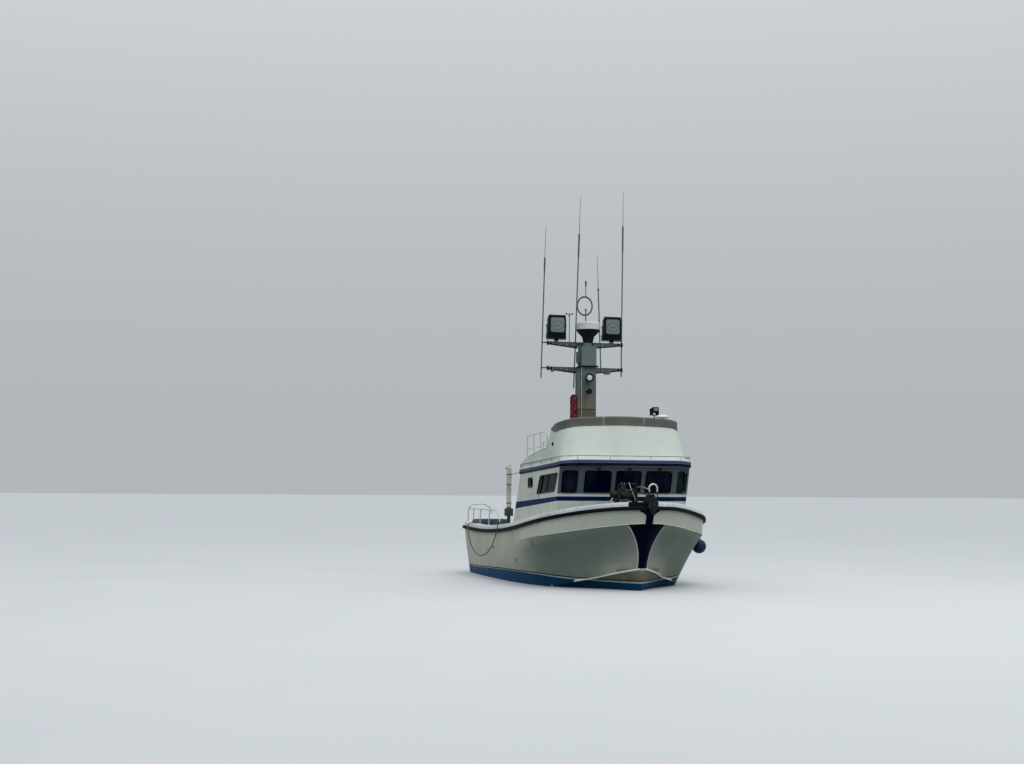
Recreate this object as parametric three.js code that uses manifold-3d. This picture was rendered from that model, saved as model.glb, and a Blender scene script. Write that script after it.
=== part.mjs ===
// An inshore fishing boat with its house forward, modelled whole at its real size.
// Millimetres, +Z up, bow toward -Y, port toward +X, origin amidships on the waterline.
import * as THREE from 'three';
import { mergeVertices } from 'three/addons/utils/BufferGeometryUtils.js';
import Module from 'manifold-3d';

const wasm = await Module();
wasm.setup();

// Driving dimensions
const GAP = 0.3;
const SEAT = 0.4;
const CLEAR = 6;
const DECK_CAMBER = 60;
const HALF_BEAM = 2395;
const RAKE = 0.295;
const ROOF_FALL = 0.048;
const WALL = 55;
const GLASS = 10;
const HOUSE = { half: 1770, frontHalf: 1280, frontY: -3230, cornerY: -2910, atZ: 2720, aftY: 430 };
const ROOF = { brow: 60, eave: 15, under: 3085, thick: 180, fromY: -3300, aftY: 610 };
const SOLE = { z: 750, half: 1700, aftY: 500, forward: { half: 1250, frontY: -2890, aftY: -2200 } };
const WELL = { z: 600, narrowHalf: 1660, narrowAftY: 1850, half: 2000, aftY: 4600 };
const COAMING = { thick: 50, sink: 20 };
const MAST = { y: 80, half: 200, deep: 175, foot: 3050, plate: 5900, top: 6540 };
const CROSSTREE = { half: 1105, lower: 5850, upper: 6550 };
const PROPELLER = { y: 3660, z: -820 };
const RUDDER = { y: 4230, stock: 28 };
const SHOE = { top: -1130, bottom: -1200 };
const REEL = { y: 2450, z: 1430, flange: 520, core: 380, half: 560 };
const ROLLER = { y: 4715, z: 1615, radius: 75, half: 480 };
const WINCH = { x: -330, y: -3960, z: 2390, radius: 150, half: 190 };
const BOW_ROLLER = { y: -4885, z: 2295, radius: 45, groove: 30, half: 52 };
const BUOY = { x: 2454.7, y: -2000, z: 1010, radius: 190 };

// Shapes

/** Turns one closed geometry into a solid that can be joined and cut. */
function solid(geometry) {
  const bare = geometry.clone();
  for (const name of Object.keys(bare.attributes)) {
    if (name !== 'position') bare.deleteAttribute(name);
  }
  const merged = mergeVertices(bare, 1e-3);
  return new wasm.Manifold(new wasm.Mesh({
    numProp: 3,
    vertProperties: Float32Array.from(merged.attributes.position.array),
    triVerts: Uint32Array.from(merged.index.array),
  }));
}

/** Turns a solid back into a geometry. */
function geometryOf(body) {
  const mesh = body.getMesh();
  const geometry = new THREE.BufferGeometry();
  geometry.setAttribute('position', new THREE.BufferAttribute(Float32Array.from(mesh.vertProperties), 3));
  geometry.setIndex(new THREE.BufferAttribute(Uint32Array.from(mesh.triVerts), 1));
  geometry.computeVertexNormals();
  return geometry;
}

const join = (...bodies) => bodies.reduce((whole, body) => whole.add(body));
const cut = (body, ...tools) => tools.reduce((rest, tool) => rest.subtract(tool), body);

/** A block between two opposite corners. */
function block([x0, y0, z0], [x1, y1, z1]) {
  const geometry = new THREE.BoxGeometry(x1 - x0, y1 - y0, z1 - z0);
  return solid(geometry.translate((x0 + x1) / 2, (y0 + y1) / 2, (z0 + z1) / 2));
}

/** A round bar, straight or tapered, from one point to another. */
function rod(from, to, radius, sides = 10, endRadius = radius) {
  const a = new THREE.Vector3(...from);
  const b = new THREE.Vector3(...to);
  const geometry = new THREE.CylinderGeometry(endRadius, radius, a.distanceTo(b), sides);
  const turn = new THREE.Quaternion().setFromUnitVectors(
    new THREE.Vector3(0, 1, 0), b.clone().sub(a).normalize());
  geometry.applyQuaternion(turn);
  geometry.translate(...a.add(b).multiplyScalar(0.5).toArray());
  return solid(geometry);
}

const ball = ([x, y, z], radius, sides = 12) => solid(
  new THREE.SphereGeometry(radius, sides, Math.round(sides * 0.6)).translate(x, y, z));

/** A body turned about the Z axis from a profile of [radius, z] points that starts and ends on the axis. */
function turned(profile, sides = 20) {
  const points = profile.map(([radius, z]) => new THREE.Vector2(radius, z));
  const geometry = new THREE.LatheGeometry(points, sides);
  geometry.rotateX(Math.PI / 2);
  const body = solid(geometry);
  return body.volume() > 0 ? body : solid(flipped(geometry));
}

/** The same geometry with its faces turned inside out. */
function flipped(geometry) {
  const copy = geometry.clone();
  const index = copy.index.array;
  for (let i = 0; i < index.length; i += 3) [index[i], index[i + 1]] = [index[i + 1], index[i]];
  return copy;
}

/** A flat outline of [u, v] points, pushed out by a depth along +Z. */
function slab(outline, depth) {
  const shape = new THREE.Shape(outline.map(([u, v]) => new THREE.Vector2(u, v)));
  return new THREE.ExtrudeGeometry(shape, { depth, bevelEnabled: false });
}

/** An outline of [x, z] points, pushed out from y0 to y1. */
function slabAlongY(outline, y0, y1) {
  return solid(slab(outline, y1 - y0).rotateX(Math.PI / 2).translate(0, y1, 0));
}

/** An outline of [y, z] points, pushed out from x0 to x1. */
function slabAlongX(outline, x0, x1) {
  return solid(slab(outline, x1 - x0).rotateZ(Math.PI / 2).rotateY(Math.PI / 2).translate(x0, 0, 0));
}

/** An outline of [x, y] points, pushed out from z0 to z1. */
const slabAlongZ = (outline, z0, z1) => solid(slab(outline, z1 - z0).translate(0, 0, z0));

/** A rectangle's outline with its corners rounded. */
function roundRect(u0, v0, u1, v1, radius, steps = 3) {
  const centres = [
    [u1 - radius, v0 + radius, -90], [u1 - radius, v1 - radius, 0],
    [u0 + radius, v1 - radius, 90], [u0 + radius, v0 + radius, 180],
  ];
  return centres.flatMap(([u, v, start]) => Array.from({ length: steps + 1 }, (_, i) => {
    const angle = THREE.MathUtils.degToRad(start + (90 * i) / steps);
    return [u + radius * Math.cos(angle), v + radius * Math.sin(angle)];
  }));
}

/** An outline of [u, v] points with each corner rounded by a short arc. */
function softened(outline, reach, steps = 3) {
  const corners = outline.map(([u, v]) => new THREE.Vector3(u, v));
  return corners.flatMap((corner, i) => {
    const toward = (other) => corner.clone().lerp(other, reach / corner.distanceTo(other));
    const [start, end] = [toward(corners.at(i - 1)), toward(corners[(i + 1) % corners.length])];
    return new THREE.QuadraticBezierCurve3(start, corner, end).getPoints(steps).map(({ x, y }) => [x, y]);
  });
}

/** A path through given points with each corner rounded by a short arc. */
class BentPath extends THREE.Curve {
  constructor(points, bend, steps = 3) {
    super();
    const corners = points.map((p) => new THREE.Vector3(...p));
    this.points = [corners[0]];
    for (let i = 1; i < corners.length - 1; i += 1) {
      const [before, corner, after] = corners.slice(i - 1, i + 2);
      const reach = Math.min(bend, before.distanceTo(corner) / 2.1, corner.distanceTo(after) / 2.1);
      const start = corner.clone().lerp(before, reach / corner.distanceTo(before));
      const end = corner.clone().lerp(after, reach / corner.distanceTo(after));
      const arc = new THREE.QuadraticBezierCurve3(start, corner, end);
      this.points.push(...arc.getPoints(steps));
    }
    this.points.push(corners.at(-1));
  }

  getPoint(t) {
    const place = t * (this.points.length - 1);
    const i = Math.min(Math.floor(place), this.points.length - 2);
    return this.points[i].clone().lerp(this.points[i + 1], place - i);
  }

  getPointAt(u) {
    return this.getPoint(u);
  }

  getTangentAt(u) {
    const i = Math.round(u * (this.points.length - 1));
    const before = this.points[Math.max(i - 1, 0)];
    const here = this.points[i];
    const after = this.points[Math.min(i + 1, this.points.length - 1)];
    const into = here.clone().sub(before).normalize();
    return into.add(after.clone().sub(here).normalize()).normalize();
  }
}

/** A round tube along bent points. */
function pipe(points, radius, bend = 60, sides = 8) {
  const path = new BentPath(points, bend);
  const circle = new THREE.Shape(Array.from({ length: sides }, (_, i) => {
    const angle = (2 * Math.PI * i) / sides;
    return new THREE.Vector2(radius * Math.cos(angle), radius * Math.sin(angle));
  }));
  const geometry = new THREE.ExtrudeGeometry(
    circle, { steps: path.points.length - 1, extrudePath: path, bevelEnabled: false });
  const body = solid(geometry);
  return body.volume() > 0 ? body : solid(flipped(mergeVertices(geometry)));
}

/** A closed skin over rings of points, all rings with as many points, with flat ends or closed on itself. */
function skin(rings, endCaps, closed = false) {
  const count = rings[0].length;
  const positions = rings.flat(2);
  const index = [];
  const last = closed ? rings.length : rings.length - 1;
  for (let r = 0; r < last; r += 1) {
    const a = r * count;
    const b = ((r + 1) % rings.length) * count;
    for (let i = 0; i < count; i += 1) {
      const j = (i + 1) % count;
      index.push(a + i, a + j, b + j, a + i, b + j, b + i);
    }
  }
  const far = (rings.length - 1) * count;
  for (const [i, j, k] of endCaps) index.push(i, k, j, far + i, far + j, far + k);
  const geometry = new THREE.BufferGeometry();
  geometry.setAttribute('position', new THREE.Float32BufferAttribute(positions, 3));
  geometry.setIndex(index);
  const body = solid(geometry);
  return body.volume() > 0 ? body : solid(flipped(geometry));
}

/** Mirrors a body to the other side of the boat. */
const mirrored = (body) => body.mirror([1, 0, 0]);

/** Leans a body so that it moves forward as it rises. */
function raked(body, atZ, slope) {
  return body.warp((p) => { p[1] -= (p[2] - atZ) * slope; });
}

/** Tips a body down toward the stern. */
function falling(body, fromY, slope) {
  return body.warp((p) => { p[2] -= (p[1] - fromY) * slope; });
}

const model = new THREE.Group();
const paint = (color, roughness = 0.6, metalness = 0) => new THREE.MeshStandardMaterial(
  { color, roughness, metalness });
const FINISH = {
  hull: paint(0xb9c0b2), trim: paint(0x14161a, 0.8), white: paint(0xc9d0c8), house: paint(0xb4bcb0),
  glass: paint(0x0a1418, 0.1), mast: paint(0x7c8480), steel: paint(0x9aa0a4, 0.35, 1),
  canvas: paint(0x77776a, 0.9), rubber: paint(0x161616, 0.9), bottom: paint(0x0e4f7d), red: paint(0x8c2f38),
  bronze: paint(0x9a7b45, 0.4, 1), galvanised: paint(0x8b9194, 0.5, 1), grey: paint(0x5f666a),
  buoy: paint(0x123a72, 0.5), rope: paint(0x55554c, 0.9), net: paint(0x2c4a3c, 0.95),
};

/** Adds one named piece to the boat, at a place of its own where it has one. */
function piece(name, body, finish, place = [0, 0, 0]) {
  const mesh = new THREE.Mesh(geometryOf(body), FINISH[finish]);
  mesh.name = name;
  mesh.position.set(...place);
  model.add(mesh);
  return body;
}

// Hull
// Each drawn station, from the stem to the transom: the deck edge, the knuckle below it, how far the
// side is hollowed between knuckle and chine, the chine, and the keel.
const DRAWN_STATIONS = [
  [[60, -4875, 2100], [40, -4720, 1670], 0, [30, -4285, 560], [-4255, 420]],
  [[330, -4770, 2098], [310, -4650, 1665], 60, [250, -4110, 520], [-4160, 80]],
  [[640, -4610, 2090], [640, -4450, 1635], 90, [430, -3930, 470], [-4020, -130]],
  [[1000, -4300, 2055], [1040, -4130, 1580], 95, [640, -3690, 405], [-3780, -330]],
  [[1500, -3800, 1975], [1540, -3620, 1485], 70, [950, -3270, 300], [-3350, -470]],
  [[2055, -3200, 1840], [2095, -3030, 1355], 45, [1340, -2830, 165], [-2830, -555]],
  [[2325, -2500, 1712], [2300, -2350, 1255], 10, [1650, -2300, 40], [-2300, -590]],
  [[2385, -1500, 1580], [2350, -1430, 1150], -15, [1920, -1400, -50], [-1400, -610]],
  [[2395, 0, 1445], [2365, 0, 1025], -25, [2100, 0, -95], [0, -600]],
  [[2375, 2000, 1365], [2345, 2000, 955], -15, [2150, 2000, -110], [2000, -540]],
  [[2325, 3500, 1370], [2295, 3500, 955], -10, [2130, 3500, -110], [3500, -480]],
  [[2250, 4875, 1400], [2220, 4845, 980], 0, [2080, 4780, -105], [4780, -430]],
];
const CHINE_FLAT = { width: 0.09, drop: 25 };
const SIDE_STEPS = [0.2, 0.4, 0.6, 0.8];
const FAIR = { hull: 3, coaming: 2 };

/** A smooth line through drawn points, with more points between each two of them. */
function faired(points, between = FAIR.hull) {
  const curve = new THREE.CatmullRomCurve3(points.map((p) => new THREE.Vector3(...p)));
  return curve.getPoints((points.length - 1) * between).map((p) => p.toArray());
}
const column = (k) => DRAWN_STATIONS.map((row) => row[k]);
const fairDeck = faired(column(0));
const fairKnuckle = faired(column(1));
const fairHollow = faired(DRAWN_STATIONS.map(([deck, , hollow]) => [hollow, deck[1], 0]));
const fairChine = faired(column(3));
const fairKeel = faired(DRAWN_STATIONS.map(([, , , , [y, z]]) => [0, y, z]));
const STATIONS = fairDeck.map((deck, i) => ({
  deck, knuckle: fairKnuckle[i], hollow: fairHollow[i][0], chine: fairChine[i], keel: fairKeel[i].slice(1),
}));

/** One station's section: the port half from keel to deck, then the other half back down. */
function hullRing({ deck, knuckle, hollow, chine, keel }) {
  const flare = SIDE_STEPS.map((t) => {
    const [x, y, z] = knuckle.map((from, k) => from + (chine[k] - from) * t);
    return [x - 4 * hollow * t * (1 - t), y, z];
  });
  const flat = [chine[0] * (1 - CHINE_FLAT.width), chine[1], chine[2] - CHINE_FLAT.drop];
  const crown = (DECK_CAMBER * deck[0]) / HALF_BEAM;
  const half = [
    [0, keel[0], keel[1]], flat, chine, ...flare.reverse(), knuckle, deck, [0, deck[1], deck[2] + crown],
  ];
  const other = half.slice(1, -1).reverse().map(([x, y, z]) => [-x, y, z]);
  return [...half, ...other];
}

/** The triangles that close a section between its two halves. */
function sectionCaps(half) {
  const count = 2 * half;
  const caps = [[0, 1, count - 1]];
  for (let i = 1; i < half - 1; i += 1) {
    caps.push([i, i + 1, count - i], [i + 1, count - i - 1, count - i]);
  }
  caps.push([half - 1, half, half + 1]);
  return caps;
}

const fullHull = skin(STATIONS.map(hullRing), sectionCaps(5 + SIDE_STEPS.length));

/** The height of the deck edge at a place along the boat. */
function deckEdge(y, field) {
  const rows = STATIONS.map((row) => row.deck);
  const i = Math.max(1, rows.findIndex((row) => row[1] >= y));
  const [a, b] = [rows[i - 1], rows[i]];
  const t = (y - a[1]) / (b[1] - a[1]);
  return a[field] + (b[field] - a[field]) * t;
}
const deckZ = (y) => deckEdge(y, 2);
const deckHalf = (y) => deckEdge(y, 0);

// Hatches in the deck: each has a pit below it, a raised coaming and a lid with its hinge forward.
const HATCHES = [
  { name: 'fish_hatch_starboard', x: -1110, y: 3290, wide: 760, long: 800, floor: 600, rise: 18, pit: 600 },
  { name: 'fish_hatch_port', x: 1110, y: 3290, wide: 760, long: 800, floor: 600, rise: 18, pit: 600 },
  { name: 'engine_hatch', x: 0, y: -300, wide: 900, long: 1300, floor: 750, rise: 20, pit: 800 },
  { name: 'foredeck_hatch', x: 560, y: -3420, wide: 520, long: 460, floor: 1960, rise: 50, pit: 900 },
];
const COAMING_WALL = 40;
const LID = { thick: 35, barrel: 14, lug: 90 };

/** The raised edge around a hatch, with the two lugs that its hinge barrel rests on. */
function hatchCoaming({ x, y, wide, long, floor, rise }) {
  const [hx, hy] = [wide / 2, long / 2];
  const top = floor + rise;
  const root = floor - 160;
  const lugs = [-1, 1].map((side) => {
    const middle = x + side * (hx - 120);
    const edge = y - hy - COAMING_WALL;
    return block([middle - LID.lug / 2, edge - 50, root], [middle + LID.lug / 2, edge + 5, top]);
  });
  const frame = block([x - hx - COAMING_WALL, y - hy - COAMING_WALL, root],
    [x + hx + COAMING_WALL, y + hy + COAMING_WALL, top]);
  return join(frame, ...lugs);
}

const hatchPit = ({ x, y, wide, long, floor, rise, pit }) => block(
  [x - wide / 2, y - long / 2, floor - pit], [x + wide / 2, y + long / 2, floor + rise + 100]);

const hingeHeight = ({ floor, rise }) => floor + rise + LID.barrel + SEAT;
const hingeY = ({ y, long }) => y - long / 2 - COAMING_WALL - 20;

/** A lid that reaches aft from its hinge barrel. */
function hatchLid({ wide, long }) {
  const half = wide / 2 + COAMING_WALL;
  const plate = block([-half, 4, -LID.barrel + CLEAR], [half, long + 2 * COAMING_WALL + 20, LID.thick]);
  const barrel = rod([-half + 10, 0, 0], [half - 10, 0, 0], LID.barrel, 12);
  return join(plate, barrel);
}

const cabinSpace = join(
  block([-SOLE.forward.half, SOLE.forward.frontY, SOLE.z], [SOLE.forward.half, SOLE.forward.aftY + 1, 2400]),
  block([-SOLE.half, SOLE.forward.aftY, SOLE.z], [SOLE.half, SOLE.aftY, 2400]));
const wellSpace = join(
  block([-WELL.narrowHalf, SOLE.aftY - 1, WELL.z], [WELL.narrowHalf, WELL.narrowAftY + 1, 2400]),
  block([-WELL.half, WELL.narrowAftY, WELL.z], [WELL.half, WELL.aftY, 2400]));
const rudderBore = rod([0, RUDDER.y, -700], [0, RUDDER.y, 60], RUDDER.stock + 1, 24);
const openHull = join(cut(fullHull, cabinSpace, wellSpace), ...HATCHES.map(hatchCoaming));
const hullBody = cut(openHull, ...HATCHES.map(hatchPit), rudderBore);
// The hull is made in three mouldings: the bottom, the sides with the cabin sole, and the bow.
const FAR = 6000;
const bottomSpace = block([-FAR, -FAR, -FAR], [FAR, FAR, WELL.z]);
const bowSpace = block([-FAR, -FAR, WELL.z + GAP], [FAR, SOLE.forward.aftY, FAR]);
const sideSpace = block([-FAR, SOLE.forward.aftY + GAP, WELL.z + GAP], [FAR, FAR, FAR]);
const wellHatches = HATCHES.filter(({ floor }) => floor === WELL.z).map(hatchCoaming);
piece('hull', hullBody.intersect(join(bottomSpace, ...wellHatches)), 'hull');
piece('hull_sides', cut(hullBody.intersect(sideSpace), ...wellHatches), 'hull');
piece('hull_bow', hullBody.intersect(bowSpace), 'hull');
for (const hatch of HATCHES) {
  piece(hatch.name, hatchLid(hatch), 'white', [hatch.x, hingeY(hatch), hingeHeight(hatch)]);
}

/** A band that runs all round the deck edge, between two distances out from it and two heights. */
function deckEdgeBand(inner, outer, low, high) {
  const port = STATIONS.map(({ deck }) => deck);
  const loop = [...port, ...port.slice().reverse().map(([x, y, z]) => [-x, y, z])];
  const rings = loop.map(([x, y, z], i) => {
    const [bx, by] = loop.at(i - 1);
    const [ax, ay] = loop[(i + 1) % loop.length];
    const before = new THREE.Vector2(x - bx, y - by).normalize();
    const after = new THREE.Vector2(ax - x, ay - y).normalize();
    const mitre = before.clone().add(after).normalize();
    const scale = 1 / Math.max(mitre.dot(after), 0.6);
    const out = (distance) => [x + mitre.y * distance * scale, y - mitre.x * distance * scale];
    const [near, far] = [out(inner), out(outer)];
    return [[...near, z + low], [...far, z + low], [...far, z + high], [...near, z + high]];
  });
  return skin(rings, [], true);
}

const CAP = { inner: -150, outer: -8, high: 105 };
const CLEATS = [350, 3650];
const liftedHull = fullHull.translate([0, 0, GAP]);
piece('rub_rail', deckEdgeBand(GAP, 58, -95, -5), 'trim');

/** A mooring cleat on the gunwale cap. */
function cleat(side, y) {
  const top = deckZ(y) + CAP.high;
  const horn = slabAlongX([[-150, 68], [150, 68], [110, 45], [-110, 45]], -16, 16);
  return join(block([-22, -70, -10], [22, 70, 55]), horn).translate([side * (deckHalf(y) - 82), y, top]);
}
const capBand = cut(deckEdgeBand(CAP.inner, CAP.outer, -20, CAP.high), liftedHull);
const capBody = join(capBand, ...CLEATS.flatMap((y) => [cleat(1, y), cleat(-1, y)]));
piece('gunwale_cap', capBody, 'white');
const liftedCap = capBody.translate([0, 0, SEAT]);

// Keel, propeller and rudder
const keelOutline = [
  [-2300, -300], [-1700, -900], [-1300, SHOE.bottom], [4330, SHOE.bottom], [4330, SHOE.top],
  [3570, SHOE.top], [3500, -1000], [3500, -300],
];
const sternTube = rod([0, 3000, PROPELLER.z], [0, 3560, PROPELLER.z], 80, 16);
const shaftBore = rod([0, 3200, PROPELLER.z], [0, 3600, PROPELLER.z], 31, 24);
const keelBody = cut(join(slabAlongX(keelOutline, -65, 65), sternTube),
  shaftBore, fullHull.translate([0, 0, -GAP]));
piece('keel', keelBody, 'bottom');

const BLADES = 4;
const blade = slabAlongY(
  [[-30, 20], [-115, 130], [-95, 230], [0, 268], [80, 215], [75, 110], [30, 20]], -9, 9);
const propellerBody = join(
  rod([0, -48, 0], [0, 75, 0], 62, 20),
  rod([0, -300, 0], [0, 40, 0], 30, 20),
  rod([0, 75, 0], [0, 130, 0], 50, 20, 26),
  ...Array.from({ length: BLADES }, (_, i) => blade.rotate([0, 0, 28]).rotate([0, (360 / BLADES) * i, 0])));
piece('propeller', propellerBody, 'bronze', [0, PROPELLER.y, PROPELLER.z]);

const rudderBlade = slabAlongX(
  [[-110, SHOE.top + 30], [400, SHOE.top + 30], [430, -560], [-90, -560]], -22, 22);
const rudderBody = join(rudderBlade,
  rod([0, 0, SHOE.top + SEAT], [0, 0, 40], RUDDER.stock, 24));
piece('rudder', rudderBody, 'bronze', [0, RUDDER.y, 0]);
piece('engine_block', block([-380, -820, -50 + SEAT], [380, 220, 650]), 'grey');

// House
const frontYAt = (z) => HOUSE.frontY - (z - HOUSE.atZ) * RAKE;
const roofUnder = (y) => ROOF.under - (y - ROOF.fromY) * ROOF_FALL;
const underRoof = falling(block([-2500, -4500, 800], [2500, 2500, ROOF.under - GAP]), ROOF.fromY, ROOF_FALL);
const cornerY = HOUSE.cornerY - GAP;
const CORNER_TURN = Math.atan2(HOUSE.cornerY - HOUSE.frontY, HOUSE.half - HOUSE.frontHalf);

/** The front of the house in plan, at mid window height: three flats between the two sides. */
function frontPlan(inset, thick) {
  const line = (d) => [
    [HOUSE.half - d / Math.sin(CORNER_TURN), cornerY],
    [HOUSE.frontHalf - d * Math.tan(CORNER_TURN / 2), HOUSE.frontY + d],
  ];
  const flip = ([x, y]) => [-x, y];
  const [outerSide, outerFront] = line(inset);
  const [innerSide, innerFront] = line(inset + thick);
  return [
    outerSide, outerFront, flip(outerFront), flip(outerSide),
    flip(innerSide), flip(innerFront), innerFront, innerSide,
  ];
}

// Panes across the front, from starboard to port: each from u0 to u1 along its own flat of the wall.
const PANE = { low: 2415, high: 2985, round: 85 };
const FRONT_PANES = [[-1185, -455], [-350, 350], [455, 1185]];
const CORNER_PANE = { from: 70, to: 500 };

/** A hole through a corner flat of the front wall. */
function cornerHole(side) {
  const [cx, cy] = [side * HOUSE.frontHalf, HOUSE.frontY];
  const [u0, u1] = side > 0 ? [CORNER_PANE.from, CORNER_PANE.to] : [-CORNER_PANE.to, -CORNER_PANE.from];
  return slabAlongY(roundRect(u0, PANE.low, u1, PANE.high, PANE.round), -200, 200)
    .rotate([0, 0, side * THREE.MathUtils.radToDeg(CORNER_TURN)]).translate([cx, cy, 0]);
}

const upright = (body) => raked(body, HOUSE.atZ, RAKE);
const frontHoles = [
  ...FRONT_PANES.map(([u0, u1]) => slabAlongY(
    roundRect(u0, PANE.low, u1, PANE.high, PANE.round), HOUSE.frontY - 200, HOUSE.frontY + 200)),
  cornerHole(1), cornerHole(-1),
];
const frontWall = cut(slabAlongZ(frontPlan(0, WALL), 1500, 3400), ...frontHoles);
const trimToHull = (body) => cut(body, liftedHull);
piece('house_front_wall', trimToHull(upright(frontWall).intersect(underRoof)), 'house');
const glazingFront = upright(slabAlongZ(frontPlan(WALL + GAP, GLASS), PANE.low - 45, PANE.high + 30));
piece('glazing_front', glazingFront.intersect(underRoof), 'glass');

// The side windows, as outlines of [y, z] points: the large one leans with the front of the house.
const SIDE_WINDOW = softened([[-2590, 2450], [-1020, 2365], [-1330, 2845], [-2870, 2915]], 70);
const SMALL_WINDOW = roundRect(-630, 2550, -220, 2790, 70);
const sideFrontY = (z) => HOUSE.cornerY - (z - HOUSE.atZ) * RAKE;
const sideOutline = [
  [sideFrontY(1500), 1500], [1400, 1200], [1290, 1500], [500, 2960], [500, 3400], [sideFrontY(3400), 3400],
];
const sideWall = cut(slabAlongX(sideOutline, HOUSE.half - WALL, HOUSE.half),
  slabAlongX(SIDE_WINDOW, HOUSE.half - 2 * WALL, HOUSE.half + WALL),
  slabAlongX(SMALL_WINDOW, HOUSE.half - 2 * WALL, HOUSE.half + WALL)).intersect(underRoof);
const sideGlass = slabAlongX([[-2740, 2260], [-150, 2190], [-150, 2860], [-2950, 2965]],
  HOUSE.half - WALL - GAP - GLASS, HOUSE.half - WALL - GAP);
for (const [side, place] of [['port', (body) => body], ['starboard', mirrored]]) {
  piece(`house_side_${side}`, trimToHull(place(sideWall)), 'house');
  piece(`glazing_${side}`, place(sideGlass), 'glass');
}

const DOOR = { x0: -390, x1: 390, sill: 900, head: 2760, thick: 40, inner: -12.5 };
const doorHinge = [DOOR.x1 + 60, HOUSE.aftY + WALL + CLEAR + LID.barrel, DOOR.sill - 40];
const aftInner = HOUSE.half - WALL - GAP;
const hingeLugs = [1100, 2600].map((z) => block([doorHinge[0] - 2, HOUSE.aftY + WALL - 10, z - 50],
  [doorHinge[0] + 16, HOUSE.aftY + WALL + CLEAR - SEAT, z + 50]));
const aftWall = cut(
  join(block([-SOLE.half + GAP, HOUSE.aftY, SOLE.z + GAP], [SOLE.half - GAP, HOUSE.aftY + WALL, 1480]),
    block([-aftInner, HOUSE.aftY, 1470], [aftInner, HOUSE.aftY + WALL, 3300]), ...hingeLugs),
  block([DOOR.x0, HOUSE.aftY - 50, DOOR.sill], [DOOR.x1, HOUSE.aftY + 200, DOOR.head]));
piece('house_aft_wall', aftWall.intersect(underRoof), 'house');

/** The cabin door, from its hinge barrel toward starboard. */
function cabinDoor() {
  const [wide, high] = [DOOR.x1 - DOOR.x0 + 80, DOOR.head - DOOR.sill + 80];
  const leaf = block([-wide, DOOR.inner, 0], [-4, DOOR.thick, high]);
  const port = slabAlongY(roundRect(-wide + 200, high - 750, -200, high - 250, 60), -100, 100);
  const light = block([-wide + 170, 6, high - 780], [-170, 18, high - 220]);
  return join(cut(leaf, port), light, rod([0, 0, 20], [0, 0, high - 20], LID.barrel, 12));
}
piece('cabin_door', cabinDoor(), 'white', doorHinge);

/** The roof in plan: it stands out a little at the sides and more at the front, as a brow. */
function roofPlan() {
  const frontAtBrow = frontYAt(ROOF.under) - ROOF.brow;
  const cornerAtBrow = sideFrontY(ROOF.under) - ROOF.brow;
  const [half, front] = [HOUSE.half + ROOF.eave, HOUSE.frontHalf + ROOF.brow];
  return [
    [half, cornerAtBrow], [half, ROOF.aftY], [-half, ROOF.aftY], [-half, cornerAtBrow],
    [-front, frontAtBrow], [front, frontAtBrow],
  ];
}
const roofBody = falling(slabAlongZ(roofPlan(), ROOF.under, ROOF.under + ROOF.thick), ROOF.fromY, ROOF_FALL);
piece('house_roof', roofBody, 'white');
const roofTop = (y) => roofUnder(y) + ROOF.thick;
const liftedRoof = roofBody.translate([0, 0, GAP]);

// Cabin fittings
const WHEEL = { x: 750, y: -2100, z: 1620, shaft: 30, reach: 220 };
const dash = slabAlongX([[-2880, SOLE.z + GAP], [-2350, SOLE.z + GAP], [-2200, 1900], [-2250, 2060],
  [-2880, 2220]], -1240, 1240);
const wheelBore = rod([WHEEL.x, WHEEL.y - WHEEL.reach - 2, WHEEL.z], [WHEEL.x, WHEEL.y, WHEEL.z],
  WHEEL.shaft + 2 * GAP, 24);
piece('dash_console', cut(dash, wheelBore), 'grey');
const wheelRim = solid(new THREE.TorusGeometry(190, 14, 8, 24).rotateX(Math.PI / 2));
const helmWheel = join(wheelRim, rod([-190, 0, 0], [190, 0, 0], 9, 8), rod([0, 0, -190], [0, 0, 190], 9, 8),
  rod([0, -WHEEL.reach, 0], [0, 20, 0], WHEEL.shaft, 20));
piece('helm_wheel', helmWheel, 'trim', [WHEEL.x, WHEEL.y, WHEEL.z]);
const seatBody = join(rod([0, 0, SOLE.z + GAP], [0, 0, 1300], 45, 12),
  rod([0, 0, SOLE.z + GAP], [0, 0, SOLE.z + 30], 190, 16),
  block([-240, -230, 1280], [240, 230, 1390]), block([-230, 170, 1380], [230, 250, 1950]));
piece('helm_seat', seatBody, 'trim', [WHEEL.x, -1530, 0]);
const bench = join(block([-1690, -2000, SOLE.z + GAP], [-1050, 400, 1190]),
  block([-1690, -2000, 1180], [-1580, 400, 1600]));
piece('settee', bench, 'trim');

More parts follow.
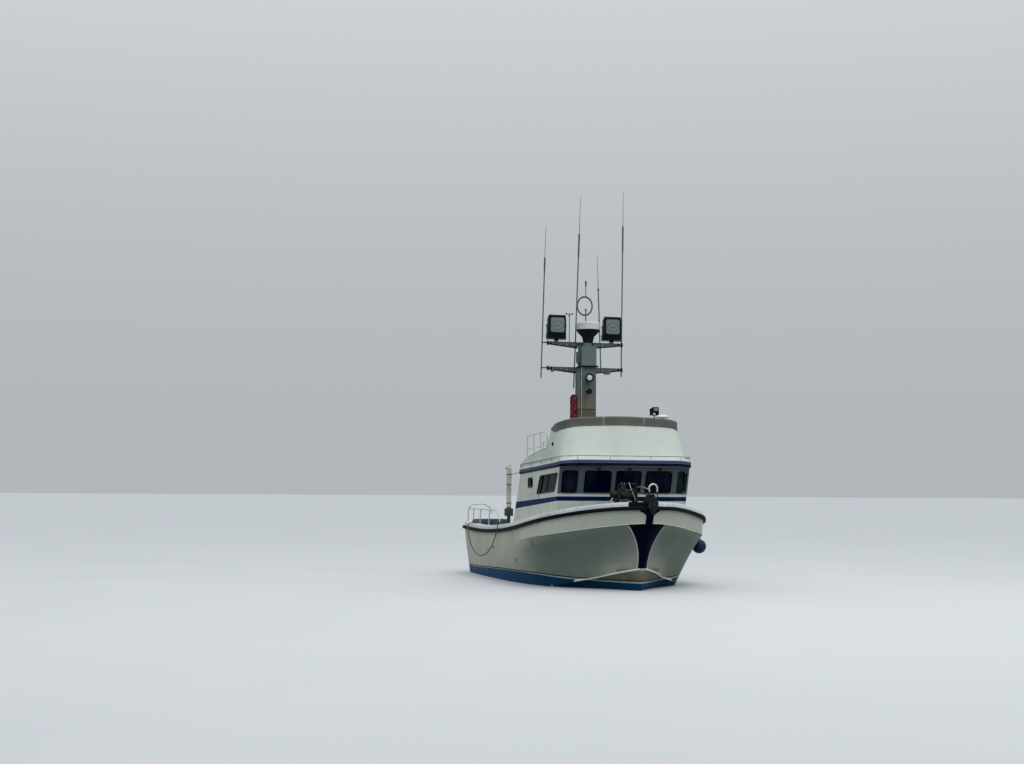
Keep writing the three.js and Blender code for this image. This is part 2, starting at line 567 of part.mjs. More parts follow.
// Flybridge
// The coaming on the port side, from its stern end to the front: where it stands on the roof and its
// top edge in plan, then heights above the roof: its top, and the canvas cover's lower and upper edges.
const COAMING_LINE = [
  { base: [1772, 590], top: [1745, 585], rise: 100 },
  { base: [1765, -250], top: [1734, -250], rise: 272 },
  { base: [1760, -1140], top: [1722, -1136], rise: 360 },
  { base: [1758, -1600], top: [1716, -1600], rise: 385 },
  { base: [1757, -1790], top: [1712, -1714], rise: 411 },
  { base: [1756, -1950], top: [1690, -1835], rise: 586 },
  { base: [1756, -2150], top: [1662, -1990], rise: 838, lap: 750, cover: 900 },
  { base: [1755, -2450], top: [1650, -2270], rise: 834, lap: 745, cover: 985 },
  { base: [1745, -2750], top: [1600, -2495], rise: 834, lap: 794, cover: 1020 },
  { base: [1690, -2960], top: [1500, -2740], rise: 852, lap: 838, cover: 1052 },
  { base: [1480, -3130], top: [1300, -2870], rise: 886, lap: 874, cover: 1083 },
  { base: [1100, -3210], top: [1000, -2895], rise: 902, lap: 890, cover: 1105 },
  { base: [600, -3240], top: [600, -2920], rise: 914, lap: 902, cover: 1123 },
  { base: [200, -3250], top: [200, -2965], rise: 923, lap: 911, cover: 1132 },
];
const bothSides = (line) => [...line, ...line.slice().reverse().map(({ base, top, ...heights }) => (
  { base: [-base[0], base[1]], top: [-top[0], top[1]], ...heights }))];

/** The line with more points on a smooth curve through its rows. */
function fairedRows(line) {
  const base = faired(line.map((row) => [...row.base, 0]), FAIR.coaming);
  const top = faired(line.map((row) => [...row.top, row.rise]), FAIR.coaming);
  const canvas = faired(line.map(({ lap, cover }) => [lap, cover, 0]), FAIR.coaming);
  return base.map(([x, y], i) => ({
    base: [x, y], top: top[i].slice(0, 2), rise: top[i][2], lap: canvas[i][0], cover: canvas[i][1],
  }));
}
const wings = COAMING_LINE.findIndex(({ cover }) => cover);
const wholeLine = bothSides(COAMING_LINE);
const coveredLine = fairedRows(wholeLine.slice(wings, -wings));

/** The flybridge coaming: a thin wall that leans in, open toward the stern. */
function coaming() {
  const line = [...wholeLine.slice(0, wings), ...coveredLine, ...wholeLine.slice(-wings)];
  const inward = ([x, y], i, key) => {
    const before = line[Math.max(i - 1, 0)][key];
    const after = line[Math.min(i + 1, line.length - 1)][key];
    const along = new THREE.Vector2(after[0] - before[0], after[1] - before[1]).normalize();
    return [x + along.y * COAMING.thick, y - along.x * COAMING.thick];
  };
  const rings = line.map(({ base, top, rise }, i) => {
    const low = roofTop(base[1]) - COAMING.sink;
    const high = roofTop(top[1]) + rise;
    const [foot, lip] = [inward(base, i, 'base'), inward(top, i, 'top')];
    return [[...base, low], [...foot, low], [...lip, high], [...top, high]];
  });
  return cut(skin(rings, [[0, 1, 2], [0, 2, 3]]), liftedRoof);
}
const coamingBody = coaming();
piece('flybridge_coaming', coamingBody, 'white');

const COVER = { out: 22, bevel: 35, inset: 30, middle: -2400 };

/** The canvas cover stretched over the front of the flybridge, down over the coaming's lip. */
function canvasCover() {
  const line = coveredLine.slice().reverse();
  const moved = ([x, y], distance) => {
    const away = new THREE.Vector2(x, y - COVER.middle).normalize();
    return [x + away.x * distance, y + away.y * distance];
  };
  const ring = (distance, height) => line.map((at) => [...moved(at.top, distance), height(at)]);
  const rings = [
    ring(COVER.out, ({ top, lap }) => roofTop(top[1]) + lap),
    ring(COVER.out, ({ top, cover }) => roofTop(top[1]) + cover - COVER.bevel),
    ring(-COVER.inset, ({ top, cover }) => roofTop(top[1]) + cover),
  ];
  const outline = line.map(({ top }) => new THREE.Vector2(...top));
  const cover = skin(rings, THREE.ShapeUtils.triangulateShape(outline, []));
  const room = [[0, 0, SEAT], [GAP, 0, 0], [-GAP, 0, 0], [0, GAP, 0], [0, -GAP, 0]];
  return cut(cover, ...room.map((shift) => coamingBody.translate(shift)));
}
piece('flybridge_cover', canvasCover(), 'canvas');
const FLY_CONSOLE_TOP = 3850;
const flyConsole = block([-300, -2190, 3050], [1480, -1560, FLY_CONSOLE_TOP]);
piece('flybridge_console', cut(flyConsole, liftedRoof), 'white');

/** The rail on one side of the flybridge, inside the coaming. */
function flybridgeRail() {
  const x = 1595;
  const foot = (y) => [x, y, roofTop(y) + GAP];
  const rail = pipe([foot(-1350), [x, -1350, 4020], [x, 480, 3960], foot(480)], 16, 90);
  const posts = [-760, -140].map((y) => rod(foot(y), [x, y, 3990], 14, 8));
  return join(rail, ...posts, rod([x, -1350, 3650], [x, 480, 3590], 11, 8));
}
piece('flybridge_rail_port', cut(flybridgeRail(), liftedRoof), 'steel');
piece('flybridge_rail_starboard', cut(mirrored(flybridgeRail()), liftedRoof), 'steel');

// Mast
const mastLamp = join(block([-60, -60, -40], [60, 5, 40]), rod([0, -170, 0], [0, -55, 0], 105, 16, 80));
const speaker = join(block([-40, -60, -30], [40, 5, 30]), rod([0, -50, 0], [0, -210, 0], 35, 14, 75));
const post = (half, deep, low, high) => block([-half, -deep, low], [half, deep, high]);
const mastBody = join(
  mastLamp.translate([-45, -MAST.deep, 5560]), speaker.translate([-60, -MAST.deep, 5180]),
  post(MAST.half, MAST.deep, MAST.foot, MAST.plate - 20),
  block([-MAST.half - 40, -MAST.deep - 60, MAST.plate - 30], [MAST.half + 40, MAST.deep, MAST.plate]),
  post(MAST.half + 12, MAST.deep, MAST.plate - 10, 6440),
  rod([0, 0, 6430], [0, 0, MAST.top], 130, 16));

/** A crosstree: two tapered arms with end plates, welded to the aft face of the mast. */
function crosstree(z, seats) {
  const arm = slabAlongY([[-CROSSTREE.half, z - 22], [CROSSTREE.half, z - 22], [CROSSTREE.half, z + 22],
    [-CROSSTREE.half, z + 22]], -22, 22);
  const web = slabAlongY([[-CROSSTREE.half + 60, z - 30], [-MAST.half, z - 95], [MAST.half, z - 95],
    [CROSSTREE.half - 60, z - 30], [MAST.half, z + 20], [-MAST.half, z + 20]], -6, 6);
  const back = block([-MAST.half + 20, -70, z - 110], [MAST.half - 20, 0, z + 30]);
  return join(arm, web, back, ...seats);
}
const armY = MAST.y + MAST.deep + 60;
// The whip antennas: a foot and a tip as [x, z], and the heights of the sleeve and of the joint above it.
const WHIPS = [
  { name: 'whip_antenna_starboard', foot: [-1245, 5560], sleeve: 8560, joint: 8920, tip: [-1125, 9800] },
  { name: 'whip_antenna_mid', foot: [-292, 5300], sleeve: 8990, joint: 9640, tip: [-110, 10700] },
  { name: 'whip_antenna_port', foot: [1105, 5650], sleeve: 9200, joint: 9920, tip: [1160, 10900] },
  { name: 'whip_antenna_short', foot: [505, 5780], sleeve: 8060, joint: 8120, tip: [385, 9050] },
];
const WHIP = { low: 17, sleeve: 24, high: 9, tip: 5, behind: 70 };
const whipX = ({ foot, tip }, z) => foot[0] + ((tip[0] - foot[0]) * (z - foot[1])) / (tip[1] - foot[1]);
/** The clamp that holds a whip behind a crosstree, or just past its end. */
function clamp(whip, z) {
  const x = whipX(whip, z);
  const root = Math.sign(x) * Math.min(Math.abs(x), CROSSTREE.half - 20);
  return cut(
    block([Math.min(root, x) - 26, 15, z - 16], [Math.max(root, x) + 26, WHIP.behind, z + 16]),
    rod([whipX(whip, z - 30), WHIP.behind, z - 30], [whipX(whip, z + 30), WHIP.behind, z + 30],
      WHIP.low + SEAT, 10));
}
const floodSeat = (x) => block([x - 60, -50, 6560], [x + 60, 50, 6600]);
const windPost = rod([-450, 0, 6560], [-450, 0, 7290], 11, 8);
const LAMP_X = { starboard: -830, port: 790 };
const crosstrees = join(
  crosstree(CROSSTREE.lower, WHIPS.map((whip) => clamp(whip, CROSSTREE.lower))),
  crosstree(CROSSTREE.upper, [
    ...WHIPS.map((whip) => clamp(whip, CROSSTREE.upper)),
    floodSeat(LAMP_X.starboard), floodSeat(LAMP_X.port), windPost,
  ]));
const mastWithArms = join(mastBody.translate([0, MAST.y, 0]), crosstrees.translate([0, armY, 0]));
piece('mast', cut(mastWithArms, liftedRoof), 'mast');
for (const whip of WHIPS) {
  const at = (z) => [whipX(whip, z), 0, z];
  const body = join(rod(at(whip.foot[1]), at(whip.sleeve), WHIP.low, 10),
    rod(at(whip.sleeve - 10), at(whip.joint), WHIP.sleeve, 10),
    rod(at(whip.joint - 10), at(whip.tip[1]), WHIP.high, 8, WHIP.tip));
  piece(whip.name, body, 'white', [0, armY + WHIP.behind, 0]);
}

const vane = join(rod([0, 0, 0], [0, 0, 60], 18, 10), rod([-80, 0, 75], [80, 0, 75], 7, 8),
  rod([0, 0, 50], [0, 0, 90], 12, 10), ball([-85, 0, 75], 26, 8), ball([85, 0, 75], 26, 8));
piece('wind_cups', vane, 'trim', [-450, armY, 7290 + SEAT]);

/** A floodlight: a deep case with a hood, its heavy gear box below and a yoke down to the crosstree. */
function floodlight() {
  const z = 6600 + GAP;
  return join(
    slabAlongX([[-90, z + 60], [60, z + 60], [110, z + 200], [60, z + 620], [-90, z + 720], [-120, z + 690],
      [-120, z + 190]], -245, 245),
    block([-265, -80, z + 60], [265, 120, z + 210]),
    block([-50, -45, z], [50, 45, z + 70]));
}
for (const side of ['starboard', 'port']) {
  piece(`floodlight_${side}`, floodlight(), 'trim', [LAMP_X[side], armY, 0]);
}

const radar = turned(
  [[0, 0], [130, 0], [170, 170], [290, 300], [325, 350], [325, 545], [305, 575], [0, 580]], 28);
piece('radar_dome', radar, 'white', [20, MAST.y, MAST.top + SEAT]);
// The direction finder: an oval ring on a post that stands on the upper crosstree, behind the radar.
const LOOP = { x: 82, y: MAST.y + 390, foot: CROSSTREE.upper + 30, knob: 7519, tip: 8330 };
const RING = { x: -32, z: 7622, half: 220, high: 258, tube: 22 };
const ringShape = solid(new THREE.TorusGeometry(RING.half, RING.tube, 8, 28).rotateX(Math.PI / 2)
  .scale(1, 1, RING.high / RING.half));
const spike = [0, 0, RING.z + RING.high - 12];
const loop = join(ringShape.translate([RING.x, 0, RING.z]),
  rod([0, 0, LOOP.foot + 14], [0, 0, LOOP.knob], 16, 10), ball([0, 0, LOOP.knob], 32, 10),
  rod(spike, [0, 0, LOOP.tip], 12, 8), rod([0, 0, LOOP.tip - 146], [0, 0, LOOP.tip - 2], 24, 10),
  block([-60, armY - LOOP.y - 50, LOOP.foot + SEAT], [60, 25, LOOP.foot + 25]));
piece('loop_antenna', loop, 'grey', [LOOP.x, LOOP.y, 0]);

const CANISTER = { x: -395, z: 4740, radius: 95 };
const strap = (z) => block([60, -40, z], [-CANISTER.x - MAST.half - GAP, 40, z + 50]);
const canister = join(rod([0, 0, -300], [0, 0, 270], CANISTER.radius, 16),
  ball([0, 0, 270], CANISTER.radius, 12), strap(-200), strap(180));
piece('red_canister', canister, 'red', [CANISTER.x, MAST.y, CANISTER.z]);

// A small dome and a lamp on posts that stand on the flybridge console.
const domeBody = join(rod([0, 0, 0], [0, 0, 530], 16, 10), rod([0, 0, 520], [0, 0, 555], 70, 16),
  turned([[0, 547], [155, 553], [172, 585], [135, 635], [0, 655]], 20));
piece('roof_dome', domeBody, 'white', [1445, -1900, FLY_CONSOLE_TOP + SEAT]);
const lampHead = join(rod([-90, 0, 0], [90, 0, 0], 14, 8), block([-110, -70, -10], [-60, 50, 170]),
  block([60, -70, -10], [110, 50, 170]), slabAlongX([[-120, 90], [90, 50], [90, 170], [-120, 210]], -80, 80));
const deckLamp = join(rod([0, 0, 0], [0, 0, 655], 16, 10), lampHead.translate([0, 0, 650]));
piece('deck_lamp', deckLamp, 'trim', [1330, -1605, FLY_CONSOLE_TOP + SEAT]);

// Stack on the starboard side deck
const STACK = { x: -1845, y: 1440, low: 1740, high: 1950, top: 3080 };
const stack = cut(join(
  block([-100, -100, STACK.low], [100, 100, STACK.high]),
  rod([0, 0, 1300], [0, 0, STACK.low + 10], 50, 16),
  rod([0, 0, STACK.high - 10], [0, 0, STACK.top], 68, 16)).translate([STACK.x, STACK.y, 0]), liftedHull);
piece('exhaust_stack', stack, 'white');

// Stern rails, with feet on the gunwale cap
/** One side's stern rail, bent down at its forward end. */
function sternRail(side) {
  const foot = (y) => [side * (deckHalf(y) - 80), y, deckZ(y) + CAP.high - 10];
  const head = (y) => [side * (deckHalf(y) - 95), y, 1900];
  const rail = pipe([foot(4790), head(4790), head(1050), foot(560)], 17, 130);
  const posts = [1900, 3000, 3950].map((y) => rod(foot(y), head(y), 15, 8));
  return cut(join(rail, ...posts), liftedCap);
}
const hoop = pipe([[-2180, 4700, 1900], [-2130, 4520, 2010], [-1750, 4480, 2050], [-1540, 4480, 1900],
  [-1520, 4480, 1750]], 14, 110);
piece('stern_rail_starboard', join(sternRail(-1), hoop), 'steel');
piece('stern_rail_port', sternRail(1), 'steel');

// Anchor gear on the foredeck
/** The winch bed and its two cheeks. */
function winchFrame() {
  const cheek = (x) => slabAlongX(
    [[-230, 1900], [230, 1900], [150, WINCH.z + 70], [-150, WINCH.z + 70]].map(([y, z]) => [y + WINCH.y, z]),
    x - 15, x + 15);
  const [left, right] = [WINCH.x - WINCH.half - 45, WINCH.x + WINCH.half + 45];
  const bed = block([left - 60, WINCH.y - 260, 1950], [right + 60, WINCH.y + 260, 2135]);
  const motor = rod([left - 160, WINCH.y, WINCH.z], [left - 5, WINCH.y, WINCH.z], 85, 16);
  const bore = rod([left + 5, WINCH.y, WINCH.z], [right + 40, WINCH.y, WINCH.z], 27, 20);
  const guard = pipe([[left, WINCH.y - 100, 2430], [left, WINCH.y - 100, 2650], [right, WINCH.y - 100, 2650],
    [right, WINCH.y - 100, 2430]], 14, 70);
  return cut(join(bed, cheek(left), cheek(right), motor, guard), bore, liftedHull);
}
piece('anchor_winch_frame', winchFrame(), 'galvanised');
const drumEnd = (x) => rod([x - 8, 0, 0], [x + 8, 0, 0], WINCH.radius, 24);
const winchDrum = join(rod([-WINCH.half, 0, 0], [WINCH.half, 0, 0], 80, 20),
  drumEnd(-WINCH.half + 8), drumEnd(WINCH.half - 8),
  rod([-WINCH.half - 35, 0, 0], [WINCH.half + 60, 0, 0], 26, 20));
piece('anchor_winch_drum', winchDrum, 'galvanised', [WINCH.x, WINCH.y, WINCH.z]);

const BED = { z: STATIONS[0].deck[2] + CAP.high + SEAT, frontY: -4940, aftY: -4480 };
const SHANK_Z = BOW_ROLLER.z + BOW_ROLLER.radius - 5;

/** The bow roller bed: a channel on the cap over the stem, with cheeks for its roller. */
function bowRollerFrame() {
  const cheek = (x) => slabAlongX([
    [BED.frontY, BED.z + 25], [BED.frontY + 80, BED.z], [BED.aftY, BED.z], [BED.aftY, BED.z + 40],
    [-4700, BOW_ROLLER.z + 70], [BED.frontY, BOW_ROLLER.z + 70]], x - 7, x + 7);
  const floor = block([-72, BED.frontY + 80, BED.z], [72, BED.aftY, BED.z + 30]);
  const leg = block([-72, BED.aftY - 40, 2000], [72, BED.aftY, BED.z + 10]);
  const bore = rod([-100, BOW_ROLLER.y, BOW_ROLLER.z], [100, BOW_ROLLER.y, BOW_ROLLER.z], 10.4, 20);
  const saddle = block([-40, -4610, BED.z + 20], [40, -4560, SHANK_Z - SEAT]);
  return cut(join(floor, leg, cheek(-66), cheek(66), saddle), bore, liftedHull);
}
piece('bow_roller_frame', bowRollerFrame(), 'galvanised');
const bowRoller = join(rod([-BOW_ROLLER.half, 0, 0], [0, 0, 0], BOW_ROLLER.radius, 20, BOW_ROLLER.groove),
  rod([0, 0, 0], [BOW_ROLLER.half, 0, 0], BOW_ROLLER.groove, 20, BOW_ROLLER.radius),
  rod([-90, 0, 0], [90, 0, 0], 10, 20));
piece('bow_roller', bowRoller, 'rubber', [0, BOW_ROLLER.y, BOW_ROLLER.z]);

// The anchor: its shank lies over the roller, with the flukes and the hoop in front of the stem.
const shank = slabAlongX(
  [[-5030, SHANK_Z], [-4560, SHANK_Z], [-4560, SHANK_Z + 45], [-5030, SHANK_Z + 60]], -14, 14);
const anchorCrown = slabAlongX(
  [[-5050, SHANK_Z + 60], [-4935, SHANK_Z + 60], [-4970, 1960], [-5040, 1920]], -16, 16);
const FLUKE_Y = -4985;
const flukes = slabAlongY(
  [[0, 1880], [120, 2080], [110, 2330], [-110, 2330], [-120, 2080]], FLUKE_Y - 10, FLUKE_Y + 10);
const hoopBar = pipe([[-100, 2310], [-130, 2480], [-80, 2640], [80, 2640], [130, 2480], [100, 2310]]
  .map(([x, z]) => [x, FLUKE_Y, z]), 15, 80);
piece('anchor', join(shank, anchorCrown, flukes, hoopBar), 'galvanised');

// Net reel on the aft deck, and the roller on the transom
/** The reel's stand: two plated legs with bearings and a cross beam. */
function reelFrame() {
  const leg = (x) => slabAlongX([[REEL.y - 330, WELL.z + GAP], [REEL.y + 330, WELL.z + GAP],
    [REEL.y + 90, REEL.z + 90], [REEL.y - 90, REEL.z + 90]], x - 30, x + 30);
  const x = REEL.half + 80;
  const beam = block([-x, REEL.y - 320, WELL.z + GAP], [x, REEL.y - 250, WELL.z + 90]);
  const bore = rod([-x - 40, REEL.y, REEL.z], [x + 60, REEL.y, REEL.z], 46, 24);
  const motor = rod([x + 25, REEL.y, REEL.z], [x + 170, REEL.y, REEL.z], 95, 16);
  return cut(join(leg(-x), leg(x), beam, motor), bore);
}
piece('net_reel_frame', reelFrame(), 'galvanised');
const reelFlange = (x) => rod([x - 10, 0, 0], [x + 10, 0, 0], REEL.flange, 32);
const netReel = join(rod([-REEL.half, 0, 0], [REEL.half, 0, 0], REEL.core, 24), reelFlange(-REEL.half + 10),
  reelFlange(REEL.half - 10), rod([-REEL.half - 130, 0, 0], [REEL.half + 120, 0, 0], 45, 24));
piece('net_reel', netReel, 'net', [0, REEL.y, REEL.z]);

/** The stern roller's stand on the transom cap. */
function sternRollerFrame() {
  const [foot, x] = [deckZ(4720) + CAP.high - 10, ROLLER.half + 60];
  const plate = block([-x - 60, ROLLER.y - 65, foot], [x + 60, ROLLER.y + 65, foot + 26]);
  const cheek = (at) => block([at - 10, ROLLER.y - 60, foot], [at + 10, ROLLER.y + 60, ROLLER.z + 60]);
  const horn = (at) => rod([at, ROLLER.y, ROLLER.z + 50], [at, ROLLER.y, ROLLER.z + 420], 28, 12);
  const bore = rod([-x - 40, ROLLER.y, ROLLER.z], [x + 40, ROLLER.y, ROLLER.z], 20.6, 20);
  return cut(join(plate, cheek(-x), cheek(x), horn(-x), horn(x)), bore, liftedCap);
}
piece('stern_roller_frame', sternRollerFrame(), 'galvanised');
const sternRoller = join(rod([-ROLLER.half, 0, 0], [ROLLER.half, 0, 0], ROLLER.radius, 20),
  rod([-ROLLER.half - 90, 0, 0], [ROLLER.half + 90, 0, 0], 20, 20));
piece('stern_roller', sternRoller, 'galvanised', [0, ROLLER.y, ROLLER.z]);

const binOuter = block([-1985, 3800, WELL.z + GAP], [-1150, 4560, 1590]);
piece('fish_bin', cut(binOuter, block([-1925, 3860, 760], [-1210, 4500, 1700])), 'trim');

// Mooring gear and what hangs over the sides
const bittPost = block([-260, -3560, 1800], [-140, -3440, 2330]);
const bitt = cut(join(bittPost, rod([-340, -3500, 2230], [-60, -3500, 2230], 22, 12)), liftedHull);
piece('mooring_bitt', bitt, 'galvanised');
const lanyard = pipe([[0, 0, 225], [0, 0, 590], [-60, 0, 772], [-205, 0, 745.1]], 8, 90);
const buoyBody = join(ball([0, 0, 0], BUOY.radius, 20), rod([0, 0, 150], [0, 0, 235], 38, 12), lanyard);
piece('fender_buoy', buoyBody, 'buoy', [BUOY.x, BUOY.y, BUOY.z]);

// The rope hangs between the two starboard cleats, clear of the rub rail.
const ROPE = { x: -2473, radius: 15 };
const onCleat = (y, out, up) => [-(deckHalf(y) - 82 + out), y, deckZ(y) + CAP.high + up];
const ropeRun = [
  onCleat(CLEATS[1], 22.5, 21.7), [-2420, 3650, 1502], [ROPE.x, 3640, 1380], [ROPE.x, 3510, 1140],
  [ROPE.x, 3200, 860], [ROPE.x, 2700, 655], [ROPE.x, 2080, 595], [ROPE.x, 1480, 690], [ROPE.x, 960, 900],
  [ROPE.x, 560, 1180], [ROPE.x, 380, 1410], [-2445, 365, 1572], onCleat(CLEATS[0], 25.4, 24),
];
piece('mooring_rope', pipe(ropeRun, ROPE.radius, 90), 'rope');

export default model;
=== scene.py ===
"""An inshore fishing boat: its paint, metal, glass, cloth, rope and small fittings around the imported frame.

Metres, +Z up, bow toward -Y, port toward +X, origin amidships on the waterline.
"""

import logging
import math
from collections.abc import Callable, Iterable, Sequence
from dataclasses import dataclass, field
from enum import Enum

import bmesh
import bpy
from mathutils import Matrix, Vector, noise
from mathutils.bvhtree import BVHTree


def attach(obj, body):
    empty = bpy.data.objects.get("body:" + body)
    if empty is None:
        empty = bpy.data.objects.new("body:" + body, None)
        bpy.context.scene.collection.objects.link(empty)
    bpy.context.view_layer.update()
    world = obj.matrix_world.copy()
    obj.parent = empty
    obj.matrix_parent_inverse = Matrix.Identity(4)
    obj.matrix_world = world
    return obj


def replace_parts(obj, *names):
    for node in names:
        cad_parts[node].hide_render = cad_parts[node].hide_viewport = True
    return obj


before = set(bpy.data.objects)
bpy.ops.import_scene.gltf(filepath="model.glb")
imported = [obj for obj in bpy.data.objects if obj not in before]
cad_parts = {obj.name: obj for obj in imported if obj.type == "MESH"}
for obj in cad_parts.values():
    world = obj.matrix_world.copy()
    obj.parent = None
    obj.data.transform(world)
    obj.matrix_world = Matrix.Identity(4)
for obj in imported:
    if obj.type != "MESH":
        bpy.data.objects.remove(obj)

LOG = logging.getLogger("boat")
BOAT = "boat"
MM = 0.001
# The radius at which a turned form begins on its axis, where its end is closed.
AXIS = 0.001
# Four bolts round a circle, in radians.
QUARTERS = (0.79, 2.36, 3.93, 5.5)
Colour = tuple[float, float, float]
Point = Sequence[float]


def tint(red: int, green: int, blue: int) -> Colour:
    """Turns a paint shade from screen values, 0 to 255, into linear light."""
    shades = [value / 255 for value in (red, green, blue)]
    return tuple(s / 12.92 if s <= 0.04045 else ((s + 0.055) / 1.055) ** 2.4 for s in shades)


class Side(Enum):
    """The two sides of the boat, as the sign of X."""

    STARBOARD = -1
    PORT = 1


# Node trees


class NodeTree:
    """A node tree that is built through one method."""

    def __init__(self, tree: bpy.types.NodeTree) -> None:
        """Takes over a tree and empties it."""
        self.tree = tree
        self.tree.nodes.clear()

    def add(self, kind: str, settings: dict | None = None, inputs: dict | None = None,
            output: int | str = 0) -> "Socket":
        """Adds one node.

        Args:
            kind: The node's type.
            settings: Its own settings, such as a Math node's operation, set first.
            inputs: Values or links for its sockets, by name or number.
            output: The output that the caller goes on with.

        Returns:
            That output, wrapped.
        """
        node = self.tree.nodes.new(kind)
        for key, value in (settings or {}).items():
            setattr(node, key, value)
        for key, value in (inputs or {}).items():
            socket = node.inputs[key]
            if isinstance(value, Socket):
                self.tree.links.new(value.link, socket)
            elif socket.type == "RGBA":
                socket.default_value = (*value[:3], 1.0)
            else:
                socket.default_value = value
        return Socket(self, node.outputs[output] if node.outputs else None)

    def mix(self, share: "Socket | float", a: "Socket | Colour", b: "Socket | Colour") -> "Socket":
        """Mixes two colours: a where share is 0, b where it is 1.

        Args:
            share: How much of b there is.
            a: The first colour.
            b: The second colour.

        Returns:
            The mixed colour.
        """
        factor, first, second, colour_out = 0, 6, 7, 2
        return self.add("ShaderNodeMix", {"data_type": "RGBA", "clamp_factor": True},
                        {factor: share, first: a, second: b}, colour_out)


def operator(operation: str, swapped: bool = False) -> Callable[["Socket", "Socket | float"], "Socket"]:
    """Makes a method that adds a Math node for a socket and one other value.

    Args:
        operation: The Math node's operation.
        swapped: Puts the other value first.

    Returns:
        The method.
    """
    def method(self: "Socket", other: "Socket | float") -> "Socket":
        """Adds the Math node."""
        return self.math(operation, other, self) if swapped else self.math(operation, self, other)
    return method


class Socket:
    """A value in a node tree. Its operators add Math nodes, and a comparison gives 1 or 0."""

    __add__, __radd__ = operator("ADD"), operator("ADD", swapped=True)
    __sub__, __rsub__ = operator("SUBTRACT"), operator("SUBTRACT", swapped=True)
    __mul__, __rmul__ = operator("MULTIPLY"), operator("MULTIPLY", swapped=True)
    __truediv__, __pow__ = operator("DIVIDE"), operator("POWER")
    __gt__, __lt__ = operator("GREATER_THAN"), operator("LESS_THAN")
    least, most = operator("MINIMUM"), operator("MAXIMUM")

    def __init__(self, tree: NodeTree, link: bpy.types.NodeSocket | None) -> None:
        """Wraps one output of a node."""
        self.tree = tree
        self.link = link

    def math(self, operation: str, *values: "Socket | float") -> "Socket":
        """Adds one Math node that takes the given values."""
        return self.tree.add("ShaderNodeMath", {"operation": operation}, dict(enumerate(values)))

    def __abs__(self) -> "Socket":
        """Drops the sign."""
        return self.math("ABSOLUTE", self)

    def wave(self, period: float) -> "Socket":
        """Gives a sine of the value with the given period."""
        return self.math("SINE", self * (2 * math.pi / period))

    def fade(self, low: float, high: float) -> "Socket":
        """Rises smoothly from 0 at low to 1 at high."""
        return self.tree.add("ShaderNodeMapRange", {"interpolation_type": "SMOOTHSTEP"},
                             {"Value": self, "From Min": low, "From Max": high})

    def between(self, low: "Socket | float", high: "Socket | float") -> "Socket":
        """Gives 1 between two values, else 0."""
        return (self > low) * (self < high)


class Graph(NodeTree):
    """One material's shader, ending in a Principled surface."""

    def __init__(self, name: str) -> None:
        """Makes a material and the places that its patterns are read at.

        Args:
            name: The material's name.
        """
        self.material = bpy.data.materials.new(name)
        self.material.use_nodes = True
        super().__init__(self.material.node_tree)
        self.place = self.add("ShaderNodeTexCoord", output="Object")
        self.x, self.y, self.z = self.parts(self.place)
        self.nx, self.ny, self.nz = self.parts(self.add("ShaderNodeTexCoord", output="Normal"))

    def parts(self, vector: Socket) -> tuple[Socket, Socket, Socket]:
        """Splits a vector into its three values."""
        node = self.add("ShaderNodeSeparateXYZ", inputs={0: vector}).link.node
        return tuple(Socket(self, link) for link in node.outputs)

    def stretched(self, scale: float | Point) -> Socket:
        """Gives the place scaled by one number, or by one for each axis."""
        by = (scale,) * 3 if isinstance(scale, (int, float)) else tuple(scale)
        return self.add("ShaderNodeVectorMath", {"operation": "MULTIPLY"}, {0: self.place, 1: by})

    def noise(self, scale: float | Point, detail: float = 3.0, warp: float = 0.0) -> Socket:
        """Gives cloudy noise.

        Args:
            scale: Its scale, one number or one for each axis.
            detail: How many finer layers it has.
            warp: How far it is distorted.

        Returns:
            A value about 0.5.
        """
        inputs = {"Vector": self.stretched(scale), "Scale": 1.0, "Detail": detail, "Distortion": warp}
        return self.add("ShaderNodeTexNoise", inputs=inputs)

    def cells(self, scale: float | Point, feature: str = "F1") -> Socket:
        """Gives the distance to the nearest of scattered points."""
        return self.add("ShaderNodeTexVoronoi", {"feature": feature},
                        {"Vector": self.stretched(scale), "Scale": 1.0}, "Distance")

    def bump(self, height: Socket, depth: float) -> Socket:
        """Turns a height of 0 to 1 into a normal, for a relief of the given depth in metres."""
        return self.add("ShaderNodeBump", inputs={"Height": height, "Distance": depth, "Strength": 1.0})

    def surface(self, **inputs: "Socket | float | Colour") -> None:
        """Ends the graph in a Principled surface; names use _ for a space."""
        named = {key.replace("_", " "): value for key, value in inputs.items()}
        shader = self.add("ShaderNodeBsdfPrincipled", inputs=named)
        self.add("ShaderNodeOutputMaterial", inputs={"Surface": shader})


# Finishes

GRIME = tint(74, 68, 56)
RUST = tint(112, 62, 34)
DUST = tint(140, 138, 128)
SALT = tint(150, 158, 160)
# The specular level of gloss paint and of glass, set far below that of real ones to match the photograph.
LOW_SHINE = 0.03
# Heights of the hull's chine and knuckle, which fall from the bow, and of the roof, which falls aft.
CHINE_START, CHINE_FALL = -4.285, 0.26
KNUCKLE_HEIGHT = 1.671
ROOF_START, ROOF_FALL = -3.3, 0.048


@dataclass(frozen=True)
class Finish:
    """How one surface looks."""

    name: str

    def dress(self, g: Graph) -> None:
        """Fills the graph. Each kind of finish has its own way."""
        raise NotImplementedError

    def material(self) -> bpy.types.Material:
        """Makes the material once, and gives the same one out after that.

        Returns:
            The material.
        """
        known = bpy.data.materials.get(self.name)
        if known:
            return known
        graph = Graph(self.name)
        self.dress(graph)
        return graph.material


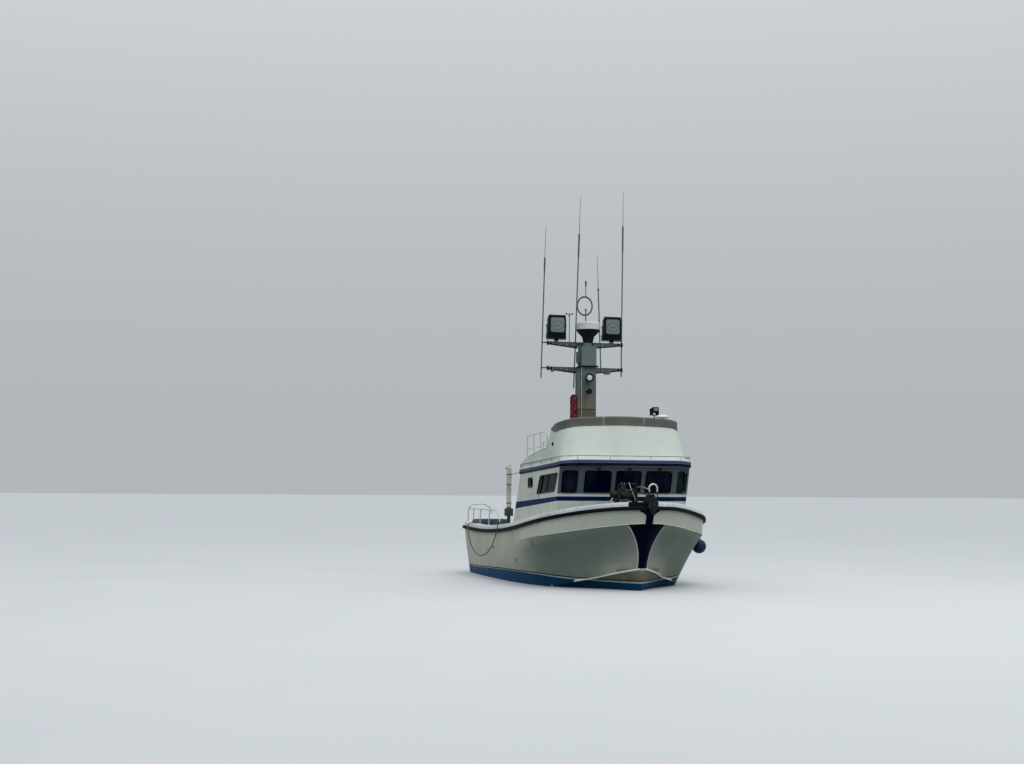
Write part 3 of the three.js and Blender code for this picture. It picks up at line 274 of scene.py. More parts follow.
@dataclass(frozen=True)
class Paint(Finish):
    """Brushed marine paint that has weathered: cloudy dirt, run marks, rust bleeding and a soft gloss."""

    colour: Colour
    roughness: float = 0.42
    grime: float = 0.35
    runs: float = 0.3
    rust: float = 0.0
    relief: float = 0.25 * MM

    def bands(self, g: Graph) -> Socket | Colour:
        """Gives the paint's own colour, with any stripe or zone in it."""
        return self.colour

    def gloss(self, g: Graph, dirt: Socket) -> Socket:
        """Gives the roughness, which dirt raises."""
        return self.roughness + dirt * 0.35 + g.noise(6.0) * 0.08

    def dress(self, g: Graph) -> None:
        """Lays dirt, run marks and rust over the paint."""
        cloud = g.noise(1.1, 5.0).fade(0.45, 0.75)
        speck = g.noise(28.0, 4.0).fade(0.5, 0.8)
        run = g.noise((11.0, 11.0, 0.8), 4.0, 0.3).fade(0.52, 0.78) * (1 - abs(g.nz))
        dirt = cloud * self.grime * 0.5 + speck * cloud * self.grime + run * self.runs
        colour = g.mix(dirt.least(0.85), self.bands(g), GRIME)
        if self.rust:
            spot = g.noise((4.0, 4.0, 1.5), 6.0, 0.5).fade(0.56, 0.72) * g.noise(30.0, 4.0).fade(0.4, 0.6)
            colour = g.mix((spot * self.rust).least(0.9), colour, RUST)
        height = g.noise(60.0, 2.0) * 0.5 + g.noise(9.0, 2.0) * 0.5
        g.surface(Base_Color=colour, Roughness=self.gloss(g, dirt), Specular_IOR_Level=LOW_SHINE,
                  Normal=g.bump(height, self.relief))


@dataclass(frozen=True)
class HullPaint(Paint):
    """The hull: cream sides, the dark bow blaze, a pinstripe and boot top, and gritty deck paint.

    Three of its tones aren't paint. painted_shade, on the flare below the knuckle, painted_light, above the
    knuckle at the bow, and the grey-tan of the bow's bottom below the chine are shade and light painted in to
    match the photograph, and stay in any light.
    """

    deck: Colour = tint(128, 132, 124)
    lining: Colour = tint(176, 180, 170)
    blaze: Colour = tint(2, 3, 30)
    pin: Colour = tint(14, 16, 20)
    line: Colour = tint(214, 222, 218)
    boot: Colour = tint(0, 74, 122)
    painted_shade: Colour = tint(80, 106, 102)
    painted_light: Colour = tint(238, 244, 228)
    # Painted shade: the grey-tan that the cream bottom at the bow, below the chine, shows in shade.
    forefoot_painted_shade: Colour = tint(140, 138, 122)
    scum: Colour = tint(62, 70, 52)
    weep: Colour = tint(120, 92, 66)
    pad_half: float = 0.36

    def inside(self, g: Graph) -> Socket:
        """Gives 1 in the well, the cabin and the hold, else 0."""
        half = abs(g.x)
        well = (half < 2.01) * g.y.between(0.45, 4.61) * (g.z > 0.3)
        cabin = (half < 1.71) * g.y.between(-2.21, 0.51) * (g.z > -0.1)
        fore = (half < 1.26) * g.y.between(-2.9, -2.2) * (g.z > 0.7)
        inward = (g.nz > 0.3).most(g.x * g.nx < half * -0.2).most((abs(g.ny) > 0.6) * (half < 1.9))
        hold = inward * (half < 2.2) * g.y.between(-2.25, 4.7) * g.z.between(-0.6, 0.301)
        return well.most(cabin).most(fore).most(hold)

    def pin_height(self, g: Graph) -> Socket:
        """Gives the height of the pinstripe, which lifts amidships."""
        return 0.255 + 0.097 * (g.y * -1).fade(-4.6, 0.2) * g.y.fade(-3.8, -1.6)

    def bands(self, g: Graph) -> Socket:
        """Gives the paint's zones from the keel to the deck, over the painted shade and light."""
        half, ahead = abs(g.x), g.y * -1
        chine = 0.56 - CHINE_FALL * (g.y - CHINE_START)
        knuckle = KNUCKLE_HEIGHT - 0.0845 * half * half
        fold = (KNUCKLE_HEIGHT - (g.y + 4.72).most(0.0).least(1.69) * 0.186
                - (g.y + 3.03).most(0.0).least(3.0) * 0.11)
        flare = (g.nz * -1).fade(0.12, 0.5) * (g.z < fold) * (g.z > 0.2)
        lit = g.mix((g.z > fold) * ahead.fade(0.6, 2.6), self.colour, self.painted_light)
        colour = g.mix(flare * 0.6, lit, self.painted_shade)
        # Painted shade: the cream bottom at the bow, below the chine, is painted the grey-tan that it shows in
        # shade.
        colour = g.mix((g.z < chine - 0.055) * ahead.fade(3.4, 4.2), colour, self.forefoot_painted_shade)
        rise = ((g.z - 0.557) / 1.063).most(0.0)
        width = 0.115 + 0.345 * rise ** 2.4
        on_bow = (g.y < -3.9) * (g.z > chine + 0.004)
        below = on_bow * (g.z < knuckle)
        colour = g.mix(below * (half < width + 0.028), colour, self.line)
        colour = g.mix(below * (half < width), colour, self.blaze)
        spread = 0.1 + 0.16 * g.z.fade(1.82, 2.0) ** 2.0
        colour = g.mix((g.z > 2.04) * (g.y < -4.0) * (abs(g.x + 0.16) < self.pad_half), colour, self.pin)
        colour = g.mix(on_bow * (g.z > knuckle - 0.001) * (half < spread), colour, self.blaze)
        pin = self.pin_height(g)
        colour = g.mix(g.z < pin, colour, self.pin)
        colour = g.mix(g.z < pin - 0.03, colour, self.line)
        colour = g.mix(g.z < pin - 0.042 - 0.035 * ahead.fade(0.5, 4.0), colour, self.boot)
        colour = g.mix(self.inside(g), colour, self.lining)
        return g.mix((g.nz > 0.7) * (g.z > 0.3), colour, self.deck)

    def dress(self, g: Graph) -> None:
        """Adds grit to the decks and a scum line at the water to the common weathering."""
        cloud = g.noise(0.9, 5.0).fade(0.42, 0.75)
        speck = g.noise(26.0, 4.0).fade(0.52, 0.8)
        run = g.noise((7.0, 7.0, 0.55), 4.0, 0.25).fade(0.5, 0.78) * (1 - abs(g.nz))
        dirt = cloud * 0.12 + speck * cloud * 0.22 + run * 0.15
        scum = (g.z * -1).fade(-0.62, -0.05) * g.noise((5.0, 5.0, 2.0), 5.0).fade(0.35, 0.7) * 0.45
        colour = g.mix(dirt.least(0.8), self.bands(g), GRIME)
        colour = g.mix(scum, colour, self.scum)
        weep = g.noise((9.0, 9.0, 0.6), 5.0, 0.3).fade(0.62, 0.8) * (1 - abs(g.nz))
        colour = g.mix(weep * 0.12, colour, self.weep)
        flat = (g.nz > 0.7) * (g.z > 0.3)
        height = g.noise(5.0, 2.0) * 0.6 + g.noise(220.0, 2.0) * flat * 0.8
        g.surface(Base_Color=colour, Roughness=0.42 + dirt * 0.4 + flat * 0.35, Specular_IOR_Level=LOW_SHINE,
                  Normal=g.bump(height, 1.2 * MM))


@dataclass(frozen=True)
class HousePaint(Paint):
    """The house sides: cream, with a dark stripe below the windows that falls toward the stern.

    painted_shade isn't paint. It is taken for the brow's shade round the front windows, and is painted in to
    match the photograph.
    """

    stripe: Colour = tint(3, 28, 84)
    painted_shade: Colour = tint(62, 80, 86)

    def bands(self, g: Graph) -> Socket:
        """Gives the stripe on the outer faces, and the painted shade."""
        aft = (g.y + 2.7).most(-0.15)
        outer = (g.x * g.nx + (g.y + 1.4) * g.ny) > 0.4
        front = (g.ny < -0.5) * (g.y < -2.6) * g.z.fade(2.375, 2.41)
        stripe = g.z.between(2.2 - 0.066 * aft, 2.315 - 0.048 * aft) * (abs(g.ny) + abs(g.nx) > 0.5)
        colour = g.mix(front * 0.92, self.colour, self.painted_shade)
        return g.mix(stripe * outer * (g.y < 0.425).most(abs(g.nx) > 0.5), colour, self.stripe)


@dataclass(frozen=True)
class RoofPaint(Paint):
    """The house roof: two bands around its edge, the darker one below, under a white top."""

    navy: Colour = tint(2, 5, 40)
    between: Colour = tint(116, 122, 146)
    violet: Colour = tint(72, 82, 122)

    def bands(self, g: Graph) -> Socket:
        """Gives the bands by the height above the roof's underside, which falls toward the stern."""
        height = g.z - (3.085 - ROOF_FALL * (g.y - ROOF_START))
        lift = 0.03 * (g.y * -1).fade(2.8, 3.3)
        edge, colour = abs(g.nz) < 0.6, self.colour
        for top, band in ((0.128, self.violet), (0.066, self.between), (0.058, self.navy)):
            colour = g.mix(edge * (height < top + lift), colour, band)
        return colour


@dataclass(frozen=True)
class CapPaint(Paint):
    """The gunwale cap: cream, with galvanised mooring cleats and a dark chafing pad round the stem."""

    cleat: Colour = tint(96, 100, 102)
    pad: Colour = tint(20, 26, 28)

    def bands(self, g: Graph) -> Socket:
        """Gives the metal of the cleats, which stand above the cap at two places, and the stem's pad."""
        fore = (abs(g.y - 0.35) < 0.16) * (g.z > 1.541)
        aft = (abs(g.y - 3.65) < 0.16) * (g.z > 1.484)
        stem = (abs(g.x + 0.16) < 0.34 + 0.05 * g.noise(3.0)) * (g.y < -4.0)
        return g.mix(stem, g.mix(fore + aft, self.colour, self.cleat), self.pad)


@dataclass(frozen=True)
class MastPaint(Paint):
    """The mast: grey above, stained brown toward its foot, with a seam where its lower box ends."""

    foot: Colour = tint(112, 106, 90)
    lamp: Colour = tint(22, 26, 28)
    arm: Colour = tint(88, 102, 104)
    box: Colour = tint(78, 70, 54)
    seam: Colour = tint(48, 44, 38)
    seam_z: float = 4.7

    def bands(self, g: Graph) -> Socket:
        """Gives the stain, the seam, and the dark lamp and loudhailer on the front face."""
        colour = g.mix((g.z * -1).fade(-5.9, -4.4) * g.noise((4.0, 4.0, 1.0), 4.0).fade(0.3, 0.62),
                       self.colour, self.foot)
        colour = g.mix((g.z < self.seam_z) * 0.45, colour, self.box)
        colour = g.mix(abs(g.z - self.seam_z) < 0.012, colour, self.seam)
        front = (g.y < -0.1) * (abs(g.x) < 0.19) * g.z.between(5.05, 5.75)
        arms = (abs(g.x) > 0.25).most(g.y > 0.262) * (g.z > 5.7)
        colour = g.mix(arms, colour, self.arm)
        return g.mix(front, colour, self.lamp)


@dataclass(frozen=True)
class RadarPlastic(Paint):
    """The radar's cover: pale above a dark band, with a dark pedestal below."""

    base: Colour = tint(30, 34, 38)

    def bands(self, g: Graph) -> Socket:
        """Gives the dark lower half."""
        return g.mix(g.z < 6.9, self.colour, self.base)


@dataclass(frozen=True)
class StackPaint(Paint):
    """The exhaust stack: cream above, stained dark grey round its foot."""

    foot: Colour = tint(72, 84, 80)

    def bands(self, g: Graph) -> Socket:
        """Gives the dark foot."""
        return g.mix(g.z.fade(2.02, 1.97), self.colour, self.foot)


@dataclass(frozen=True)
class CanisterPaint(Paint):
    """The red canister's paint, chipped and netted with pale flecks."""

    fleck: Colour = tint(150, 132, 136)
    patch: Colour = tint(28, 10, 18)

    def bands(self, g: Graph) -> Socket:
        """Gives the flecks, which follow a net round the canister, and the dark patches between."""
        dark = g.noise((9.0, 9.0, 5.0), 4.0).fade(0.48, 0.62)
        lines = g.cells((17.0, 17.0, 11.0), "DISTANCE_TO_EDGE").fade(0.09, 0.02)
        net = lines * g.noise(14.0, 3.0).fade(0.48, 0.6)
        return g.mix(net * 0.8, g.mix(dark * 0.75, self.colour, self.patch), self.fleck)


@dataclass(frozen=True)
class Metal(Finish):
    """Bare or plated metal, dulled, with rust or tarnish in patches."""

    colour: Colour
    roughness: float = 0.4
    stain: Colour = RUST
    stained: float = 0.3
    metallic: float = 1.0

    def dress(self, g: Graph) -> None:
        """Lays stains over the metal, which take away its shine."""
        spangle = g.cells(38.0)
        patch = g.noise(9.0, 6.0, 0.4).fade(0.52, 0.72) * g.noise(45.0, 4.0).fade(0.35, 0.65)
        stain = (patch * self.stained * 1.6).least(0.95)
        colour = g.mix(spangle * 0.35, self.colour, tuple(c * 0.72 for c in self.colour))
        colour = g.mix(stain, colour, self.stain)
        height = g.noise(70.0, 3.0) * 0.6 + patch * 0.4
        g.surface(Base_Color=colour, Metallic=self.metallic * (1 - stain),
                  Roughness=self.roughness + stain * 0.4 + spangle * 0.1, Normal=g.bump(height, 0.5 * MM))


@dataclass(frozen=True)
class AnchorSteel(Metal):
    """Blackened steel, worn to paler metal on edges and knocks."""

    worn: Colour = tint(92, 100, 104)

    def dress(self, g: Graph) -> None:
        """Lays worn patches and rust over the black."""
        rub = g.noise(16.0, 5.0, 0.5).fade(0.54, 0.74)
        patch = g.noise(9.0, 6.0, 0.4).fade(0.56, 0.72) * self.stained
        colour = g.mix(rub * 0.5, self.colour, self.worn)
        colour = g.mix(patch, colour, self.stain)
        g.surface(Base_Color=colour, Metallic=self.metallic * (1 - patch),
                  Roughness=self.roughness + patch * 0.3, Specular_IOR_Level=0.2,
                  Normal=g.bump(g.noise(50.0, 4.0) * 0.6 + rub * 0.4, 0.6 * MM))


@dataclass(frozen=True)
class Rubber(Finish):
    """Black rubber, scuffed grey along its face and faintly ribbed."""

    colour: Colour = tint(13, 14, 17)
    scuff: Colour = tint(58, 59, 60)

    def dress(self, g: Graph) -> None:
        """Lays scuffs and salt over the rubber."""
        scuff = g.noise((14.0, 2.0, 60.0), 5.0, 0.4).fade(0.55, 0.72)
        salt = g.noise(3.0, 5.0).fade(0.5, 0.85)
        colour = g.mix(scuff * 0.4 + salt * 0.12, self.colour, self.scuff)
        height = g.noise((20.0, 3.0, 90.0), 4.0)
        g.surface(Base_Color=colour, Roughness=0.7 + scuff * 0.2, Specular_IOR_Level=0.08,
                  Normal=g.bump(height, 1.2 * MM))


@dataclass(frozen=True)
class Glass(Finish):
    """Window or lamp glass: dark or clear, glossy, with a film of salt low down."""

    colour: Colour
    alpha: float = 0.86
    film: float = 0.12

    def dress(self, g: Graph) -> None:
        """Lays the film over the glass."""
        salt = g.noise((3.0, 3.0, 1.4), 5.0).fade(0.45, 0.8) * self.film
        drops = g.noise(90.0, 2.0).fade(0.62, 0.7) * self.film * 0.6
        colour = g.mix(salt + drops, self.colour, SALT)
        g.surface(Base_Color=colour, Roughness=0.05 + salt * 0.8 + drops * 0.6,
                  Alpha=(salt * 0.5 + self.alpha).least(1.0), IOR=1.5, Specular_IOR_Level=LOW_SHINE)


@dataclass(frozen=True)
class Woven(Finish):
    """A woven cloth or covered foam: crossing threads, and cloudy fading."""

    colour: Colour
    pitch: float = 2.2 * MM
    worn: Colour = tint(150, 148, 134)
    depth: float = 0.6 * MM

    def dress(self, g: Graph) -> None:
        """Crosses two sets of threads and fades the colour in patches."""
        threads = ((g.x + g.z).wave(self.pitch) * (g.y + g.z * 0.7).wave(self.pitch)) * 0.5 + 0.5
        faded = g.noise(2.4, 5.0).fade(0.4, 0.8)
        stain = g.noise((3.0, 3.0, 6.0), 5.0, 0.5).fade(0.55, 0.8)
        colour = g.mix(faded * 0.3, self.colour, self.worn)
        colour = g.mix(stain * 0.35, colour, GRIME)
        colour = g.mix(threads * 0.18, colour, tuple(c * 0.45 for c in self.colour))
        height = threads * 0.5 + g.noise(14.0, 3.0) * 0.5
        g.surface(Base_Color=colour, Roughness=0.88 - faded * 0.06, Normal=g.bump(height, self.depth))


@dataclass(frozen=True)
class Vinyl(Finish):
    """Soft vinyl or moulded plastic with a fine grain."""

    colour: Colour
    roughness: float = 0.45
    grain: float = 120.0
    depth: float = 0.35 * MM
    dust: float = 0.25

    def dress(self, g: Graph) -> None:
        """Lays the grain and some dust."""
        grain = g.cells(self.grain, "DISTANCE_TO_EDGE").fade(0.0, 0.35)
        dust = g.noise(2.2, 5.0).fade(0.42, 0.8) * self.dust
        colour = g.mix(dust, self.colour, DUST)
        colour = g.mix((1 - grain) * 0.12, colour, tuple(c * 0.5 for c in self.colour))
        g.surface(Base_Color=colour, Roughness=self.roughness + dust * 0.5, Specular_IOR_Level=0.2,
                  Normal=g.bump(grain * 0.7 + g.noise(20.0) * 0.3, self.depth))


@dataclass(frozen=True)
class Fibre(Finish):
    """Rope or netting: fine twisted fibres, bleached on top and dark in the lay."""

    colour: Colour
    bleached: Colour
    pitch: float = 9.0 * MM

    def dress(self, g: Graph) -> None:
        """Runs the fibres round the strands."""
        twist = (g.x + g.y * 0.7 + g.z * 1.1 + g.noise(40.0, 2.0) * 0.01).wave(self.pitch) * 0.5 + 0.5
        bleach = g.noise(4.0, 4.0).fade(0.35, 0.75)
        colour = g.mix(bleach * 0.6, self.colour, self.bleached)
        colour = g.mix(twist * 0.3, colour, tuple(c * 0.5 for c in self.colour))
        g.surface(Base_Color=colour, Roughness=0.85 + twist * 0.1,
                  Normal=g.bump(twist * 0.6 + g.noise(160.0, 2.0) * 0.4, 1.0 * MM))


@dataclass(frozen=True)
class Floor(Finish):
    """The pale studio floor."""

    def dress(self, g: Graph) -> None:
        """Gives a plain matt surface with a faint cloud in it."""
        colour = g.mix(g.noise(0.2, 3.0), tint(196, 199, 201), tint(204, 206, 207))
        g.surface(Base_Color=colour, Roughness=0.9 + g.noise(3.0) * 0.05)


HULL_PAINT = HullPaint("hull_cream", tint(206, 208, 192))
HOUSE_PAINT = HousePaint("house_cream", tint(214, 218, 208), grime=0.25, runs=0.3)
ROOF_PAINT = RoofPaint("roof_white", tint(216, 222, 218), grime=0.25)
WHITE_PAINT = Paint("white_enamel", tint(216, 224, 220), grime=0.22, runs=0.18)
CAP_PAINT = CapPaint("cap_cream", tint(236, 242, 242), grime=0.3)
HATCH_PAINT = Paint("hatch_grey", tint(168, 172, 166), 0.6, grime=0.5, relief=0.8 * MM)
BOTTOM_PAINT = Paint("antifouling_blue", tint(12, 70, 108), 0.8, grime=0.5, relief=1.2 * MM)
DARK_PAINT = Paint("black_enamel", tint(24, 28, 31), 0.38, grime=0.2, runs=0.12, rust=0.25)
GREY_PAINT = Paint("grey_enamel", tint(92, 98, 100), 0.4, grime=0.3, rust=0.15)
MAST_PAINT = MastPaint("mast_grey", tint(98, 110, 110), 0.5, grime=0.5, runs=0.5, rust=0.35)
COAMING_PAINT = Paint("coaming_white", tint(206, 214, 206), grime=0.2, runs=0.14)
FRAME_PAINT = Paint("window_frame_grey", tint(82, 98, 102), 0.45, grime=0.3)
PLYWOOD = Paint("locker_varnish", tint(120, 84, 52), 0.35, grime=0.3, runs=0.1)
RED_PAINT = CanisterPaint("red_enamel", tint(112, 16, 38), 0.45, grime=0.3, runs=0.2)
RAIL_CREAM = Paint("spray_rail_cream", tint(244, 250, 238), 0.5, grime=0.3, runs=0.2)
STACK_PAINT = StackPaint("stack_cream", tint(196, 200, 190), 0.5, grime=0.6, runs=0.6, rust=0.4)
BIN_PLASTIC = Vinyl("bin_blue_grey", tint(66, 78, 88), 0.5, 60.0)
RAIL_STEEL = Metal("rail_steel", tint(196, 202, 204), 0.36, tint(98, 84, 66), 0.2, 0.35)
GALVANISED = Metal("galvanised_steel", tint(86, 91, 94), 0.55, RUST, 0.6, 0.7)
BRONZE = Metal("propeller_bronze", tint(150, 116, 66), 0.45, tint(60, 96, 82), 0.6)
DARK_STEEL = AnchorSteel("winch_black_steel", tint(30, 36, 38), 0.6, RUST, 0.35, 0.25)
RUBBER = Rubber("rub_rubber")
TINTED = Glass("tinted_glass", tint(2, 7, 34), 0.97, 0.05)
LAMP_WHITE = Glass("lamp_white_glass", tint(206, 214, 216), 1.0, 0.3)
LENS = Glass("lamp_lens", tint(118, 130, 134), 1.0, 0.25)
CANVAS = Woven("cover_canvas", tint(92, 98, 88))
CANVAS_TRIM = Woven("canvas_binding", tint(86, 88, 78), 1.6 * MM)
SEAM_TAPE = Woven("canvas_seam_tape", tint(160, 160, 144), 1.4 * MM)
GREY_STEEL = Metal("dull_steel", tint(122, 127, 129), 0.5, tint(98, 84, 66), 0.4, 0.6)
ANCHOR_LINE = Fibre("anchor_line_fibre", tint(44, 50, 48), tint(84, 88, 80))
FLOAT_FOAM = Vinyl("net_float_foam", tint(196, 178, 138), 0.6, 80.0)
SEAT_VINYL = Vinyl("seat_vinyl", tint(40, 46, 58), 0.5, 150.0)
BUOY_VINYL = Vinyl("buoy_blue", tint(5, 32, 74), 0.36, 90.0, 0.2 * MM, 0.12)
WHITE_PLASTIC = Vinyl("white_plastic", tint(206, 210, 204), 0.35, 160.0, 0.1 * MM, 0.3)
RADAR_PLASTIC = RadarPlastic("radar_plastic", tint(206, 212, 210), 0.3)
ROPE_FIBRE = Fibre("mooring_fibre", tint(70, 72, 62), tint(128, 126, 110))
NET_TWINE = Fibre("net_twine", tint(34, 66, 58), tint(82, 108, 92), 5.0 * MM)
FLOOR = Floor("studio_floor")


# Meshes


class Shape:
    """A mesh that is put together from simple closed forms."""

    def __init__(self) -> None:
        """Starts with nothing."""
        self.points: list[Vector] = []
        self.faces: list[tuple[int, ...]] = []

    def add(self, points: Iterable[Point], faces: Iterable[Sequence[int]]) -> "Shape":
        """Adds points, and faces that count from the first of them.

        Args:
            points: The new points.
            faces: Each face, as numbers of the new points.

        Returns:
            The shape itself.
        """
        first = len(self.points)
        self.points.extend(Vector(p) for p in points)
        self.faces.extend(tuple(first + i for i in face) for face in faces)
        return self

    def loft(self, rings: Sequence[Sequence[Point]], closed: bool = False, capped: bool = True) -> "Shape":
        """Adds a skin over rings of points.

        Args:
            rings: Rings that all have as many points.
            closed: Joins the last ring to the first.
            capped: Closes the first and last ring with a flat face.

        Returns:
            The shape itself.
        """
        count = len(rings[0])
        faces: list[Sequence[int]] = []
        for r in range(len(rings) if closed else len(rings) - 1):
            a, b = r * count, (r + 1) % len(rings) * count
            faces += [(a + i, a + (i + 1) % count, b + (i + 1) % count, b + i) for i in range(count)]
        if capped and not closed:
            far = (len(rings) - 1) * count
            faces += [tuple(reversed(range(count))), tuple(range(far, far + count))]
        return self.add([p for ring in rings for p in ring], faces)

    def tube(self, path: Sequence[Point], radius: float | Callable[[float], float], sides: int = 10,
             closed: bool = False, lobes: int = 0, lay: float = 0.0, groove: float = 0.12) -> "Shape":
        """Adds a round bar or a laid rope along points.

        Args:
            path: The points of its centre line.
            radius: Its radius, or a function of the share of the path from 0 to 1.
            sides: How many sides its section has.
            closed: Joins its end to its start.
            lobes: How many strands it is laid from, or 0 for a plain bar.
            lay: The length in which the strands turn once.
            groove: How deep the strands' grooves are, as a share of the radius.

        Returns:
            The shape itself.
        """
        line = [Vector(p) for p in path]
        count = len(line)
        rings, travelled, side = [], 0.0, None
        for i, point in enumerate(line):
            before = line[i - 1] if i or closed else point
            after = line[(i + 1) % count] if i < count - 1 or closed else point
            along = (after - before).normalized()
            if side is None:
                side = along.orthogonal().normalized()
            side = (side - along * side.dot(along)).normalized()
            up = along.cross(side)
            if i:
                travelled += (point - line[i - 1]).length
            wide = radius(i / (count - 1)) if callable(radius) else radius
            turn = 2 * math.pi * travelled / lay if lay else 0.0
            ring = []
            for angle in full_turn(sides):
                strand = 1 - groove * (0.5 - 0.5 * math.cos(lobes * (angle - turn))) if lobes else 1.0
                ring.append(point + (side * math.cos(angle) + up * math.sin(angle)) * wide * strand)
            rings.append(ring)
        return self.loft(rings, closed)

    def turned(self, profile: Sequence[tuple[float, float]], place: Matrix, sides: int = 24,
               closed: bool = False) -> "Shape":
        """Adds a body turned about the Z axis of a place.

        Args:
            profile: Radius and height of each ring, from bottom to top.
            place: Where its axis stands.
            sides: How many sides it has.
            closed: Joins the profile's end to its start, for a ring.

        Returns:
            The shape itself.
        """
        rings = [[place @ Vector((r * math.cos(a), r * math.sin(a), h))
                  for a in full_turn(sides)] for r, h in profile]
        return self.loft(rings, closed)

    def block(self, low: Point, high: Point, edge: float = 4 * MM, place: Matrix = Matrix()) -> "Shape":
        """Adds a block between two corners, with its edges cut off by the given width.

        Args:
            low: Its corner with the least values.
            high: Its corner with the greatest values.
            edge: How wide its edges are cut off.
            place: Where it stands.

        Returns:
            The shape itself.
        """
        lo, hi = Vector(low), Vector(high)
        edge = min(edge, min(hi - lo) * 0.45)
        points, corner = [], {}
        for bits in [(a, b, c) for a in (0, 1) for b in (0, 1) for c in (0, 1)]:
            base = Vector([hi[k] if bits[k] else lo[k] for k in range(3)])
            step = Vector([-edge if bits[k] else edge for k in range(3)])
            for axis in range(3):
                moved = base + step
                moved[axis] = base[axis]
                corner[bits, axis] = len(points)
                points.append(place @ moved)
        faces = []
        for axis in range(3):
            u, v = (axis + 1) % 3, (axis + 2) % 3
            for end in (0, 1):
                quad = [self._bits(axis, end, u, a, v, b) for a, b in ((0, 0), (1, 0), (1, 1), (0, 1))]
                face = [corner[bits, axis] for bits in quad]
                faces.append(face if end else face[::-1])
            for a in (0, 1):
                for b in (0, 1):
                    first, last = self._bits(axis, 0, u, a, v, b), self._bits(axis, 1, u, a, v, b)
                    face = [corner[first, u], corner[last, u], corner[last, v], corner[first, v]]
                    faces.append(face if a == b else face[::-1])
        for bits in {key[0] for key in corner}:
            face = [corner[bits, k] for k in range(3)]
            faces.append(face if sum(bits) % 2 else face[::-1])
        return self.add(points, faces)

    @staticmethod
    def _bits(axis: int, end: int, u: int, a: int, v: int, b: int) -> tuple[int, int, int]:
        """Names a block's corner by which end it has along each axis.

        Args:
            axis: The first axis.
            end: The end along it, 0 or 1.
            u: The second axis.
            a: The end along that one.
            v: The third axis.
            b: The end along that one.

        Returns:
            The corner's ends along X, Y and Z.
        """
        bits = [0, 0, 0]
        bits[axis], bits[u], bits[v] = end, a, b
        return tuple(bits)

    def prism(self, outline: Sequence[tuple[float, float]], depth: float, place: Matrix) -> "Shape":
        """Adds a flat outline in a place's X and Y, pushed out along its Z."""
        rings = [[place @ Vector((u, v, h)) for u, v in outline] for h in (0.0, depth)]
        return self.loft(rings)

    def frame(self, outline: Sequence[Point], wide: float, deep: float, out: Point) -> "Shape":
        """Adds a bead of rounded square section that follows a closed outline.

        Args:
            outline: The points of its centre line.
            wide: Its width in the outline's plane.
            deep: How far it stands out.
            out: The direction that it stands out in.

        Returns:
            The shape itself.
        """
        line, normal = [Vector(p) for p in outline], Vector(out).normalized()
        rings = []
        for i, point in enumerate(line):
            along = (line[(i + 1) % len(line)] - line[i - 1]).normalized()
            across = along.cross(normal)
            half = wide / 2
            section = [(-half, 0), (-half, deep * 0.6), (-half * 0.6, deep), (half * 0.6, deep),
                       (half, deep * 0.6), (half, 0)]
            rings.append([point + across * u + normal * v for u, v in section])
        return self.loft(rings, closed=True)

    @staticmethod
    def _outward(mesh: bpy.types.Mesh) -> None:
        """Turns every face of a mesh outward.

        Args:
            mesh: The mesh, which is changed.
        """
        work = bmesh.new()
        work.from_mesh(mesh)
        bmesh.ops.recalc_face_normals(work, faces=work.faces)
        work.to_mesh(mesh)
        work.free()

    def sheet(self, grid: Sequence[Sequence[Vector]], thick: float) -> "Shape":
        """Adds a thin closed sheet over a grid of points.

        Args:
            grid: Rows of points, all rows with as many.
            thick: The thickness of the cloth.

        Returns:
            The shape itself.
        """
        rows, columns = len(grid), len(grid[0])
        layers = []
        for side in (0.5, -0.5):
            for i, row in enumerate(grid):
                for j, point in enumerate(row):
                    down = grid[min(i + 1, rows - 1)][j] - grid[max(i - 1, 0)][j]
                    across = row[min(j + 1, columns - 1)] - row[max(j - 1, 0)]
                    layers.append(point + across.cross(down).normalized() * thick * side)
        size = rows * columns
        faces = []
        for i in range(rows - 1):
            for j in range(columns - 1):
                a = i * columns + j
                quad = (a, a + 1, a + columns + 1, a + columns)
                faces += [quad, tuple(size + k for k in reversed(quad))]
        edge = [*range(columns), *((i + 1) * columns - 1 for i in range(1, rows)),
                *range(size - 2, size - columns - 1, -1), *(i * columns for i in range(rows - 2, 0, -1))]
        for a, b in zip(edge, edge[1:] + edge[:1]):
            faces.append((b, a, a + size, b + size))
        return self.add(layers, faces)

    def cushion(self, centre: Point, half: Point, crown: float, place: Matrix = Matrix()) -> "Shape":
        """Adds a crowned cushion whose sides pull in between its corners.

        Args:
            centre: Its middle, in the place.
            half: Half its size each way.
            crown: How far its top swells.
            place: Where it lies, with its top toward +Z.

        Returns:
            The shape itself.
        """
        profile = [(0.03, -1), (0.4, -1), (0.8, -1), (0.93, -0.9), (0.985, -0.55), (1.0, -0.12), (0.982, 0),
                   (1.0, 0.12), (0.985, 0.55), (0.93, 0.88), (0.8, 1), (0.6, 1), (0.4, 1), (0.2, 1), (0.03, 1)]
        middle, rings = Vector(centre), []
        for share, height in profile:
            lift = crown * (1 - share ** 2) if height > 0.6 else 0.0
            ring = []
            for x, y in self.cushion_plan():
                u, v = x * (1 - 0.05 * (1 - y * y)), y * (1 - 0.05 * (1 - x * x))
                spot = Vector((u * share * half[0], v * share * half[1], height * half[2] + lift))
                ring.append(place @ (middle + spot))
            rings.append(ring)
        return self.loft(rings)

    @staticmethod
    def cushion_plan(steps: int = 48, corner: float = 0.36) -> list[tuple[float, float]]:
        """A cushion's plan: a square with full round corners, from -1 to 1."""
        return [tuple(math.copysign(abs(v) ** corner, v) for v in (math.cos(a), math.sin(a)))
                for a in full_turn(steps)]

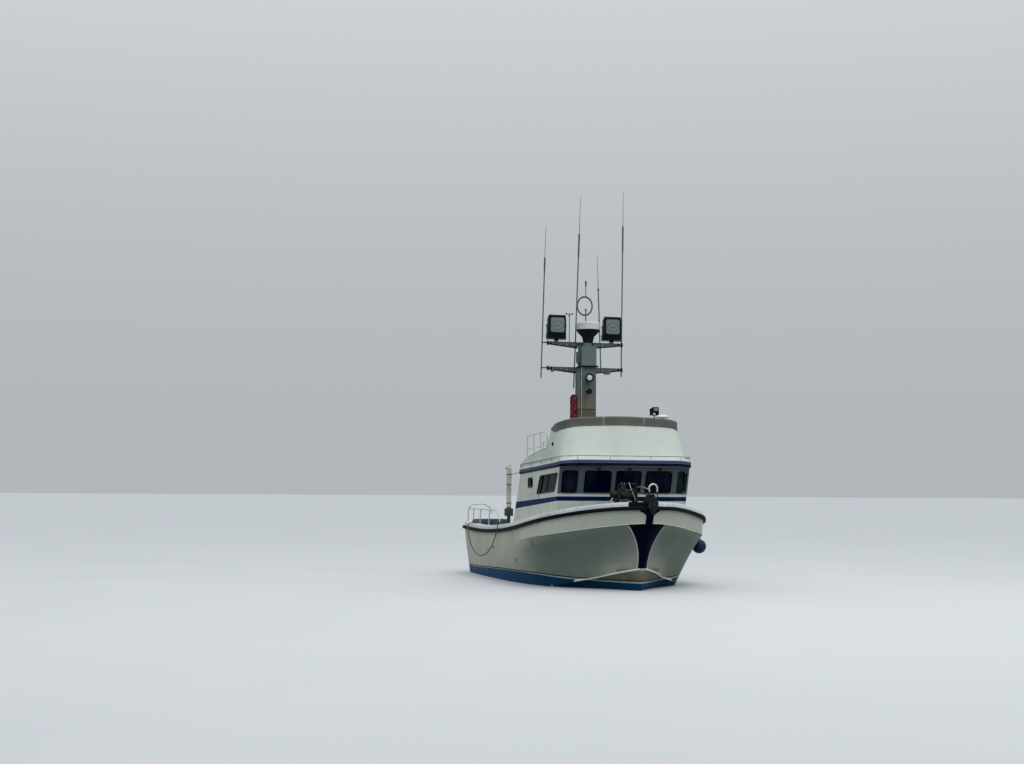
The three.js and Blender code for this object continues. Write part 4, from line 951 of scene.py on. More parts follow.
    def piece(self, name: str, finish: Finish, slot: str, body: str = BOAT,
              sharp: float = 32.0, subdivide: int = 0) -> bpy.types.Object:
        """Makes the object.

        Args:
            name: The piece's name.
            finish: Its surface.
            slot: The record's material slot; not used.
            body: The body that it rides on.
            sharp: Edges that bend more than this many degrees stay sharp.
            subdivide: How often the mesh is subdivided.

        Returns:
            The object, riding on its body.
        """
        mesh = bpy.data.meshes.new(name)
        mesh.from_pydata([tuple(p) for p in self.points], [], self.faces)
        mesh.validate()
        self._outward(mesh)
        mesh.shade_smooth()
        if not subdivide:
            mesh.set_sharp_from_angle(angle=math.radians(sharp))
        mesh.materials.append(finish.material())
        obj = bpy.data.objects.new(name, mesh)
        bpy.context.scene.collection.objects.link(obj)
        if subdivide:
            modifier = obj.modifiers.new("fine", "SUBSURF")
            modifier.levels = modifier.render_levels = subdivide
        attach(obj, body)
        LOG.info("%s: %d faces on %s", name, len(mesh.polygons), body)
        return obj


def at(x: float, y: float, z: float) -> Matrix:
    """A place moved to a point."""
    return Matrix.Translation((x, y, z))


def spin(axis: str, degrees: float) -> Matrix:
    """A turn about an axis."""
    return Matrix.Rotation(math.radians(degrees), 4, axis)


def full_turn(count: int) -> list[float]:
    """The angles that part a full turn evenly, in radians."""
    return [2 * math.pi * k / count for k in range(count)]


def around(place: Matrix, radius: float, height: float, turns: Iterable[float]) -> list[Matrix]:
    """Places on a circle about a place's Z axis, at the given angles in radians."""
    return [place @ at(radius * math.cos(a), radius * math.sin(a), height) for a in turns]


def along(start: Point, end: Point) -> Matrix:
    """A place at a point whose Z axis looks at another point.

    Args:
        start: Where it stands.
        end: Where it looks.

    Returns:
        The place.
    """
    a, b = Vector(start), Vector(end)
    turn = (b - a).to_track_quat("Z", "Y").to_matrix().to_4x4()
    return Matrix.Translation(a) @ turn


def arc(centre: Point, radius: float, start: float, end: float, steps: int,
        u: Point = (1, 0, 0), v: Point = (0, 0, 1)) -> list[Vector]:
    """Points on an arc.

    Args:
        centre: Its centre.
        radius: Its radius.
        start: The first angle in degrees.
        end: The last angle in degrees.
        steps: How many points it has.
        u: The direction of angle 0.
        v: The direction of angle 90.

    Returns:
        The points.
    """
    middle, across, up = Vector(centre), Vector(u), Vector(v)
    angles = [math.radians(start + (end - start) * i / (steps - 1)) for i in range(steps)]
    return [middle + (across * math.cos(a) + up * math.sin(a)) * radius for a in angles]


def bend(start: Vector, corner: Vector, end: Vector, steps: int) -> list[Vector]:
    """Points on a curve from a start to an end that a corner pulls toward itself."""
    return [start * (1 - t) ** 2 + corner * (2 * t * (1 - t)) + end * t ** 2
            for t in (k / steps for k in range(steps + 1))]


def rounded(corners: Sequence[Point], radius: float, steps: int = 5) -> list[Vector]:
    """A closed outline through corners, with each of them rounded.

    Args:
        corners: The outline's corners.
        radius: How far from a corner its curve starts.
        steps: How many steps each curve has.

    Returns:
        The outline's points.
    """
    line, found = [Vector(p) for p in corners], []
    for i, corner in enumerate(line):
        before, after = line[i - 1], line[(i + 1) % len(line)]
        start = corner + (before - corner).normalized() * radius
        end = corner + (after - corner).normalized() * radius
        found += bend(start, corner, end, steps)
    return found


def eased(points: Sequence[Point], step: float) -> list[Vector]:
    """A smooth line through points, with a point about every step.

    Args:
        points: What the line passes through.
        step: How far apart its points are.

    Returns:
        The line's points.
    """
    line = [Vector(p) for p in points]
    line = [line[0] * 2 - line[1], *line, line[-1] * 2 - line[-2]]
    found = []
    for a, b, c, d in zip(line, line[1:], line[2:], line[3:]):
        count = max(1, round((c - b).length / step))
        for k in range(count):
            t = k / count
            found.append(0.5 * ((2 * b) + (c - a) * t + (2 * a - 5 * b + 4 * c - d) * t ** 2
                                + (3 * b - a - 3 * c + d) * t ** 3))
    return [*found, line[-2]]


def length_of(path: Sequence[Vector]) -> float:
    """The length of a line through points."""
    return sum((b - a).length for a, b in zip(path, path[1:]))


# The frame's own pieces


class Sharpness(Enum):
    """How a CAD piece's edges are shown: the width that they are rounded to, in metres."""

    CRISP = 0.0
    SOFT = 4 * MM
    MOULDED = 9 * MM


class Weld(NodeTree):
    """A modifier that joins a CAD piece's faces and shades them smooth up to an angle."""

    MERGE = 0.02 * MM
    LIMIT = math.radians(32)
    ROUND_FROM = math.radians(40)

    def __init__(self) -> None:
        """Builds the modifier's node group once."""
        group = bpy.data.node_groups.new("weld_and_smooth", "GeometryNodeTree")
        for way in ("INPUT", "OUTPUT"):
            group.interface.new_socket("Geometry", in_out=way, socket_type="NodeSocketGeometry")
        super().__init__(group)
        mesh = self.add("NodeGroupInput")
        plain = self.add("GeometryNodeRemoveAttribute", inputs={"Geometry": mesh, "Name": "custom_normal"})
        joined = self.add("GeometryNodeMergeByDistance", inputs={"Geometry": plain, "Distance": self.MERGE})
        smooth = self.add("GeometryNodeSetShadeSmooth", {"domain": "FACE"},
                          {"Geometry": joined, "Shade Smooth": True})
        angle = self.add("GeometryNodeInputMeshEdgeAngle")
        edged = self.add("GeometryNodeSetShadeSmooth", {"domain": "EDGE"},
                         {"Geometry": smooth, "Selection": angle > self.LIMIT, "Shade Smooth": False})
        self.add("NodeGroupOutput", inputs={0: edged})

    def fit(self, obj: bpy.types.Object, edge: float) -> None:
        """Puts the modifier on a piece, with its sharp edges rounded where a width is given.

        Args:
            obj: The piece.
            edge: The width that its edges are rounded to, or 0.
        """
        if edge:
            join = obj.modifiers.new("join", "WELD")
            join.merge_threshold = self.MERGE
            bevel = obj.modifiers.new("edge", "BEVEL")
            bevel.width, bevel.segments, bevel.limit_method = edge, 2, "ANGLE"
            bevel.angle_limit = self.ROUND_FROM
        modifier = obj.modifiers.new("smooth", "NODES")
        modifier.node_group = self.tree


@dataclass
class FrameDressing:
    """The finish and the edges of each CAD piece that shows as it is."""

    groups: Sequence[tuple[Finish, Sharpness, Sequence[str]]] = (
        (HULL_PAINT, Sharpness.CRISP, ("hull", "hull_sides", "hull_bow")),
        (HATCH_PAINT, Sharpness.SOFT, (
            "fish_hatch_starboard", "fish_hatch_port", "engine_hatch", "foredeck_hatch")),
        (RUBBER, Sharpness.MOULDED, ("rub_rail",)),
        (CAP_PAINT, Sharpness.SOFT, ("gunwale_cap",)),
        (BOTTOM_PAINT, Sharpness.MOULDED, ("keel",)),
        (BRONZE, Sharpness.CRISP, ("propeller",)),
        (BRONZE, Sharpness.SOFT, ("rudder",)),
        (GREY_PAINT, Sharpness.MOULDED, ("engine_block", "dash_console")),
        (HOUSE_PAINT, Sharpness.CRISP, (
            "house_front_wall", "house_side_port", "house_side_starboard", "house_aft_wall")),
        (TINTED, Sharpness.CRISP, ("glazing_front", "glazing_port", "glazing_starboard")),
        (WHITE_PAINT, Sharpness.SOFT, ("cabin_door",)),
        (ROOF_PAINT, Sharpness.MOULDED, ("house_roof",)),
        (DARK_PAINT, Sharpness.CRISP, ("helm_wheel", "wind_cups")),
        (COAMING_PAINT, Sharpness.CRISP, ("flybridge_coaming",)),
        (WHITE_PAINT, Sharpness.MOULDED, ("flybridge_console",)),
        (RAIL_STEEL, Sharpness.CRISP, (
            "flybridge_rail_port", "flybridge_rail_starboard", "stern_rail_starboard", "stern_rail_port",
            "stern_roller")),
        (MAST_PAINT, Sharpness.SOFT, ("mast",)),
        (GREY_PAINT, Sharpness.CRISP, (
            "whip_antenna_starboard", "whip_antenna_mid", "whip_antenna_port", "whip_antenna_short",
            "loop_antenna")),
        (DARK_PAINT, Sharpness.MOULDED, ("floodlight_starboard", "floodlight_port")),
        (RADAR_PLASTIC, Sharpness.CRISP, ("radar_dome",)),
        (RED_PAINT, Sharpness.CRISP, ("red_canister",)),
        (WHITE_PLASTIC, Sharpness.CRISP, ("roof_dome",)),
        (DARK_PAINT, Sharpness.SOFT, ("deck_lamp",)),
        (STACK_PAINT, Sharpness.SOFT, ("exhaust_stack",)),
        (DARK_STEEL, Sharpness.SOFT, ("anchor_winch_frame", "anchor")),
        (DARK_STEEL, Sharpness.CRISP, ("anchor_winch_drum", "bow_roller_frame")),
        (RUBBER, Sharpness.CRISP, ("bow_roller",)),
        (GALVANISED, Sharpness.SOFT, ("net_reel_frame", "stern_roller_frame", "mooring_bitt")),
        (BIN_PLASTIC, Sharpness.MOULDED, ("fish_bin",)),
    )

    def dress(self) -> None:
        """Gives every such piece its finish and its edges."""
        weld = Weld()
        for finish, sharpness, names in self.groups:
            for name in names:
                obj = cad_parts[name]
                obj.data.materials.clear()
                obj.data.materials.append(finish.material())
                weld.fit(obj, sharpness.value)
            LOG.info("dressed %s in %s", ", ".join(names), finish.name)


# Camera, light and floor


@dataclass
class Studio:
    """The camera at the photograph's place, a pale floor at the waterline and a soft overcast light."""

    camera_at: Point = (-13.60, -40.26, 2.547)
    yaw: float = -15.83
    pitch: float = 3.904
    roll: float = 0.4
    lens: float = 54.14
    sensor: float = 36.0
    sight: float = 2000.0
    floor_half: float = 400.0
    zenith: Colour = (1.06, 1.11, 1.15)
    horizon: Colour = (0.44, 0.47, 0.49)
    water: Colour = (0.045, 0.060, 0.064)
    lamp_at: Point = (3.0, -17.0, 27.0)
    lamp_wide: float = 18.0
    lamp_power: float = 2600.0

    def build(self) -> None:
        """Makes the camera, the floor, the sky and one soft light."""
        self.camera()
        self.floor()
        self.sky()
        self.light()
        bpy.context.scene.view_settings.view_transform = "Standard"

    def camera(self) -> None:
        """Sets the camera at the photograph's place and angle."""
        data = bpy.data.cameras.new("camera")
        data.lens, data.sensor_width, data.clip_end = self.lens, self.sensor, self.sight
        camera = bpy.data.objects.new("camera", data)
        turn = (spin("Z", self.yaw)
                @ spin("X", 90 + self.pitch)
                @ spin("Z", self.roll))
        camera.matrix_world = Matrix.Translation(self.camera_at) @ turn
        bpy.context.scene.collection.objects.link(camera)
        bpy.context.scene.camera = camera

    def floor(self) -> None:
        """Lays the floor at the waterline. It gives the boat no diffuse light, to match the photograph."""
        mesh = bpy.data.meshes.new("floor")
        half = self.floor_half
        mesh.from_pydata([(x, y, 0) for x, y in box_corners(-half, -half, half, half)], [], [(0, 1, 2, 3)])
        mesh.materials.append(FLOOR.material())
        floor = bpy.data.objects.new("floor", mesh)
        floor.visible_diffuse = False
        bpy.context.scene.collection.objects.link(floor)

    def sky(self) -> None:
        """Lights the scene from an even sky that is brighter overhead and dark below, as over water."""
        world = bpy.data.worlds.new("overcast")
        world.use_nodes = True
        bpy.context.scene.world = world
        tree = NodeTree(world.node_tree)
        ray = tree.add("ShaderNodeTexCoord", output="Generated")
        height = tree.add("ShaderNodeSeparateXYZ", inputs={0: ray}, output=2)
        colour = tree.mix(height.fade(0.0, 0.9), self.horizon, self.zenith)
        colour = tree.mix((height * -1).fade(0.03, 0.25), colour, self.water)
        light = tree.add("ShaderNodeBackground", inputs={"Color": colour, "Strength": 1.0})
        tree.add("ShaderNodeOutputWorld", inputs={"Surface": light})

    def light(self) -> None:
        """Hangs one wide soft light high ahead of the bow."""
        data = bpy.data.lights.new("soft_light", "AREA")
        data.shape, data.size, data.energy = "DISK", self.lamp_wide, self.lamp_power
        light = bpy.data.objects.new("soft_light", data)
        light.location = self.lamp_at
        light.rotation_euler = (Vector((0, 0, 2)) - light.location).to_track_quat("-Z", "Y").to_euler()
        bpy.context.scene.collection.objects.link(light)


# Mooring rope


@dataclass
class MooringRope:
    """A laid rope that hangs in one loop between the two starboard cleats."""

    route: Sequence[Point] = (
        (-2.258, 3.65, 1.4993), (-2.42, 3.65, 1.502), (-2.473, 3.64, 1.38), (-2.473, 3.51, 1.14),
        (-2.473, 3.2, 0.86), (-2.473, 2.7, 0.655), (-2.473, 2.08, 0.595), (-2.473, 1.48, 0.69),
        (-2.473, 0.96, 0.9), (-2.473, 0.56, 1.18), (-2.473, 0.38, 1.41), (-2.445, 0.365, 1.572),
        (-2.337, 0.35, 1.5547),
    )
    cleats: Sequence[Point] = ((-2.2355, 3.65, 1.4776), (-2.3116, 0.35, 1.5307))
    diameter: float = 0.030
    bend: float = 0.09
    lay: float = 0.105
    step: float = 0.012
    groove: float = 0.16
    turns: int = 2
    turn_points: int = 36

    def path(self) -> list[Vector]:
        """Rounds each corner of the route by a short arc and sets points along it evenly.

        Returns:
            The rope's centre line.
        """
        corners = [Vector(p) for p in self.route]
        line = [corners[0]]
        for before, corner, after in zip(corners, corners[1:], corners[2:]):
            reach = min(self.bend, (before - corner).length / 2.1, (after - corner).length / 2.1)
            start = corner.lerp(before, reach / (before - corner).length)
            end = corner.lerp(after, reach / (after - corner).length)
            line += bend(start, corner, end, 8)
        line.append(corners[-1])
        return self.even(line)

    def even(self, line: Sequence[Vector]) -> list[Vector]:
        """Sets points along a line about one step apart.

        Args:
            line: The line's own points.

        Returns:
            The new points, with both ends kept.
        """
        whole = length_of(line)
        count = round(whole / self.step)
        found, i, passed = [line[0]], 0, 0.0
        for k in range(1, count):
            goal = whole * k / count
            while passed + (line[i + 1] - line[i]).length < goal:
                passed += (line[i + 1] - line[i]).length
                i += 1
            share = (goal - passed) / (line[i + 1] - line[i]).length
            found.append(line[i].lerp(line[i + 1], share))
        return [*found, line[-1]]

    def build(self) -> None:
        """Makes the hanging rope and its turns on the cleats."""
        path = self.path()
        shape = Shape().tube(path, self.diameter * 0.52, 12, lobes=3, lay=self.lay, groove=self.groove)
        rope = shape.piece("mooring_rope_laid", ROPE_FIBRE, "rope_fibre", sharp=180.0)
        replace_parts(rope, "mooring_rope")
        turns = Shape()
        for cleat in self.cleats:
            self.belay(turns, Vector(cleat))
        length_of(path)
        turns.piece("mooring_rope_turns", ROPE_FIBRE, "rope_fibre", sharp=180.0)
        LOG.info("mooring rope is %.3f m long", length_of(path))

    def belay(self, shape: Shape, cleat: Vector) -> None:
        """Lays crossing turns under the horns and over the top of a cleat.

        Args:
            shape: What the turns are added to.
            cleat: The middle of the cleat's foot.
        """
        path, count = [], self.turns * self.turn_points
        for k in range(count + 1):
            t = 2 * math.pi * k / self.turn_points
            outer = k / count
            y = (0.100 + 0.022 * outer) * math.cos(t)
            x = (0.043 + 0.012 * outer) * math.sin(2 * t)
            rise = (math.sin(t) ** 2) ** 0.8
            path.append(cleat + Vector((x, y, 0.026 + (0.064 + 0.028 * outer) * rise)))
        shape.tube(path, self.diameter * 0.5, 10, lobes=3, lay=self.lay, groove=self.groove)


# Places on the boat


class Skin:
    """The surface of some CAD pieces at rest, to set fittings on."""

    def __init__(self, *nodes: str) -> None:
        """Takes up the nodes' faces."""
        points: list[Vector] = []
        faces: list[tuple[int, ...]] = []
        for name in nodes:
            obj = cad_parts[name]
            first = len(points)
            points += [obj.matrix_world @ v.co for v in obj.data.vertices]
            faces += [tuple(first + i for i in face.vertices) for face in obj.data.polygons]
        self.tree = BVHTree.FromPolygons(points, faces)

    def meet(self, start: Point, way: Point) -> tuple[Vector, Vector]:
        """Gives where a straight line first meets the surface, and the surface's direction there.

        Args:
            start: Where the line starts.
            way: Where it goes.

        Returns:
            The place and the direction.
        """
        place, normal, _, _ = self.tree.ray_cast(Vector(start), Vector(way).normalized())
        if place is None:
            raise ValueError(f"no surface beyond {tuple(start)}")
        return place, normal

    def under(self, x: float, y: float, top: float = 12.0) -> Vector:
        """Gives the point of the surface below a height."""
        return self.meet((x, y, top), (0, 0, -1))[0]

    def beside(self, side: Side, y: float, z: float) -> tuple[Vector, Vector]:
        """Gives the point of the surface seen from one side, and its direction."""
        return self.meet((side.value * 6, y, z), (-side.value, 0, 0))


def roof_top(y: float) -> float:
    """The height of the house roof's top, which falls toward the stern."""
    return 3.265 - ROOF_FALL * (y - ROOF_START)


@dataclass(frozen=True)
class Wall:
    """A flat wall of the house. A place on it is a run along the wall and a height."""

    origin: Point
    across: Point
    up: Point = (0, -0.295, 1)

    @property
    def out(self) -> Vector:
        """The direction that the wall faces."""
        return Vector(self.across).cross(Vector(self.up)).normalized()

    def spot(self, run: float, z: float, out: float = 0.0) -> Vector:
        """Gives a place on the wall, or in front of it."""
        base = Vector(self.origin)
        return base + Vector(self.across) * run + Vector(self.up) * (z - base.z) + self.out * out

    def place(self, run: float, z: float, out: float = 0.0) -> Matrix:
        """Gives a place on the wall whose Z axis faces out and whose Y axis points up.

        Args:
            run: How far along the wall it is.
            z: Its height.
            out: How far it stands out.

        Returns:
            The place.
        """
        across, up = Vector(self.across), Vector(self.up).normalized()
        turn = Matrix((across, up, self.out)).transposed().to_4x4()
        return Matrix.Translation(self.spot(run, z, out)) @ turn

    def outline(self, corners: Sequence[tuple[float, float]], radius: float, out: float) -> list[Vector]:
        """Gives a closed outline on the wall with round corners."""
        return rounded([self.spot(run, z, out) for run, z in corners], radius)


WALL_HEIGHT, FRONT_Y = 2.72, -3.23
CORNER_TURN = math.atan2(0.32, 0.49)
FRONT_WALL = Wall((0, FRONT_Y, WALL_HEIGHT), (1, 0, 0))
PORT_FLAT = Wall((1.28, FRONT_Y, WALL_HEIGHT), (math.cos(CORNER_TURN), math.sin(CORNER_TURN), 0))
STARBOARD_FLAT = Wall((-1.28, FRONT_Y, WALL_HEIGHT), (math.cos(CORNER_TURN), -math.sin(CORNER_TURN), 0))
PORT_WALL = Wall((1.77, 0, WALL_HEIGHT), (0, 1, 0), (0, 0, 1))
STARBOARD_WALL = Wall((-1.77, 0, WALL_HEIGHT), (0, -1, 0), (0, 0, 1))
SIDE_WALLS = ((PORT_WALL, 1), (STARBOARD_WALL, -1))


def box_corners(u0: float, v0: float, u1: float, v1: float) -> list[tuple[float, float]]:
    """The corners of a rectangle."""
    return [(u0, v0), (u1, v0), (u1, v1), (u0, v1)]


def disc(shape: Shape, place: Matrix, radius: float, thick: float, sides: int = 24) -> Shape:
    """Adds a round plate with a soft edge, standing on a place.

    Args:
        shape: What it is added to.
        place: Where it stands, with its face toward +Z.
        radius: Its radius.
        thick: Its thickness.
        sides: How many sides it has.

    Returns:
        The shape itself.
    """
    soft = min(thick, radius) * 0.3
    profile = [(AXIS, 0), (radius, 0), (radius, thick - soft), (radius - soft, thick), (AXIS, thick)]
    return shape.turned(profile, place, sides)


def ring(shape: Shape, place: Matrix, radius: float, bar: float, sides: int = 32,
         round_sides: int = 8) -> Shape:
    """Adds a round bar bent to a ring about a place's Z axis."""
    line = [place @ p for p in arc((0, 0, 0), radius, 0, 360 * (sides - 1) / sides, sides, v=(0, 1, 0))]
    return shape.tube(line, bar, round_sides, closed=True)


def bolts(shape: Shape, places: Iterable[Matrix], radius: float = 0.008, high: float = 0.006) -> Shape:
    """Adds a six-sided bolt head at each place.

    Args:
        shape: What they are added to.
        places: Where they stand.
        radius: Their radius.
        high: Their height.

    Returns:
        The shape itself.
    """
    for place in places:
        shape.turned([(AXIS, 0), (radius, 0), (radius, high * 0.7), (radius * 0.75, high), (AXIS, high)],
                     place, 6)
    return shape


# Flybridge


@dataclass
class CanvasCover:
    """The canvas stretched over the front of the flybridge, on its bows."""

    # From the port wing to the middle: the coaming's edge in plan, and the heights above the roof of the
    # cloth's lower edge and of its shoulder.
    rows: Sequence[Point] = (
        (1.662, -1.990, 0.846, 0.900), (1.650, -2.270, 0.772, 0.985), (1.600, -2.495, 0.800, 1.020),
        (1.500, -2.740, 0.838, 1.052), (1.300, -2.870, 0.874, 1.083), (1.000, -2.895, 0.890, 1.105),
        (0.600, -2.920, 0.902, 1.123), (0.200, -2.965, 0.911, 1.132),
    )
    step: float = 0.035
    proud: float = 0.019
    bevel: float = 0.035
    thick: float = 2.5 * MM
    depth_rows: int = 18
    arch: float = 0.19
    seams: Sequence[float] = (-0.58, 0.54)
    hem_bar: float = 5 * MM
    stitch: float = 0.011
    flat: tuple[float, float] = (5.35, 1.15)
    area: float = 4.08

    def line(self) -> list[Vector]:
        """The run from the starboard wing round the front to the port wing.

        Returns:
            Points that hold X, Y and the cloth's two heights above the roof.
        """
        port = [Vector(row) for row in self.rows]
        starboard = [Vector((-x, y, lap, cover)) for x, y, lap, cover in self.rows]
        return eased([*starboard, *reversed(port)], self.step)

    def column(self, points: Sequence[Vector], i: int) -> list[Vector]:
        """One strip of the cloth, from its lower edge over the shoulder to its aft edge.

        Args:
            points: The run round the front.
            i: Which of its points the strip hangs on.

        Returns:
            The strip's points.
        """
        x, y, lap, cover = points[i]
        before, after = points[max(i - 1, 0)], points[min(i + 1, len(points) - 1)]
        along = Vector((after.x - before.x, after.y - before.y, 0)).normalized()
        out = Vector((along.y, -along.x, 0))
        base, roof = Vector((x, y, 0)), roof_top(y)
        top = roof + cover - self.bevel
        strip = []
        for k in range(6):
            t = k / 5
            slack = 0.003 * math.sin(math.pi * t) * (1 + noise.noise(Vector((i * 0.21, t * 2, 4))))
            height = roof + lap + (top - roof - lap) * t
            strip.append(base + out * (self.proud - slack) + Vector((0, 0, height)))
        for k in range(1, 5):
            turn = math.pi / 2 * k / 4
            inward = self.proud - 0.045 * (1 - math.cos(turn))
            strip.append(base + out * inward + Vector((0, 0, top + self.bevel * math.sin(turn))))
        share = i / (len(points) - 1)
        wing = self.rows[0]
        aft_z = roof_top(wing[1]) + wing[3] + self.arch * math.sin(math.pi * share)
        aft = Vector((-wing[0] + 2 * wing[0] * share, wing[1] + 0.02, aft_z))
        start = strip[-1]
        for k in range(1, self.depth_rows + 1):
            t = k / self.depth_rows
            sag = 0.012 * math.sin(math.pi * t) * math.sin(math.pi * share)
            fold = 0.004 * noise.noise(Vector((share * 9, t * 1.5, 1))) * math.sin(math.pi * share)
            strip.append(start.lerp(aft, t) + Vector((0, 0, fold - sag)))
        return strip

    def grid(self) -> list[list[Vector]]:
        """The whole cloth, one strip to a row."""
        points = self.line()
        return [self.column(points, i) for i in range(len(points))]

    def build(self) -> None:
        """Makes the cloth, its hem and seams, the snaps that hold it, and the bows below it."""
        grid = self.grid()
        cloth = Shape().sheet(grid, self.thick).piece("flybridge_canvas", CANVAS, "canvas", sharp=60.0)
        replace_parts(cloth, "flybridge_cover")
        trim = [self.hem(grid), self.seam_strips(grid), self.snaps(grid)]
        area = sum((a[j + 1] - a[j]).length * (b[j] - a[j]).length for a, b in zip(grid, grid[1:])
                   for j in range(len(a) - 1))
        LOG.info("canvas: %.3f square metres, %.3f m round its lower edge", area,
                 length_of([row[0] for row in grid]))
        self.bows(grid)

    def hem(self, grid: list[list[Vector]]) -> bpy.types.Object:
        """Rolls the cloth's edge over a cord.

        Args:
            grid: The cloth's strips.

        Returns:
            The piece.
        """
        edge = [*(row[0] for row in grid), *grid[-1][1:], *(row[-1] for row in reversed(grid[:-1])),
                *reversed(grid[0][1:-1])]
        return Shape().tube(edge, self.hem_bar, 8, closed=True).piece(
            "canvas_hem", CANVAS_TRIM, "canvas", sharp=60.0)

    def seam_strips(self, grid: list[list[Vector]]) -> bpy.types.Object:
        """Lays a pale double-sewn strip over each seam.

        Args:
            grid: The cloth's strips.

        Returns:
            The piece.
        """
        shape = Shape()
        for x in self.seams:
            middle = min(range(len(grid)), key=lambda i: abs(grid[i][0].x - x))
            near, far = grid[middle - 1], grid[middle + 1]
            strip = []
            for a, b, c in zip(near, grid[middle], far):
                across = (c - a).normalized() * self.stitch
                strip.append([b - across, b, b + across])
            out = [[p + Vector((0, -0.0022, 0.0022)) for p in row] for row in strip]
            shape.sheet(out, 1.5 * MM)
        return shape.piece("canvas_seams", SEAM_TAPE, "canvas", sharp=60.0)

    def snaps(self, grid: list[list[Vector]]) -> bpy.types.Object:
        """Sets press studs along the lower edge.

        Args:
            grid: The cloth's strips.

        Returns:
            The piece.
        """
        shape = Shape()
        for i in range(4, len(grid) - 4, 7):
            low, high = grid[i][0], grid[i][1]
            spot = low.lerp(high, 0.5)
            out = (grid[i + 1][0] - grid[i - 1][0]).cross(high - low).normalized()
            out = out if out.dot(Vector((spot.x, spot.y + 2.2, 0))) > 0 else -out
            disc(shape, along(spot, spot + out), 7 * MM, 4 * MM, 12)
        return shape.piece("canvas_snaps", RAIL_STEEL, "rail_steel")

    def bows(self, grid: list[list[Vector]]) -> None:
        """Bends two tubes below the cloth, with their feet on the coaming.

        Args:
            grid: The cloth's strips.
        """
        shape = Shape()
        for row in (-2, -11):
            line = [strip[row] - Vector((0, 0, 0.016)) for strip in grid[2:-2]]
            ends = [line[0] + Vector((0.03, 0, -0.17)), line[-1] + Vector((-0.03, 0, -0.17))]
            shape.tube(eased([ends[0], *line[3:-3:3], ends[1]], 0.04), 0.011, 10)
        shape.piece("canvas_bows", RAIL_STEEL, "rail_steel")


